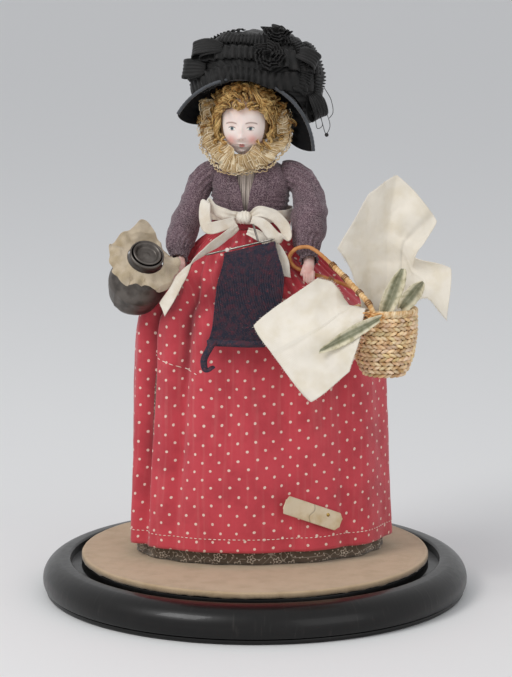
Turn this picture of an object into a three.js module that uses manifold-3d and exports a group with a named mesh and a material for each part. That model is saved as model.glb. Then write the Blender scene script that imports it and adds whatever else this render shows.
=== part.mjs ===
// A bisque shoulder-head doll in a market woman's dress, fixed on a round stand that once held a dome.
// Millimetres, +Z up, the stand's underside on z = 0, the doll facing -Y.
import * as THREE from "three";
import { mergeVertices } from "three/addons/utils/BufferGeometryUtils.js";
import Module from "manifold-3d";

const wasm = await Module();
wasm.setup();

// Clearances
const GAP = 0.4; // between pieces that rest on each other
const LAYER_GAP = 0.3; // between two layers of cloth
const SWING_GAP = 2.6; // under the boots, so that the legs can swing

// The stand
const STAND_RADIUS = 120;
const FOOT_RADIUS = 117;
const RIM_HEIGHT = 19.6;
const PLATFORM_RADIUS = 98;
const PLATFORM_HEIGHT = 19.4;
const DOME_GROOVE_WIDTH = 6.2;
const DOME_GROOVE_DEPTH = 5;
const BOARD_THICKNESS = 2.2;
const PAD_CLOTH = 0.8;
const PAD_CLOTH_EDGE = 1.3;
const POST_RADIUS = 3;
const POST_SOCKET_DEPTH = 11;
const POST_IN_BODY = 24;
const BOARD_UNDERSIDE = PLATFORM_HEIGHT + LAYER_GAP;
const PAD_TOP = BOARD_UNDERSIDE + BOARD_THICKNESS + LAYER_GAP + PAD_CLOTH;

// Heights on the doll, above the pad
const HEM_HEIGHT = 8;
const HIP_HEIGHT = 128;
const WAIST_HEIGHT = 187;
const BODICE_RISE = 26; // from the waist to the shoulder joints
const NECK_RISE = 30; // from the shoulder joints to the head's middle
const SHOULDER_HEIGHT = WAIST_HEIGHT + BODICE_RISE;
const HEAD_HEIGHT = SHOULDER_HEIGHT + NECK_RISE;

// The doll's body
const BODY_X = -2.5;
const BODY_Y = 2;
const ARM_PLANE = 23; // from the body's middle to the joint between bodice and sleeve
const WAIST_HALF_WIDTH = 19.5;
const WAIST_HALF_DEPTH = 14;
const CHEST_HALF_WIDTH = 22;
const CHEST_HALF_DEPTH = 15.5;
const NECK_RADIUS = 6.2;
const HIP_HALF_WIDTH = 20;
const BODICE_CLOTH = 1.2;
const CHEMISETTE_CLOTH = 0.8;
const BISQUE_WALL = 2;
const LEG_SPACING = 27;
const THIGH_RADIUS = 9;
const KNEE_HEIGHT = 70;
const CALF_RADIUS = 6;
const ANKLE_RADIUS = 3.8;
const BOOT_LENGTH = 25;

// The skirts
const SKIRT_HALF_WIDTH = 74.5;
const SKIRT_HALF_DEPTH = 47;
const SKIRT_TURN = THREE.MathUtils.degToRad(14);
const SKIRT_SHIFT_X = 5.1;
const SKIRT_SHIFT_Y = 1;
const SKIRT_CLOTH = 0.9;
const UNDERSKIRT_CLOTH = 0.9;
const PETTICOAT_CLOTH = 0.9;
const PETTICOAT_HEM_HEIGHT = 14;
const UNDERSKIRT_HEM_GAP = 0.5;
const BAND_HEIGHT = 6.4;
const BAND_CLOTH = 0.8;

// Head, wig and frill
const HEAD_X = -5;
const HEAD_Y = 1;
const HEAD_HALF_WIDTH = 14.5;
const HEAD_HALF_DEPTH = 16.5;
const HEAD_HALF_HEIGHT = 20;
const CROWN_CUT = 12.5; // height of the head's crown opening above its middle
const PATE_THICKNESS = 2;
const HAIR_DEPTH = 3;
const WIG_ROOM = 1.3; // between the head and the wig's cap
const FRILL_HALF_WIDTH = 24.2;
const FRILL_WIDTH = 6.2;
const FRILL_THICKNESS = 3;
const FRILL_DROP = 29.6; // from the head's middle to the frill's lowest edge

// Bonnet
const BRIM_RADIUS = 41;
const BRIM_BACK_RADIUS = 27.7;
const BRIM_DEPTH = 20;
const BRIM_THICKNESS = 1.4;
const BRIM_FROM = 2; // degrees round the face, from the doll's left side
const BRIM_TO = 149;
const CROWN_HALF_WIDTH = 36;
const CROWN_HALF_DEPTH = 27;
const CROWN_HALF_HEIGHT = 29;
const CROWN_SQUARENESS = 2.5; // 2 is an oval crown
const RIBBON_WIDTH = 11;
const RIBBON_THICKNESS = 0.9;
const ROSETTE_RADIUS = 8;

// Sleeves, arms and hands
const SLEEVE_CLOTH = 1;
const CUFF_LENGTH = 5;
const WRIST_RADIUS = 2.9;
const FINGER_RADIUS = 1.05;
const FINGER_LENGTH = 7;

// Apron tape
const TAPE_WIDTH = 6.4;
const TAPE_THICKNESS = 0.7;
const KNOT_RADIUS = 4;

// Knitting
const KNIT_THICKNESS = 2.2;
const KNIT_WIDTH = 28; // on the needle
const KNIT_FULL_WIDTH = 37;
const KNIT_LENGTH = 50;
const NEEDLE_RADIUS = 0.6;
const NEEDLE_SLOPE = 0.25;
const NEEDLE_LENGTH = 40;
const SHORT_NEEDLE_LENGTH = 17;

// Milk can
const CAN_BELLY_RADIUS = 15.8;
const CAN_LENGTH = 41;
const CAN_NECK_RADIUS = 8;
const CAN_MOUTH_RADIUS = 9.2;
const CAN_WALL = 0.9;

// Basket
const BASKET_RADIUS = 17;
const BASKET_FOOT_RADIUS = 9.6;
const BASKET_HEIGHT = 36;
const BASKET_WALL = 2;
const HANDLE_RADIUS = 1.5;
const NAPKIN_CLOTH = 0.8;
const LEAF_THICKNESS = 0.7;

// Label
const TAG_LENGTH = 37;
const TAG_WIDTH = 10.2;
const TAG_THICKNESS = 0.5;
const TAG_HEIGHT = 28;
const TAG_ANGLE = 296; // round the skirt, from the doll's left side
const TAG_STANDOFF = 1.6;
const PIN_RADIUS = 0.4;

const V = (x, y, z) => new THREE.Vector3(x, y, z);
const rad = THREE.MathUtils.degToRad;
const lerp = THREE.MathUtils.lerp;
const smooth = (x, low, high) => THREE.MathUtils.smoothstep(x, low, high);
const bump = (x, middle, width) => Math.exp(-(((x - middle) / width) ** 2));

// Finishes
const finish = (color, roughness, metalness = 0) => ({ color, roughness, metalness });
const EBONISED = finish(0x1a1817, 0.32);
const CARD = finish(0xdacbae, 0.85);
const PAD_LINEN = finish(0xc3a987, 0.95);
const BRASS = finish(0xb08d4c, 0.35, 1);
const BISQUE = finish(0xebd9da, 0.55);
const BOOT_GLAZE = finish(0x3a2a26, 0.25);
const CORK = finish(0xb08a5c, 0.9);
const MOHAIR = finish(0xb88a4a, 0.7);
const CALICO = finish(0xe9e0d2, 0.92);
const RED_COTTON = finish(0xc9454f, 0.85);
const BROWN_COTTON = finish(0x6b5d4e, 0.9);
const PURPLE_COTTON = finish(0x6a5560, 0.9);
const TAPE = finish(0xe9e0d2, 0.85);
const LACE = finish(0xd8bf95, 0.9);
const BLACK_SILK = finish(0x2f2c2a, 0.6);
const WOOL = finish(0x3b323c, 0.95);
const STEEL = finish(0xb5b5b2, 0.3, 1);
const TIN = finish(0x5c5654, 0.45, 0.8);
const STRAW = finish(0xe3c08e, 0.7);
const LEAF = finish(0x5e6650, 0.85);

// Solids by rings: every ring has the same number of points, in the same order
function volumeOf(points, faces) {
  const cross = V(0, 0, 0);
  return faces.reduce((sum, [a, b, c]) => {
    cross.crossVectors(points[b], points[c]);
    return sum + points[a].dot(cross) / 6;
  }, 0);
}

function closedGeometry(points, faces) {
  if (volumeOf(points, faces) < 0) {
    faces.forEach((face) => face.reverse());
  }
  const geometry = new THREE.BufferGeometry();
  geometry.setAttribute(
    "position",
    new THREE.Float32BufferAttribute(points.flatMap((p) => [p.x, p.y, p.z]), 3),
  );
  geometry.setIndex(faces.flat());
  return geometry;
}

function bandFaces(first, second, count) {
  const faces = [];
  for (let i = 0; i < count; i++) {
    const next = (i + 1) % count;
    faces.push([first + i, first + next, second + next], [first + i, second + next, second + i]);
  }
  return faces;
}

const middleOf = (ring) => ring.reduce((sum, p) => sum.add(p), V(0, 0, 0)).divideScalar(ring.length);

// A solid through a row of rings, with a flat fan at each end.
function ringSolid(rings) {
  const count = rings[0].length;
  const points = rings.flat();
  const faces = [];
  for (let r = 0; r + 1 < rings.length; r++) {
    faces.push(...bandFaces(r * count, (r + 1) * count, count));
  }
  const last = (rings.length - 1) * count;
  const start = points.push(middleOf(rings[0])) - 1;
  const end = points.push(middleOf(rings.at(-1))) - 1;
  for (let i = 0; i < count; i++) {
    const next = (i + 1) % count;
    faces.push([start, next, i], [end, last + i, last + next]);
  }
  return closedGeometry(points, faces);
}

// A pipe wall between outer and inner rings, open at both ends.
function ringShell(outer, inner) {
  const count = outer[0].length;
  const loop = [...outer, ...inner.toReversed()];
  const faces = [];
  loop.forEach((_, r) => {
    faces.push(...bandFaces(r * count, ((r + 1) % loop.length) * count, count));
  });
  return closedGeometry(loop.flat(), faces);
}

const evenly = (count) => Array.from({ length: count }, (_, i) => (2 * Math.PI * i) / count);

function oval(x, y, z, halfWidth, halfDepth, angles, turn = 0, wave = () => 0) {
  return angles.map((angle) => {
    const out = wave(angle);
    const p = V((halfWidth + out) * Math.cos(angle), (halfDepth + out) * Math.sin(angle), 0);
    p.applyAxisAngle(V(0, 0, 1), turn);
    return p.add(V(x, y, z));
  });
}

// Rows of {w, d, z} moved inwards, square to their own outline.
function insetRows(rows, inset) {
  return rows.map((row, i) => {
    const before = rows[Math.max(i - 1, 0)];
    const after = rows[Math.min(i + 1, rows.length - 1)];
    const along = new THREE.Vector2(after.w - before.w, after.z - before.z).normalize();
    const side = Math.abs(along.y);
    const up = along.x * Math.sign(along.y || 1);
    return { ...row, w: row.w - inset * side, d: row.d - inset * side, z: row.z + inset * up };
  });
}

// A round limb along a curve, with a radius at each of its points; flat is thickness as a share of width.
function limb(points, radii, sides, steps, flat = 1, across = V(1, 0, 0)) {
  const curve = new THREE.CatmullRomCurve3(points, false, "centripetal");
  const radius = new THREE.SplineCurve(radii.map((r, i) => new THREE.Vector2(i, r)));
  return ringSolid(limbRings(curve, radius, sides, steps, flat, across));
}

function limbRings(curve, radius, sides, steps, flat, across) {
  return Array.from({ length: steps + 1 }, (_, i) => {
    const t = i / steps;
    const middle = curve.getPoint(t);
    const along = curve.getTangent(t);
    const wide = across.clone().addScaledVector(along, -across.dot(along)).normalize();
    const deep = V(0, 0, 0).crossVectors(along, wide);
    const r = radius.getPoint(t).y;
    return Array.from({ length: sides }, (_, k) => {
      const angle = (2 * Math.PI * k) / sides;
      return middle
        .clone()
        .addScaledVector(wide, r * Math.cos(angle))
        .addScaledVector(deep, r * flat * Math.sin(angle));
    });
  });
}

// A flat strap through points, its width along the direction given for each point.
function strap(points, widths, width, thickness, steps) {
  const curve = new THREE.CatmullRomCurve3(points, false, "centripetal");
  const across = new THREE.CatmullRomCurve3(widths, false, "centripetal");
  const rings = [];
  for (let i = 0; i <= steps; i++) {
    const t = i / steps;
    const along = curve.getTangent(t);
    const wide = across.getPoint(t);
    wide.addScaledVector(along, -wide.dot(along)).normalize();
    const deep = V(0, 0, 0).crossVectors(along, wide);
    const corner = (a, b) =>
      curve
        .getPoint(t)
        .addScaledVector(wide, (a * width) / 2)
        .addScaledVector(deep, (b * thickness) / 2);
    rings.push([corner(-1, -1), corner(1, -1), corner(1, 1), corner(-1, 1)]);
  }
  return ringSolid(rings);
}

// A sheet of cloth with a thickness: place(u, v) gives its middle surface.
function sheet(place, across, along, thickness) {
  const small = 1e-3;
  const points = [];
  const half = thickness / 2;
  for (const side of [half, -half]) {
    for (let j = 0; j <= along; j++) {
      for (let i = 0; i <= across; i++) {
        const u = i / across;
        const v = j / along;
        const right = place(Math.min(u + small, 1), v).sub(place(Math.max(u - small, 0), v));
        const on = place(u, Math.min(v + small, 1)).sub(place(u, Math.max(v - small, 0)));
        const out = right.cross(on).normalize();
        points.push(place(u, v).addScaledVector(out, side));
      }
    }
  }
  const row = across + 1;
  const layer = row * (along + 1);
  const faces = [];
  const quad = (a, b, c, d) => faces.push([a, b, c], [a, c, d]);
  for (let j = 0; j < along; j++) {
    for (let i = 0; i < across; i++) {
      const a = j * row + i;
      quad(a, a + 1, a + row + 1, a + row);
      quad(layer + a, layer + a + row, layer + a + row + 1, layer + a + 1);
    }
  }
  for (let i = 0; i < across; i++) {
    const top = along * row + i;
    quad(i, layer + i, layer + i + 1, i + 1);
    quad(top, top + 1, layer + top + 1, layer + top);
  }
  for (let j = 0; j < along; j++) {
    const left = j * row;
    const right = left + across;
    quad(left, left + row, layer + left + row, layer + left);
    quad(right, layer + right, layer + right + row, right + row);
  }
  return closedGeometry(points, faces);
}

// A smooth surface through rows of points, each row running from u = 0 to u = 1.
function throughRows(rows) {
  const curves = rows.map((row) => new THREE.CatmullRomCurve3(row, false, "centripetal"));
  return (u, v) => {
    const column = curves.map((curve) => curve.getPoint(u));
    return new THREE.CatmullRomCurve3(column, false, "centripetal").getPoint(v);
  };
}

// Turned and round pieces
function turned(profile, segments) {
  const geometry = new THREE.LatheGeometry(
    profile.map(([r, z]) => new THREE.Vector2(r, z)),
    segments,
  );
  return geometry.rotateX(Math.PI / 2);
}

function ball(x, y, z, halfWidth, halfDepth, halfHeight, around = 16, rows = 12) {
  const geometry = new THREE.SphereGeometry(1, around, rows).rotateX(Math.PI / 2);
  return geometry.scale(halfWidth, halfDepth, halfHeight).translate(x, y, z);
}

function rod(radius, from, to, sides = 10) {
  const length = to.distanceTo(from);
  const turn = new THREE.Quaternion().setFromUnitVectors(V(0, 1, 0), to.clone().sub(from).normalize());
  const geometry = new THREE.CylinderGeometry(radius, radius, length, sides);
  geometry.applyQuaternion(turn);
  return geometry.translate(...from.clone().add(to).divideScalar(2).toArray());
}

function tube(points, radius, sides, steps) {
  const section = new THREE.Shape();
  section.absarc(0, 0, radius, 0, 2 * Math.PI);
  return new THREE.ExtrudeGeometry(section, {
    curveSegments: sides / 2,
    steps,
    extrudePath: new THREE.CatmullRomCurve3(points, false, "centripetal"),
  });
}

function block(x0, x1, y0, y1, z0, z1) {
  const geometry = new THREE.BoxGeometry(x1 - x0, y1 - y0, z1 - z0);
  return geometry.translate((x0 + x1) / 2, (y0 + y1) / 2, (z0 + z1) / 2);
}

// Cutting and joining
function toSolid(geometry) {
  const bare = geometry.clone();
  bare.deleteAttribute("normal");
  bare.deleteAttribute("uv");
  const merged = mergeVertices(bare, 1e-4);
  return new wasm.Manifold(
    new wasm.Mesh({
      numProp: 3,
      vertProperties: merged.attributes.position.array,
      triVerts: new Uint32Array(merged.index.array),
    }),
  );
}

function fromSolid(solid) {
  const mesh = solid.getMesh();
  const geometry = new THREE.BufferGeometry();
  geometry.setAttribute("position", new THREE.Float32BufferAttribute(mesh.vertProperties, 3));
  geometry.setIndex([...mesh.triVerts]);
  return geometry;
}

const joined = (...parts) => fromSolid(parts.map(toSolid).reduce((a, b) => a.add(b)));
const cut = (body, ...tools) => fromSolid(tools.map(toSolid).reduce((a, b) => a.subtract(b), toSolid(body)));
const kept = (body, space) => fromSolid(toSolid(body).intersect(toSolid(space)));

function piece(group, name, geometry, look) {
  geometry.deleteAttribute("uv");
  geometry.computeVertexNormals();
  const mesh = new THREE.Mesh(geometry, new THREE.MeshStandardMaterial(look));
  mesh.name = name;
  group.add(mesh);
  return mesh;
}

// Turns a group so that its +Z runs along a direction, with its +X as level as it can be.
function aim(group, direction) {
  const up = direction.clone().normalize();
  const right = V(0, 0, 1).cross(up);
  right.lengthSq() > 1e-9 ? right.normalize() : right.set(1, 0, 0);
  const back = up.clone().cross(right);
  group.quaternion.setFromRotationMatrix(new THREE.Matrix4().makeBasis(right, back, up));
  return group;
}

// The stand: a turned base with a groove for a dome, a cloth-covered pad and the post that holds the doll
function buildStand() {
  const stand = new THREE.Group();
  const grooveOut = PLATFORM_RADIUS + DOME_GROOVE_WIDTH;
  const grooveFloor = RIM_HEIGHT - DOME_GROOVE_DEPTH;
  const belly = RIM_HEIGHT * 0.41;
  const lip = RIM_HEIGHT * 0.16;
  const socket = POST_RADIUS + GAP;
  const ovolo = Array.from({ length: 6 }, (_, i) => {
    const angle = rad(-30 + i * 21);
    const width = STAND_RADIUS - grooveOut - 3;
    const rise = RIM_HEIGHT - belly;
    return [STAND_RADIUS - width + width * Math.cos(angle), belly + rise * Math.sin(angle)];
  });
  const profile = [
    [0, 0],
    [FOOT_RADIUS, 0],
    [FOOT_RADIUS + 1.2, 1],
    [FOOT_RADIUS + 1.2, lip - 0.4],
    [FOOT_RADIUS - 0.4, lip],
    ...ovolo.filter(([, z]) => z > lip + 0.3),
    [grooveOut + 1.2, RIM_HEIGHT],
    [grooveOut, RIM_HEIGHT - 0.8],
    [grooveOut, grooveFloor],
    [PLATFORM_RADIUS, grooveFloor],
    [PLATFORM_RADIUS, PLATFORM_HEIGHT],
    [0, PLATFORM_HEIGHT],
  ];
  const socketFloor = PLATFORM_HEIGHT - POST_SOCKET_DEPTH;
  const hole = (low, high) => rod(socket, V(BODY_X, BODY_Y, low), V(BODY_X, BODY_Y, high), 12);
  piece(stand, "stand_base", cut(turned(profile, 32), hole(socketFloor, RIM_HEIGHT + 1)), EBONISED);

  const boardRadius = PLATFORM_RADIUS - PAD_CLOTH_EDGE - LAYER_GAP;
  const boardTop = BOARD_UNDERSIDE + BOARD_THICKNESS;
  const boardOutline = [
    [0, BOARD_UNDERSIDE],
    [boardRadius, BOARD_UNDERSIDE],
    [boardRadius, boardTop],
    [0, boardTop],
  ];
  const board = turned(boardOutline, 32);
  piece(stand, "pad_board", cut(board, hole(0, PAD_TOP + 1)), CARD);
  const inside = boardRadius + LAYER_GAP;
  const cover = turned(
    [
      [0, boardTop + LAYER_GAP],
      [inside, boardTop + LAYER_GAP],
      [inside, BOARD_UNDERSIDE],
      [PLATFORM_RADIUS, BOARD_UNDERSIDE],
      [PLATFORM_RADIUS, PAD_TOP - 0.9],
      [PLATFORM_RADIUS - 0.9, PAD_TOP],
      [0, PAD_TOP],
    ],
    32,
  );
  piece(stand, "pad_cover", cut(cover, hole(0, PAD_TOP + 1)), PAD_LINEN);

  const foot = socketFloor + GAP;
  const top = PAD_TOP + HIP_HEIGHT + POST_IN_BODY;
  const post = turned(
    [
      [0, foot],
      [POST_RADIUS, foot],
      [POST_RADIUS, top - 2],
      [POST_RADIUS - 1.2, top],
      [0, top],
    ],
    12,
  );
  piece(stand, "support_post", post.translate(BODY_X, BODY_Y, 0), BRASS);
  return stand;
}

// The outline of the dressed body from the waist up, as half width and half depth at each height
const BODY_ROWS = [
  { w: WAIST_HALF_WIDTH, d: WAIST_HALF_DEPTH, z: WAIST_HEIGHT - 4 },
  { w: WAIST_HALF_WIDTH, d: WAIST_HALF_DEPTH, z: WAIST_HEIGHT + 2 },
  {
    w: lerp(WAIST_HALF_WIDTH, CHEST_HALF_WIDTH, 0.6),
    d: lerp(WAIST_HALF_DEPTH, CHEST_HALF_DEPTH, 0.6),
    z: lerp(WAIST_HEIGHT, SHOULDER_HEIGHT, 0.35),
  },
  { w: CHEST_HALF_WIDTH, d: CHEST_HALF_DEPTH, z: lerp(WAIST_HEIGHT, SHOULDER_HEIGHT, 0.62) },
  { w: CHEST_HALF_WIDTH + 0.8, d: CHEST_HALF_DEPTH - 1, z: SHOULDER_HEIGHT - 3 },
  { w: CHEST_HALF_WIDTH - 0.8, d: CHEST_HALF_DEPTH - 3, z: SHOULDER_HEIGHT + 2 },
  { w: CHEST_HALF_WIDTH - 5.5, d: CHEST_HALF_DEPTH - 4.6, z: SHOULDER_HEIGHT + 5 },
  { w: NECK_RADIUS + 6.4, d: NECK_RADIUS + 3.8, z: SHOULDER_HEIGHT + 7.5 },
  { w: NECK_RADIUS + 4.2, d: NECK_RADIUS + 3.4, z: SHOULDER_HEIGHT + 9.5 },
];
const bodyRings = (rows, inset, count = 16) =>
  insetRows(rows, inset).map(({ w, d, z }) => oval(BODY_X, BODY_Y, z, w, d, evenly(count)));
const CHEMISETTE_INSET = BODICE_CLOTH + LAYER_GAP;
const PLATE_INSET = CHEMISETTE_INSET + CHEMISETTE_CLOTH + LAYER_GAP;
const TORSO_INSET = PLATE_INSET + BISQUE_WALL + GAP;
const PLATE_ROWS = BODY_ROWS.slice(4);
const PLATE_FOOT = { ...BODY_ROWS[4], z: SHOULDER_HEIGHT - 10 };

// The hollow bisque head, neck and shoulder plate, cast in one
function faceShape(direction) {
  const { x, y, z } = direction;
  const front = smooth(-y, 0.1, 0.75);
  const nose = 2.6 * bump(x, 0, 0.13) * bump(z, -0.26, 0.15);
  const bridge = 0.7 * bump(x, 0, 0.12) * bump(z, 0.0, 0.2);
  const sockets = -1.1 * (bump(x, 0.36, 0.17) + bump(x, -0.36, 0.17)) * bump(z, 0.02, 0.12);
  const brows = 0.5 * bump(Math.abs(x), 0.34, 0.2) * bump(z, 0.22, 0.1);
  const cheeks = 0.9 * bump(Math.abs(x), 0.5, 0.22) * bump(z, -0.32, 0.24);
  const lips = 0.8 * bump(x, 0, 0.17) * bump(z, -0.55, 0.1);
  const chin = 1.5 * bump(x, 0, 0.22) * bump(z, -0.85, 0.16);
  return front * (nose + bridge + sockets + brows + cheeks + lips + chin);
}

function headGeometry(inset, around = 12, rows = 8) {
  const geometry = new THREE.SphereGeometry(1, around, rows).rotateX(Math.PI / 2);
  const place = geometry.attributes.position;
  for (let i = 0; i < place.count; i++) {
    const n = V(0, 0, 0).fromBufferAttribute(place, i).normalize();
    const jaw = 1 - 0.2 * smooth(-n.z, 0.1, 1);
    const out = inset ? 0 : faceShape(n);
    place.setXYZ(
      i,
      n.x * (HEAD_HALF_WIDTH - inset) * jaw,
      n.y * (HEAD_HALF_DEPTH - inset) * jaw - Math.max(out, 0) + Math.min(out, 0) * n.y,
      n.z * (HEAD_HALF_HEIGHT - inset),
    );
  }
  return geometry.translate(HEAD_X, HEAD_Y, HEAD_HEIGHT);
}

function buildShoulderHead(doll) {
  const neckBottom = SHOULDER_HEIGHT + 6;
  const neckTop = HEAD_HEIGHT - HEAD_HALF_HEIGHT * 0.55;
  const neckLine = [V(BODY_X, BODY_Y, neckBottom), V(HEAD_X, HEAD_Y + 2, neckTop)];
  const plate = ringSolid(bodyRings([PLATE_FOOT, ...PLATE_ROWS], PLATE_INSET));
  const outside = joined(headGeometry(0, 20, 15), rod(NECK_RADIUS, ...neckLine, 10), plate);
  const cavityRows = [{ ...PLATE_FOOT, z: PLATE_FOOT.z - 2 }, ...PLATE_ROWS.slice(0, -1)];
  const plateCavity = ringSolid(bodyRings(cavityRows, PLATE_INSET + BISQUE_WALL));
  const bore = rod(NECK_RADIUS - BISQUE_WALL, ...neckLine, 10);
  const crown = HEAD_HEIGHT + CROWN_CUT;
  const crownCut = block(HEAD_X - 40, HEAD_X + 40, HEAD_Y - 40, HEAD_Y + 40, crown, crown + 40);
  const head = cut(outside, headGeometry(BISQUE_WALL), plateCavity, bore, crownCut);
  piece(doll, "shoulder_head", head, BISQUE);

  const pateSpace = block(HEAD_X - 40, HEAD_X + 40, HEAD_Y - 40, HEAD_Y + 40, crown + GAP, crown + 40);
  const pate = cut(kept(headGeometry(0, 16, 12), pateSpace), headGeometry(PATE_THICKNESS, 16, 12));
  piece(doll, "crown_pate", pate, CORK);
}

// A mohair wig: a cap with waved sides and a curled fringe
function buildWig(doll) {
  const lock = (depth, waviness, around, rows) => {
    const geometry = new THREE.SphereGeometry(1, around, rows).rotateX(Math.PI / 2);
    const place = geometry.attributes.position;
    for (let i = 0; i < place.count; i++) {
      const n = V(0, 0, 0).fromBufferAttribute(place, i).normalize();
      const wave = waviness * Math.sin(11 * Math.atan2(n.x, n.y)) * (1 - n.z * n.z);
      place.setXYZ(
        i,
        n.x * (HEAD_HALF_WIDTH + depth + wave),
        n.y * (HEAD_HALF_DEPTH + depth + wave),
        n.z * (HEAD_HALF_HEIGHT + depth),
      );
    }
    return geometry.translate(HEAD_X, HEAD_Y, HEAD_HEIGHT);
  };
  const face = ball(HEAD_X, HEAD_Y - HEAD_HALF_DEPTH - HAIR_DEPTH, HEAD_HEIGHT - 9, 15.5, 17, 16, 18, 10);
  const nape = HEAD_HEIGHT - HEAD_HALF_HEIGHT * 0.62;
  const below = block(-60, 60, -60, 60, nape - 40, nape);
  piece(doll, "wig", cut(lock(HAIR_DEPTH, 0.3, 18, 10), lock(WIG_ROOM, 0, 14, 8), face, below), MOHAIR);
}

// The stuffed body with its upper arms and thighs, and the bisque lower legs with moulded boots
const TORSO_TOP = SHOULDER_HEIGHT + 4;
function buildTorso(doll) {
  const hips = [
    { w: HIP_HALF_WIDTH * 0.8, d: 10, z: HIP_HEIGHT + GAP },
    { w: HIP_HALF_WIDTH, d: 13.5, z: HIP_HEIGHT + 6 },
    { w: HIP_HALF_WIDTH, d: 14, z: HIP_HEIGHT + 20 },
    { w: HIP_HALF_WIDTH - 3.2, d: 12, z: lerp(HIP_HEIGHT, WAIST_HEIGHT, 0.75) },
  ].map(({ w, d, z }) => oval(BODY_X, BODY_Y, z, w, d, evenly(16)));
  const upper = insetRows(BODY_ROWS, PLATE_INSET).slice(0, 3);
  const under = insetRows(BODY_ROWS, TORSO_INSET);
  const neck = [
    { ...under[4], z: PLATE_FOOT.z - 1 },
    { ...under[4], z: SHOULDER_HEIGHT - 4 },
    { ...under[5], w: under[5].w - 1.5, d: under[5].d - 1, z: SHOULDER_HEIGHT },
  ];
  const rings = [...upper, ...neck].map(({ w, d, z }) => oval(BODY_X, BODY_Y, z, w, d, evenly(16)));
  const bore = rod(
    POST_RADIUS + GAP,
    V(BODY_X, BODY_Y, HIP_HEIGHT - 2),
    V(BODY_X, BODY_Y, HIP_HEIGHT + POST_IN_BODY + GAP),
    12,
  );
  piece(doll, "torso", cut(ringSolid([...hips, ...rings]), bore), CALICO);
}

function buildLeg(doll, side, name) {
  const leg = new THREE.Group();
  leg.position.set(BODY_X + (side * LEG_SPACING) / 2, BODY_Y, 0);
  const top = HIP_HEIGHT;
  const thigh = [
    [0.2, top],
    [0.6, top - 1.6],
    [0.95, top - 5],
    [1, top - 18],
    [0.86, lerp(KNEE_HEIGHT, top, 0.3)],
    [0.72, KNEE_HEIGHT + GAP],
  ];
  const thighRings = thigh.map(([share, z]) => {
    const r = THIGH_RADIUS * share;
    return oval(0, 0, z, r, r, evenly(12));
  });
  piece(leg, "thigh_" + name, ringSolid(thighRings), CALICO);

  const sole = SWING_GAP;
  const shin = [
    [CALF_RADIUS * 0.95, KNEE_HEIGHT],
    [CALF_RADIUS * 0.9, KNEE_HEIGHT - 8],
    [CALF_RADIUS, KNEE_HEIGHT - 20],
    [ANKLE_RADIUS * 1.15, lerp(sole, KNEE_HEIGHT, 0.32)],
    [ANKLE_RADIUS, lerp(sole, KNEE_HEIGHT, 0.2)],
    [ANKLE_RADIUS * 1.1, sole + 4],
  ];
  const shank = ringSolid(shin.map(([r, z]) => oval(0, 0, z, r, r, evenly(10))));
  const heel = rod(ANKLE_RADIUS * 0.95, V(0, 1.5, sole), V(0, 1.5, sole + 7), 10);
  const toe = limb(
    [V(0, 2, sole + 5.5), V(0, -BOOT_LENGTH * 0.3, sole + 4.6), V(0, -BOOT_LENGTH * 0.75, sole + 3)],
    [4.2, 4.4, 2.6],
    10,
    4,
    0.85,
  );
  const below = block(-20, 20, -40, 40, sole - 20, sole);
  piece(leg, "lower_leg_" + name, cut(joined(shank, heel, toe), below), BOOT_GLAZE);
  doll.add(leg);
}

// Skirts: one outline, worn in three layers
const SKIRT_TOP = WAIST_HEIGHT - 1;
const SKIRT_ROWS = [
  [0, WAIST_HALF_WIDTH + 1.6, WAIST_HALF_DEPTH + 1.6],
  [4, WAIST_HALF_WIDTH + 1.8, WAIST_HALF_DEPTH + 1.8],
  [10, WAIST_HALF_WIDTH + 8.5, WAIST_HALF_DEPTH + 7],
  [18, WAIST_HALF_WIDTH + 17, WAIST_HALF_DEPTH + 12.5],
  [29, WAIST_HALF_WIDTH + 27.5, WAIST_HALF_DEPTH + 18],
  [41, SKIRT_HALF_WIDTH * 0.775, SKIRT_HALF_DEPTH * 0.79],
  [49, SKIRT_HALF_WIDTH * 0.9, SKIRT_HALF_DEPTH * 0.88],
  [57, SKIRT_HALF_WIDTH * 0.93, SKIRT_HALF_DEPTH * 0.91],
].map(([drop, w, d]) => ({ w, d, z: SKIRT_TOP - drop }));
const SKIRT_FALL = SKIRT_TOP - 57;
function skirtRow(z) {
  const share = (z - HEM_HEIGHT) / (SKIRT_FALL - HEM_HEIGHT);
  return { w: SKIRT_HALF_WIDTH * (1 - 0.07 * share), d: SKIRT_HALF_DEPTH * (1 - 0.09 * share), z };
}
const SKIRT_FOOT_ROWS = [0.82, 0.55, 0.28, 0].map((share) => skirtRow(lerp(HEM_HEIGHT, SKIRT_FALL, share)));

// Folds of the skirt, each at an angle from the doll's left side, as mm inwards (or outwards, below zero)
const FOLDS = [
  { at: 208, wide: 6, deep: 3.3, lean: -3 },
  { at: 199, wide: 6, deep: -2.2, lean: -2 },
  { at: 231, wide: 6, deep: 2.4, lean: -5 },
  { at: 222, wide: 5, deep: -1.8, lean: -4 },
  { at: 277, wide: 6, deep: 1.2, lean: 2 },
  { at: 306, wide: 7, deep: 1.1, lean: 0 },
  { at: 335, wide: 9, deep: 1.8, lean: 2 },
  { at: 15, wide: 10, deep: 2.2, lean: 0 },
  { at: 48, wide: 9, deep: 2.6, lean: 2 },
  { at: 82, wide: 9, deep: 2.4, lean: 0 },
  { at: 112, wide: 9, deep: 2.8, lean: -2 },
  { at: 146, wide: 9, deep: 2.4, lean: 0 },
  { at: 172, wide: 8, deep: 2, lean: 2 },
];
const PLEATS = 11;
const PLAIN_STEPS = [32, 65, 97, 129, 187, 245, 258, 290, 352];
const SKIRT_ANGLES = FOLDS.flatMap(({ at, wide }) => [at - wide, at, at + wide])
  .concat(PLAIN_STEPS)
  .sort((a, b) => a - b)
  .map((angle) => rad(angle));

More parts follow.
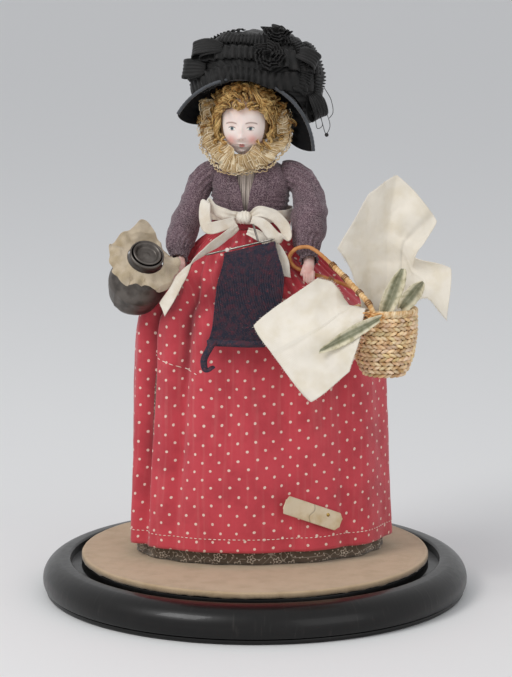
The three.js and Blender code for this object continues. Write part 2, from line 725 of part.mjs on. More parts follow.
function skirtWave(z) {
  const fallen = 1 - smooth(z, HEM_HEIGHT, SKIRT_TOP);
  const full = smooth(SKIRT_TOP - z, 6, 50);
  const gathers = smooth(SKIRT_TOP - z, 1, 12) * (1 - smooth(SKIRT_TOP - z, 20, 60));
  return (angle) => {
    const degrees = THREE.MathUtils.radToDeg(angle);
    const folded = FOLDS.reduce((sum, { at, wide, deep, lean }) => {
      const away = THREE.MathUtils.euclideanModulo(degrees - at - lean * fallen + 180, 360) - 180;
      return sum - deep * bump(away, 0, wide);
    }, 0);
    return full * folded + 0.9 * gathers * Math.cos(PLEATS * angle);
  };
}

function skirtRings(rows, inset, angles, wave = () => () => 0) {
  return insetRows(rows, inset).map(({ w, d, z }, i) => {
    const share = smooth(SKIRT_TOP - rows[i].z, 4, 55);
    return oval(
      BODY_X + SKIRT_SHIFT_X * share,
      BODY_Y + SKIRT_SHIFT_Y * share,
      z,
      w,
      d,
      angles,
      SKIRT_TURN * share,
      wave(rows[i].z),
    );
  });
}

function skirtLayer(rows, inset, cloth, angles, wave) {
  return ringShell(skirtRings(rows, inset, angles, wave), skirtRings(rows, inset + cloth, angles, wave));
}

// The underskirt and the petticoat hang inside the deepest folds, from the stuffed body's own waist
const BAND_SEAT = PLATE_INSET - LAYER_GAP - UNDERSKIRT_CLOTH;
const UNDER_ROOM = 4.8;
const UNDERSKIRT_ROWS = [
  [4.6, WAIST_HALF_WIDTH - BAND_SEAT, WAIST_HALF_DEPTH - BAND_SEAT],
  [9, WAIST_HALF_WIDTH + 0.4, WAIST_HALF_DEPTH + 0.6],
  [13, WAIST_HALF_WIDTH + 5.2, WAIST_HALF_DEPTH + 4],
  [22, WAIST_HALF_WIDTH + 13.5, WAIST_HALF_DEPTH + 7.5],
  [45, SKIRT_HALF_WIDTH * 0.71, SKIRT_HALF_DEPTH * 0.69],
  [61, SKIRT_HALF_WIDTH * 0.85, SKIRT_HALF_DEPTH * 0.79],
].map(([drop, w, d]) => ({ w, d, z: SKIRT_TOP - drop }));
const underHem = (z) => ({ w: SKIRT_HALF_WIDTH - UNDER_ROOM, d: SKIRT_HALF_DEPTH - UNDER_ROOM, z });

function buildSkirts(doll) {
  const rows = [...SKIRT_ROWS, ...SKIRT_FOOT_ROWS];
  piece(doll, "skirt", skirtLayer(rows, 0, SKIRT_CLOTH, SKIRT_ANGLES, skirtWave), RED_COTTON);
  const underRows = [...UNDERSKIRT_ROWS, underHem(UNDERSKIRT_HEM_GAP)];
  piece(doll, "underskirt", skirtLayer(underRows, 0, UNDERSKIRT_CLOTH, evenly(26)), BROWN_COTTON);
  const inset = UNDERSKIRT_CLOTH + LAYER_GAP;
  const foot = { ...underHem(PETTICOAT_HEM_HEIGHT), w: underHem(0).w - 0.8, d: underHem(0).d - 0.8 };
  const innerRows = [...UNDERSKIRT_ROWS.slice(1), foot];
  piece(doll, "petticoat", skirtLayer(innerRows, inset, PETTICOAT_CLOTH, evenly(26)), CALICO);

  const top = SKIRT_TOP;
  const bandIn = 1.8 + LAYER_GAP;
  const wall = (out) =>
    [top - BAND_HEIGHT / 2, top + BAND_HEIGHT / 2].map((z) =>
      oval(BODY_X, BODY_Y, z, WAIST_HALF_WIDTH + out, WAIST_HALF_DEPTH + out, evenly(24)),
    );
  piece(doll, "waistband", ringShell(wall(bandIn + BAND_CLOTH), wall(bandIn)), RED_COTTON);
}

// Bodice, chemisette, sleeves and arms
const BODICE_HEM = WAIST_HEIGHT - 4;
function buildBodice(doll) {
  const armhole = V(BODY_X, BODY_Y + 1, SHOULDER_HEIGHT - 1);
  const stub = (side) => rod(8, armhole, armhole.clone().add(V(side * (ARM_PLANE - GAP), 0, 0)), 16);
  const outside = joined(ringSolid(bodyRings(BODY_ROWS, 0)), stub(-1), stub(1));
  const low = { ...BODY_ROWS[0], z: BODICE_HEM - 3 };
  const high = { ...BODY_ROWS.at(-1), z: BODY_ROWS.at(-1).z + 4 };
  const inside = ringSolid(bodyRings([low, ...BODY_ROWS.slice(1), high], BODICE_CLOTH));
  const vTop = SHOULDER_HEIGHT + 16;
  const vFoot = WAIST_HEIGHT + 6;
  const opening = new THREE.Shape([
    new THREE.Vector2(-12, vTop),
    new THREE.Vector2(12, vTop),
    new THREE.Vector2(5.5, SHOULDER_HEIGHT + 2),
    new THREE.Vector2(1, vFoot),
    new THREE.Vector2(-1, vFoot),
    new THREE.Vector2(-5.5, SHOULDER_HEIGHT + 2),
  ]);
  const wedge = new THREE.ExtrudeGeometry(opening, { depth: 40, bevelEnabled: false });
  wedge.rotateX(Math.PI / 2).translate(BODY_X - 1, BODY_Y - 5, 0);
  const below = block(-60, 60, -60, 60, BODICE_HEM - 40, BODICE_HEM);
  piece(doll, "bodice", cut(outside, inside, wedge, below), PURPLE_COTTON);

  const outer = ringSolid(bodyRings(BODY_ROWS, CHEMISETTE_INSET));
  const inner = ringSolid(bodyRings([low, ...BODY_ROWS.slice(1), high], CHEMISETTE_INSET + CHEMISETTE_CLOTH));
  const front = block(BODY_X - 11, BODY_X + 10, -60, BODY_Y - 6, WAIST_HEIGHT + 3, SHOULDER_HEIGHT + 8);
  piece(doll, "chemisette", kept(cut(outer, inner), front), TAPE);
}

// Both arms hang from their shoulder joint; side is -1 for the doll's right arm
const ARMS = {
  right: {
    side: -1,
    line: [
      V(1.5, 0, -0.4),
      V(-4.6, -1, -6),
      V(-8.6, -3, -15),
      V(-12.6, -8, -28),
      V(-14.5, -15, -37),
      V(-14, -22, -43),
    ],
    radii: [7.4, 7.4, 7, 8.6, 7.6, 5],
    hand: [V(-14, -19, -41), V(-11.2, -32, -50), V(-13.4, -42.5, -54.5)],
    fingers: V(-0.62, -0.7, -0.36),
    palm: V(0.2, 0.3, 0.93),
  },
  left: {
    side: 1,
    line: [
      V(-1.5, 0, -0.2),
      V(6, -1, -5),
      V(10, -4, -14),
      V(10.8, -11, -26),
      V(10.8, -17.5, -36),
      V(12, -23, -41.5),
    ],
    radii: [7.6, 8, 9, 10.2, 8, 5],
    hand: [V(11.7, -20.5, -40), V(12.8, -27.5, -47.5), V(13, -29.5, -52)],
    fingers: V(0.02, -0.25, -0.96),
    palm: V(1, 0, 0),
  },
};

function buildHand(arm) {
  const along = arm.fingers.clone().normalize();
  const wide = arm.palm.clone().addScaledVector(along, -arm.palm.dot(along)).normalize();
  const [, wrist, knuckles] = arm.hand;
  const forearm = limb(
    [arm.line[3], arm.line[4], arm.hand[0], wrist],
    [3.6, 3.3, WRIST_RADIUS * 0.95, WRIST_RADIUS],
    7,
    4,
  );
  const palm = limb([arm.hand[0], wrist, knuckles], [WRIST_RADIUS, 3.3, 3], 7, 3, 0.62, wide);
  const fingers = [-1.5, -0.5, 0.5, 1.5].map((place) => {
    const root = knuckles.clone().addScaledVector(wide, place * 1.55).addScaledVector(along, -1.2);
    const reach = FINGER_LENGTH - 0.8 * Math.abs(place);
    const tip = root.clone().addScaledVector(along, reach);
    const radii = [1.1, 1, 0.7].map((share) => FINGER_RADIUS * share);
    return limb([root, root.clone().lerp(tip, 0.5), tip], radii, 4, 2);
  });
  const thumbRoot = wrist.clone().addScaledVector(wide, -2.4 * arm.side);
  const thumbTip = thumbRoot.clone().addScaledVector(wide, -2 * arm.side).addScaledVector(along, 5.5);
  const thumb = limb([thumbRoot, thumbRoot.clone().lerp(thumbTip, 0.6), thumbTip], [1.3, 1.2, 0.8], 4, 2);
  return joined(forearm, palm, thumb, ...fingers);
}

function buildArm(doll, name) {
  const arm = ARMS[name];
  const group = new THREE.Group();
  group.position.set(BODY_X + arm.side * ARM_PLANE, BODY_Y, SHOULDER_HEIGHT);
  const curve = new THREE.CatmullRomCurve3(arm.line, false, "centripetal");
  const widths = (less) => new THREE.SplineCurve(arm.radii.map((r, i) => new THREE.Vector2(i, r - less)));
  const rings = (less) => limbRings(curve, widths(less), 11, 8, 1, V(0, 1, 0.2));
  const outward = arm.side < 0 ? block(-60, -GAP, -60, 60, -80, 30) : block(GAP, 60, -60, 60, -80, 30);
  piece(group, "sleeve_" + name, kept(ringShell(rings(0), rings(SLEEVE_CLOTH)), outward), PURPLE_COTTON);

  const room = SLEEVE_CLOTH + LAYER_GAP + 0.3;
  const [top, upper, middle, elbow] = arm.line;
  const inSleeve = arm.radii.slice(0, 3).map((r) => r - SLEEVE_CLOTH - LAYER_GAP - 0.4);
  const stuffed = limb([top, upper, middle, middle.clone().lerp(elbow, 0.88)], [...inSleeve, 4], 10, 5);
  const edge = GAP + room;
  const bounds = arm.side < 0 ? block(-60, -edge, -60, 60, -80, 30) : block(edge, 60, -60, 60, -80, 30);
  piece(group, "upper_arm_" + name, kept(stuffed, bounds), CALICO);
  piece(group, "forearm_" + name, buildHand(arm), BISQUE);

  const end = arm.line.at(-1);
  const along = curve.getTangent(1);
  const start = end.clone().addScaledVector(along, GAP);
  const stop = end.clone().addScaledVector(along, CUFF_LENGTH);
  const cuff = (r) => limbRings(new THREE.LineCurve3(start, stop), new THREE.SplineCurve([
    new THREE.Vector2(0, r),
    new THREE.Vector2(1, r + 0.6),
  ]), 12, 1, 1, V(0, 1, 0.2));
  piece(group, "cuff_" + name, cut(ringShell(cuff(5), cuff(3.9)), buildHandRoom(arm)), PURPLE_COTTON);
  doll.add(group);
  return group;
}

// A hand's own room inside its cuff
function buildHandRoom(arm) {
  return limb([arm.line[4], arm.hand[0], arm.hand[1], arm.hand[2]], [4, 3.4, 3.9, 3.6], 8, 6);
}

// The milk can in the right hand, its lid and the cloth round its neck
const CAN_AXIS = V(0.33, -0.62, 0.71);
const CAN_MOUTH = V(-26, -52.8, -39.3); // from the shoulder joint
function buildCan(arm) {
  const can = aim(new THREE.Group(), CAN_AXIS);
  can.position.copy(CAN_MOUTH);
  const body = [
    [0, -CAN_LENGTH],
    [CAN_BELLY_RADIUS * 0.68, -CAN_LENGTH],
    [CAN_BELLY_RADIUS * 0.86, -CAN_LENGTH + 4],
    [CAN_BELLY_RADIUS, -CAN_LENGTH * 0.66],
    [CAN_BELLY_RADIUS + 0.5, -CAN_LENGTH * 0.61],
    [CAN_BELLY_RADIUS, -CAN_LENGTH * 0.56],
    [CAN_BELLY_RADIUS * 0.83, -CAN_LENGTH * 0.36],
    [CAN_NECK_RADIUS + 0.8, -CAN_LENGTH * 0.21],
    [CAN_NECK_RADIUS, -CAN_LENGTH * 0.14],
    [CAN_MOUTH_RADIUS, -1.2],
    [CAN_MOUTH_RADIUS, 0],
    [CAN_MOUTH_RADIUS - CAN_WALL, 0],
    [CAN_NECK_RADIUS - CAN_WALL, -CAN_LENGTH * 0.14],
    [CAN_NECK_RADIUS - 0.1, -CAN_LENGTH * 0.21],
    [CAN_BELLY_RADIUS * 0.83 - CAN_WALL, -CAN_LENGTH * 0.36 - 0.5],
    [CAN_BELLY_RADIUS - CAN_WALL, -CAN_LENGTH * 0.61],
    [CAN_BELLY_RADIUS * 0.86 - CAN_WALL, -CAN_LENGTH + 4],
    [0, -CAN_LENGTH + 1.2],
  ];
  piece(can, "can_body", turned(body, 14), TIN);
  const rim = CAN_MOUTH_RADIUS - CAN_WALL - GAP;
  const lid = [
    [0, -2.6],
    [rim - 2.4, -2.6],
    [rim - 1.6, -1],
    [rim - 0.6, -0.8],
    [rim, 0.2],
    [rim - 0.4, 0.9],
    [rim - 1.4, 0.7],
    [rim - 2.6, -1.4],
    [0, -1.6],
  ];
  piece(can, "can_lid", turned(lid, 14), TIN);

  const raised = (angle) => Math.exp(-(((angle - Math.PI / 2) / 0.75) ** 2));
  const edge = (angle) => 17 + 2 * Math.cos(2 * angle + 0.9) + 1.1 * Math.cos(5 * angle) + 4 * raised(angle);
  const rows = [
    [0, -5.2],
    [0.3, -7.4],
    [0.65, -9.3],
    [1, -11.2],
  ];
  const hem = (lift) =>
    rows.map(([share, t]) =>
      Array.from({ length: 22 }, (_, i) => {
        const angle = (2 * Math.PI * i) / 22;
        const r = lerp(CAN_NECK_RADIUS + 1.6 + GAP, edge(angle), share);
        const wave = 1.3 * share * Math.cos(4 * angle + 1) + 13 * share ** 1.5 * raised(angle);
        return V(r * Math.cos(angle), r * Math.sin(angle), t + wave + lift);
      }),
    );
  piece(can, "can_cloth", ringShell(hem(0.8), hem(0)), CALICO);
  arm.add(can);
}

// The basket on the left wrist, with two napkins and the leaves in it
const BASKET_HANG = V(12, -30, -37.4); // the handle's top, from the shoulder joint
const BASKET_MOUTH = V(44, -17, -30.1); // from the handle's top
function buildBasket(arm) {
  const basket = new THREE.Group();
  basket.position.copy(BASKET_HANG);
  const wall = BASKET_WALL;
  const body = [
    [0, -BASKET_HEIGHT],
    [BASKET_FOOT_RADIUS, -BASKET_HEIGHT],
    [BASKET_RADIUS * 0.9, -BASKET_HEIGHT * 0.7],
    [BASKET_RADIUS, -BASKET_HEIGHT * 0.35],
    [BASKET_RADIUS, -1],
    [BASKET_RADIUS - 0.7, 0],
    [BASKET_RADIUS - wall, 0],
    [BASKET_RADIUS - wall, -BASKET_HEIGHT * 0.35],
    [BASKET_RADIUS * 0.9 - wall, -BASKET_HEIGHT * 0.7],
    [BASKET_FOOT_RADIUS - wall, -BASKET_HEIGHT + wall],
    [0, -BASKET_HEIGHT + wall],
  ];
  const vessel = turned(body, 18).translate(...BASKET_MOUTH.toArray());
  piece(basket, "basket_body", vessel, STRAW);

  const rimOut = BASKET_RADIUS + HANDLE_RADIUS + GAP;
  const front = BASKET_MOUTH.clone().add(V(-3, -rimOut, -4));
  const back = BASKET_MOUTH.clone().add(V(2, rimOut, -4));
  const handle = [
    front,
    front.clone().add(V(-3, 0.5, 8)),
    V(27.5, -24, -17),
    V(14.5, -12, -7),
    V(4.5, -3, -0.8),
    V(0, 0, 0.4),
    V(-6, 1, -0.8),
    V(-9.9, 2.8, -5.6),
    V(-8, 4.8, -10.8),
    V(-1.5, 6.8, -14.1),
    V(9.5, 8, -17.6),
    V(22, 9, -22),
    V(36, 6.5, -27.5),
    back.clone().add(V(0, 0.2, 4)),
    back,
  ];
  piece(basket, "basket_handle", tube(handle, HANDLE_RADIUS, 6, 32), STRAW);
  const tieAt = front.clone().add(V(-1, -HANDLE_RADIUS * 0.2, 3.4));
  const tieLine = [V(-4.4, -3.2, -0.4), V(0, -3.6, 0.6), V(4.6, -3, 0)].map((p) => p.add(tieAt));
  const tie = limb(tieLine, [0.9, 1.6, 0.9], 8, 6);
  piece(basket, "handle_tie", tie, STRAW);

  const mouth = (angle, r, z) =>
    BASKET_MOUTH.clone().add(V(r * Math.cos(rad(angle)), r * Math.sin(rad(angle)), z));
  const inside = BASKET_RADIUS - wall - NAPKIN_CLOTH - GAP;
  const over = BASKET_RADIUS + NAPKIN_CLOTH + 1.2;
  const upperAngles = [168, 128, 90, 50, 20, -10, -38];
  const upper = throughRows([
    upperAngles.map((angle) => mouth(angle, inside - 0.3, -7)),
    upperAngles.map((angle) => mouth(angle, inside - 0.3, 2.4)),
    [
      V(26, -17, -8.1),
      V(33.5, -5, 2.4),
      V(43.5, 2, 10.4),
      V(54, -1, 2.4),
      V(58, -6, -8.6),
      V(65.5, -10, -12.6),
      V(67, -22, -22.6),
    ],
    [
      V(19.3, -22, 2.9),
      V(34.4, -6, 30.4),
      V(48.3, 3, 40),
      V(70.5, -2, 16),
      V(58.8, -10, -3),
      V(78.9, -12, -8.2),
      V(77.8, -22, -34.6),
    ],
  ]);
  piece(basket, "napkin_upper", sheet(upper, 14, 6, NAPKIN_CLOTH), CALICO);
  const lowerAngles = [188, 200, 213, 228, 243];
  const lower = throughRows([
    lowerAngles.map((angle) => mouth(angle, inside - 0.4, -6)),
    lowerAngles.map((angle) => mouth(angle, inside - 0.4, 0.6)),
    lowerAngles.map((angle) => mouth(angle, over, 2.2)),
    [V(16, -21.5, -15.6), V(8, -29.5, -29.6), V(10, -36.5, -40.6), V(21, -40, -45.6), V(33, -40.5, -43.6)],
    [V(8.5, -24, -13.1), V(-24.5, -34, -38.1), V(-12.5, -39, -54.1), V(7.5, -43, -77.1), V(28, -44, -60.1)],
  ]);
  piece(basket, "napkin_lower", sheet(lower, 11, 8, NAPKIN_CLOTH), CALICO);

  const leaf = (name, root, tip, side, width, curl) => {
    const across = side.clone().normalize();
    const place = (u, v) => {
      const swell = Math.sin(Math.PI * Math.min(0.08 + 0.86 * v, 1)) ** 0.7;
      const p = root.clone().lerp(tip, v).addScaledVector(across, (u - 0.5) * width * swell);
      const lift = V(0, 0, 0).crossVectors(tip.clone().sub(root).normalize(), across);
      return p.addScaledVector(lift, curl * (u - 0.5) ** 2 * 4 + 0.5 * Math.sin(9 * v + 3 * u));
    };
    piece(basket, name, sheet(place, 4, 6, LEAF_THICKNESS), LEAF);
  };
  leaf("leaf_front", V(35, -41, -35.6), V(13, -42.4, -48.6), V(0.3, -0.1, 1), 9, -1.2);
  leaf("leaf_middle", mouth(270, inside - 1.2, -3), V(54, -27.5, -6.6), V(1, 0.3, 0), 10, -1.6);
  leaf("leaf_side", mouth(316, inside - 1, 2), V(66, -37, -11.6), V(0.6, 0.3, -0.5), 9, -1.6);
  arm.add(basket);
  return basket;
}

// The lace frill round the face, and the bonnet
function buildFrill(doll) {
  const wide = FRILL_HALF_WIDTH;
  const low = FRILL_DROP;
  const line = new THREE.CatmullRomCurve3(
    [
      V(-0.97 * wide, -3.5, 11),
      V(-wide, -4, 0),
      V(-0.98 * wide, -5, -0.36 * low),
      V(-0.82 * wide, -9, -0.67 * low),
      V(-0.46 * wide, -15, -0.92 * low),
      V(-0.08 * wide, -17, -low),
      V(0.37 * wide, -15, -0.93 * low),
      V(0.76 * wide, -9, -0.7 * low),
      V(0.97 * wide, -5, -0.42 * low),
      V(wide, -4, -2),
      V(0.95 * wide, -3.5, 5),
    ],
    false,
    "centripetal",
  );
  const steps = 34;
  const rings = Array.from({ length: steps + 1 }, (_, i) => {
    const core = line.getPoint(i / steps);
    const out = V(core.x, 0, Math.min(core.z + 0.33 * low, 0)).normalize();
    core.add(V(HEAD_X, HEAD_Y + 1.1 * Math.cos(i * Math.PI), HEAD_HEIGHT));
    const inner = core.clone().addScaledVector(out, -FRILL_WIDTH - 3 * smooth(-out.z, 0.3, 0.9));
    const half = FRILL_THICKNESS / 2;
    return [
      core.clone().add(V(0, -half * 0.4, 0)),
      core.clone().add(V(0, half * 0.4, 0)),
      inner.clone().add(V(0, half, 0)),
      inner.clone().add(V(0, -half, 0)),
    ];
  });
  piece(doll, "lace_frill", ringSolid(rings), LACE);
}

const BRIM_MIDDLE = V(HEAD_X - 1, HEAD_Y - 15, HEAD_HEIGHT - 17.4);
const BRIM_BACK = V(HEAD_X, HEAD_Y - 15 + BRIM_DEPTH, HEAD_HEIGHT - 1.5);
function buildBonnet(doll) {
  const arc = (depth, extra) =>
    (angle) => {
      const share = smooth(depth, 0, 1) * 0.5 + depth * 0.5;
      const r = lerp(BRIM_RADIUS, BRIM_BACK_RADIUS, share) + extra;
      const middle = BRIM_MIDDLE.clone().lerp(BRIM_BACK, depth);
      return middle.add(V(r * Math.cos(angle), 0, r * Math.sin(angle)));
    };
  const steps = 22;
  const rings = Array.from({ length: steps + 1 }, (_, i) => {
    const share = i / steps;
    const front = lerp(rad(BRIM_FROM), rad(BRIM_TO), share);
    const rear = lerp(rad(BRIM_FROM - 28), rad(BRIM_TO + 36), share);
    const outer = [0, 0.33, 0.67, 1].map((d) => arc(d, 0)(lerp(front, rear, d)));
    const inner = [1, 0.67, 0.33, 0].map((d) => arc(d, -BRIM_THICKNESS)(lerp(front, rear, d)));
    return [...outer, ...inner];
  });
  piece(doll, "hat_brim", ringSolid(rings), BLACK_SILK);

  const edge = Array.from({ length: 13 }, (_, i) => {
    const angle = lerp(rad(BRIM_FROM + 1), rad(BRIM_TO - 1), i / 12);
    const r = BRIM_RADIUS - BRIM_THICKNESS / 2;
    return BRIM_MIDDLE.clone().add(V(r * Math.cos(angle), -1.2 - GAP, r * Math.sin(angle)));
  });
  piece(doll, "brim_binding", tube(edge, 1.2, 6, 20), BLACK_SILK);

  const crownMiddle = V(HEAD_X + 5, HEAD_Y + 9, HEAD_HEIGHT + 18.5);
  const crown = ball(0, 0, 0, 1, 1, 1, 20, 10);
  const place = crown.attributes.position;
  for (let i = 0; i < place.count; i++) {
    place.setXYZ(i, ...crownPoint(V(0, 0, 0).fromBufferAttribute(place, i)).toArray());
  }
  crown.translate(...crownMiddle.toArray());
  const ring = (depth, middle, r) =>
    Array.from({ length: 20 }, (_, i) => {
      const angle = (2 * Math.PI * i) / 20;
      return V(middle.x + r * Math.cos(angle), depth, middle.z + r * Math.sin(angle));
    });
  const frontY = BRIM_MIDDLE.y;
  const backY = BRIM_BACK.y;
  const room = ringSolid([
    ring(frontY - 20, BRIM_MIDDLE, BRIM_RADIUS + 8),
    ring(frontY, BRIM_MIDDLE, BRIM_RADIUS + 1),
    ...[0.33, 0.67, 1].map((d) => {
      const share = smooth(d, 0, 1) * 0.5 + d * 0.5;
      const middle = BRIM_MIDDLE.clone().lerp(BRIM_BACK, d);
      return ring(middle.y, middle, lerp(BRIM_RADIUS, BRIM_BACK_RADIUS, share) + 1);
    }),
    ring(backY + 10, BRIM_BACK, BRIM_BACK_RADIUS - 2),
    ring(backY + 17, BRIM_BACK, BRIM_BACK_RADIUS - 9),
  ]);
  piece(doll, "hat_crown", cut(crown, room), BLACK_SILK);
  buildTrimming(doll, crownMiddle);
}

// The crown is an oval ball with squared shoulders: share is 1 on its surface
function crownShare(p) {
  const around = (Math.abs(p.x) / CROWN_HALF_WIDTH) ** CROWN_SQUARENESS;
  const up = (Math.abs(p.z) / CROWN_HALF_HEIGHT) ** CROWN_SQUARENESS;
  return Math.hypot((around + up) ** (1 / CROWN_SQUARENESS), p.y / CROWN_HALF_DEPTH);
}

const crownPoint = (direction) => direction.clone().divideScalar(crownShare(direction));

// Ribbons on the crown: each stands on the crown's surface, in the direction given from its middle
function onCrown(middle, direction, lift) {
  const place = crownPoint(direction);
  const step = 0.01;
  const rise = (axis) => crownShare(place.clone().addScaledVector(axis, step)) - 1;
  const out = V(rise(V(1, 0, 0)), rise(V(0, 1, 0)), rise(V(0, 0, 1))).normalize();
  const group = aim(new THREE.Group(), out);
  group.position.copy(middle.clone().add(place).addScaledVector(out, lift));
  return group;
}

function rosette(radius, height) {
  const rings = [
    [0.55, 0],
    [1, 0.35],
    [0.78, 0.7],
    [0.3, 1],
  ].map(([share, z], row) =>
    oval(0, 0, z * height, radius * share, radius * share, evenly(16), 0, (angle) =>
      row === 1 || row === 2 ? radius * 0.07 * Math.cos(8 * angle) : 0,
    ),
  );
  return ringSolid(rings);
}

// A ribbon bent into a loop that stands on its foot: its outline drawn across its width
function ribbonLoop(reach, height, width, thickness) {
  const shape = new THREE.Shape();
  shape.moveTo(0, 0);
  shape.bezierCurveTo(reach * 0.2, height * 0.9, reach * 0.9, height * 1.25, reach, height * 0.5);
  shape.bezierCurveTo(reach * 1.05, -height * 0.02, reach * 0.4, -height * 0.05, 0, 0);
  const hole = new THREE.Path();
  const t = thickness;
  hole.moveTo(t * 2.5, t * 1.1);
  hole.bezierCurveTo(reach * 0.45, t * 0.9, reach - t * 1.1, t * 1.4, reach - t * 1.1, height * 0.5);
  hole.bezierCurveTo(reach * 0.85, height * 1.1 - t * 1.6, reach * 0.3, height * 0.75 - t, t * 2.5, t * 1.1);
  shape.holes.push(hole);
  const geometry = new THREE.ExtrudeGeometry(shape, { depth: width, bevelEnabled: false, curveSegments: 5 });
  return geometry.translate(0, 0, -width / 2);
}

function buildTrimming(doll, middle) {
  const place = (name, direction, lift, geometry, spin = 0) => {
    const group = onCrown(middle, direction, lift);
    group.add(new THREE.Group());
    group.children[0].rotation.z = spin;
    piece(group.children[0], name, geometry, BLACK_SILK);
    doll.add(group);
  };
  const lying = (reach, height, width) =>
    ribbonLoop(reach, height, width, RIBBON_THICKNESS).rotateX(Math.PI / 2);
  place("rosette_front", V(9, -22, 15), GAP, rosette(ROSETTE_RADIUS, 5));
  place("rosette_top", V(12, -11, 27), GAP, rosette(ROSETTE_RADIUS * 0.95, 5));
  place("ribbon_loop_right", V(-25, -17, 9), GAP, lying(15, 5, RIBBON_WIDTH), rad(186));
  place("ribbon_loop_top", V(-14, -14, 17), GAP, lying(17, 5.4, RIBBON_WIDTH), rad(196));
  place("ribbon_loop_left", V(22, -15, 17), GAP, lying(13, 5, RIBBON_WIDTH), rad(-40));
  place("ribbon_loop_low", V(30, -13, -4), GAP, lying(14, 6, RIBBON_WIDTH), rad(-72));
}

// Tape, bow and knitting at the waist
function buildBow(doll) {
  const low = WAIST_HEIGHT + 0.2;
  const inner = 1.8 + LAYER_GAP + BAND_CLOTH + LAYER_GAP;
  const wall = (out) =>
    [low, low + TAPE_WIDTH].map((z) =>
      oval(BODY_X, BODY_Y, z, WAIST_HALF_WIDTH + out, WAIST_HALF_DEPTH + out, evenly(24)),
    );
  piece(doll, "waist_tape", ringShell(wall(inner + TAPE_THICKNESS), wall(inner)), TAPE);

  const bow = new THREE.Group();
  const front = BODY_Y - WAIST_HALF_DEPTH - inner - TAPE_THICKNESS;
  bow.position.set(BODY_X - 1, front, low + TAPE_WIDTH / 2);
  const knot = ball(0, -3 - GAP, 0, KNOT_RADIUS, 3, KNOT_RADIUS * 0.9, 12, 8);
  piece(bow, "bow_knot", knot, TAPE);
  const side = KNOT_RADIUS + GAP;
  const forward = V(0, -1, 0);
  const upright = V(0, 0, 1);
  piece(
    bow,
    "bow_loop_right",
    strap(
      [
        V(-side, -2.5, 0.6),
        V(-10, -6, 2),
        V(-17, -5, 5),
        V(-20.5, -5, 9),
        V(-21, -7, 3),
        V(-19, -9, -5),
        V(-12, -9, -4),
        V(-side, -6.5, -1.4),
      ],
      [upright, upright, V(0.3, -0.4, 1), V(1, -0.6, 0.3), V(1, -0.2, 0.2), V(0.6, 0, 0.6), upright, upright],
      TAPE_WIDTH,
      TAPE_THICKNESS,
      22,
    ),
    TAPE,
  );
  piece(
    bow,
    "bow_loop_left",
    strap(
      [
        V(side, -2.5, 1),
        V(9, -6, 4),
        V(17, -6, 2),
        V(23, -6, -5),
        V(24, -8.5, -10),
        V(19, -10, -10),
        V(12, -9.5, -3),
        V(side, -6.5, -0.6),
      ],
      [upright, upright, V(0.4, 0, 1), V(1, 0, 0.5), V(1, -0.3, -0.2), V(0.5, 0, 1), upright, upright],
      TAPE_WIDTH,
      TAPE_THICKNESS,
      22,
    ),
    TAPE,
  );
  piece(
    bow,
    "bow_tail_right",
    strap(
      [
        V(-2.6, -7.2, -4.6),
        V(-9, -13, -10),
        V(-17.5, -20, -16),
        V(-25.5, -28, -23),
        V(-33, -34, -35.5),
        V(-39.5, -36.5, -47),
      ],
      [V(0.2, 0, 1), V(0.5, 0, 1), V(0.6, 0, 1), V(0.7, 0, 0.8), V(1, 0, 0.5), V(1, 0, 0.4)],
      TAPE_WIDTH,
      TAPE_THICKNESS,
      14,
    ),
    TAPE,
  );
  piece(
    bow,
    "bow_tail_left",
    strap(
      [V(2.6, -5.6, -7), V(11, -7, -10.5), V(19.5, -8.5, -17.5), V(23, -10.6, -23.5), V(24.5, -13, -30.5)],
      [V(0.4, 0, 1), V(0.6, 0, 1), V(0.8, 0, 1), V(1, 0, 0.5), V(1, 0, 0.2)],
      TAPE_WIDTH * 0.9,
      TAPE_THICKNESS,
      8,
    ),
    TAPE,
  );
  doll.add(bow);
  return bow;
}

function buildKnitting(doll) {
  const knitting = new THREE.Group();
  knitting.position.set(BODY_X + 3.5, BODY_Y - 29, WAIST_HEIGHT - 12);
  const place = (u, v) => {
    const width = lerp(KNIT_WIDTH, KNIT_FULL_WIDTH, smooth(v, 0, 0.4) - 0.6 * smooth(v, 0.5, 1));
    const x = (u - 0.5) * width - 4.5 * v * v + 2.4 * Math.sin(3 * v);
    const slope = (u - 0.5) * KNIT_WIDTH * NEEDLE_SLOPE * (1 - v);
    const swell = 1.6 * Math.sin(Math.PI * u) * (1 - 0.3 * v);
    const roll = 2.4 * smooth(v, 0.86, 1);
    return V(x, -swell - 20 * v ** 0.9 - roll, slope - KNIT_LENGTH * v);
  };
  piece(knitting, "knitting", sheet(place, 8, 9, KNIT_THICKNESS), WOOL);
  const along = V(1, 0, NEEDLE_SLOPE).normalize();
  const above = V(-along.z, 0, along.x).multiplyScalar(NEEDLE_RADIUS + GAP + KNIT_THICKNESS * 0.25);
  const end = along.clone().multiplyScalar(KNIT_WIDTH * 0.52).add(above).add(V(0, -0.6, 0));
  const start = end.clone().addScaledVector(along, -NEEDLE_LENGTH);
  piece(knitting, "needle_long", rod(NEEDLE_RADIUS, start, end, 8), STEEL);
  const foot = V(5, -2.4, 3.6);
  const up = foot.clone().add(V(-0.3, 0.05, 0.95).multiplyScalar(SHORT_NEEDLE_LENGTH * 0.6));
  piece(knitting, "needle_short", rod(NEEDLE_RADIUS, foot, up, 8), STEEL);
  doll.add(knitting);
}

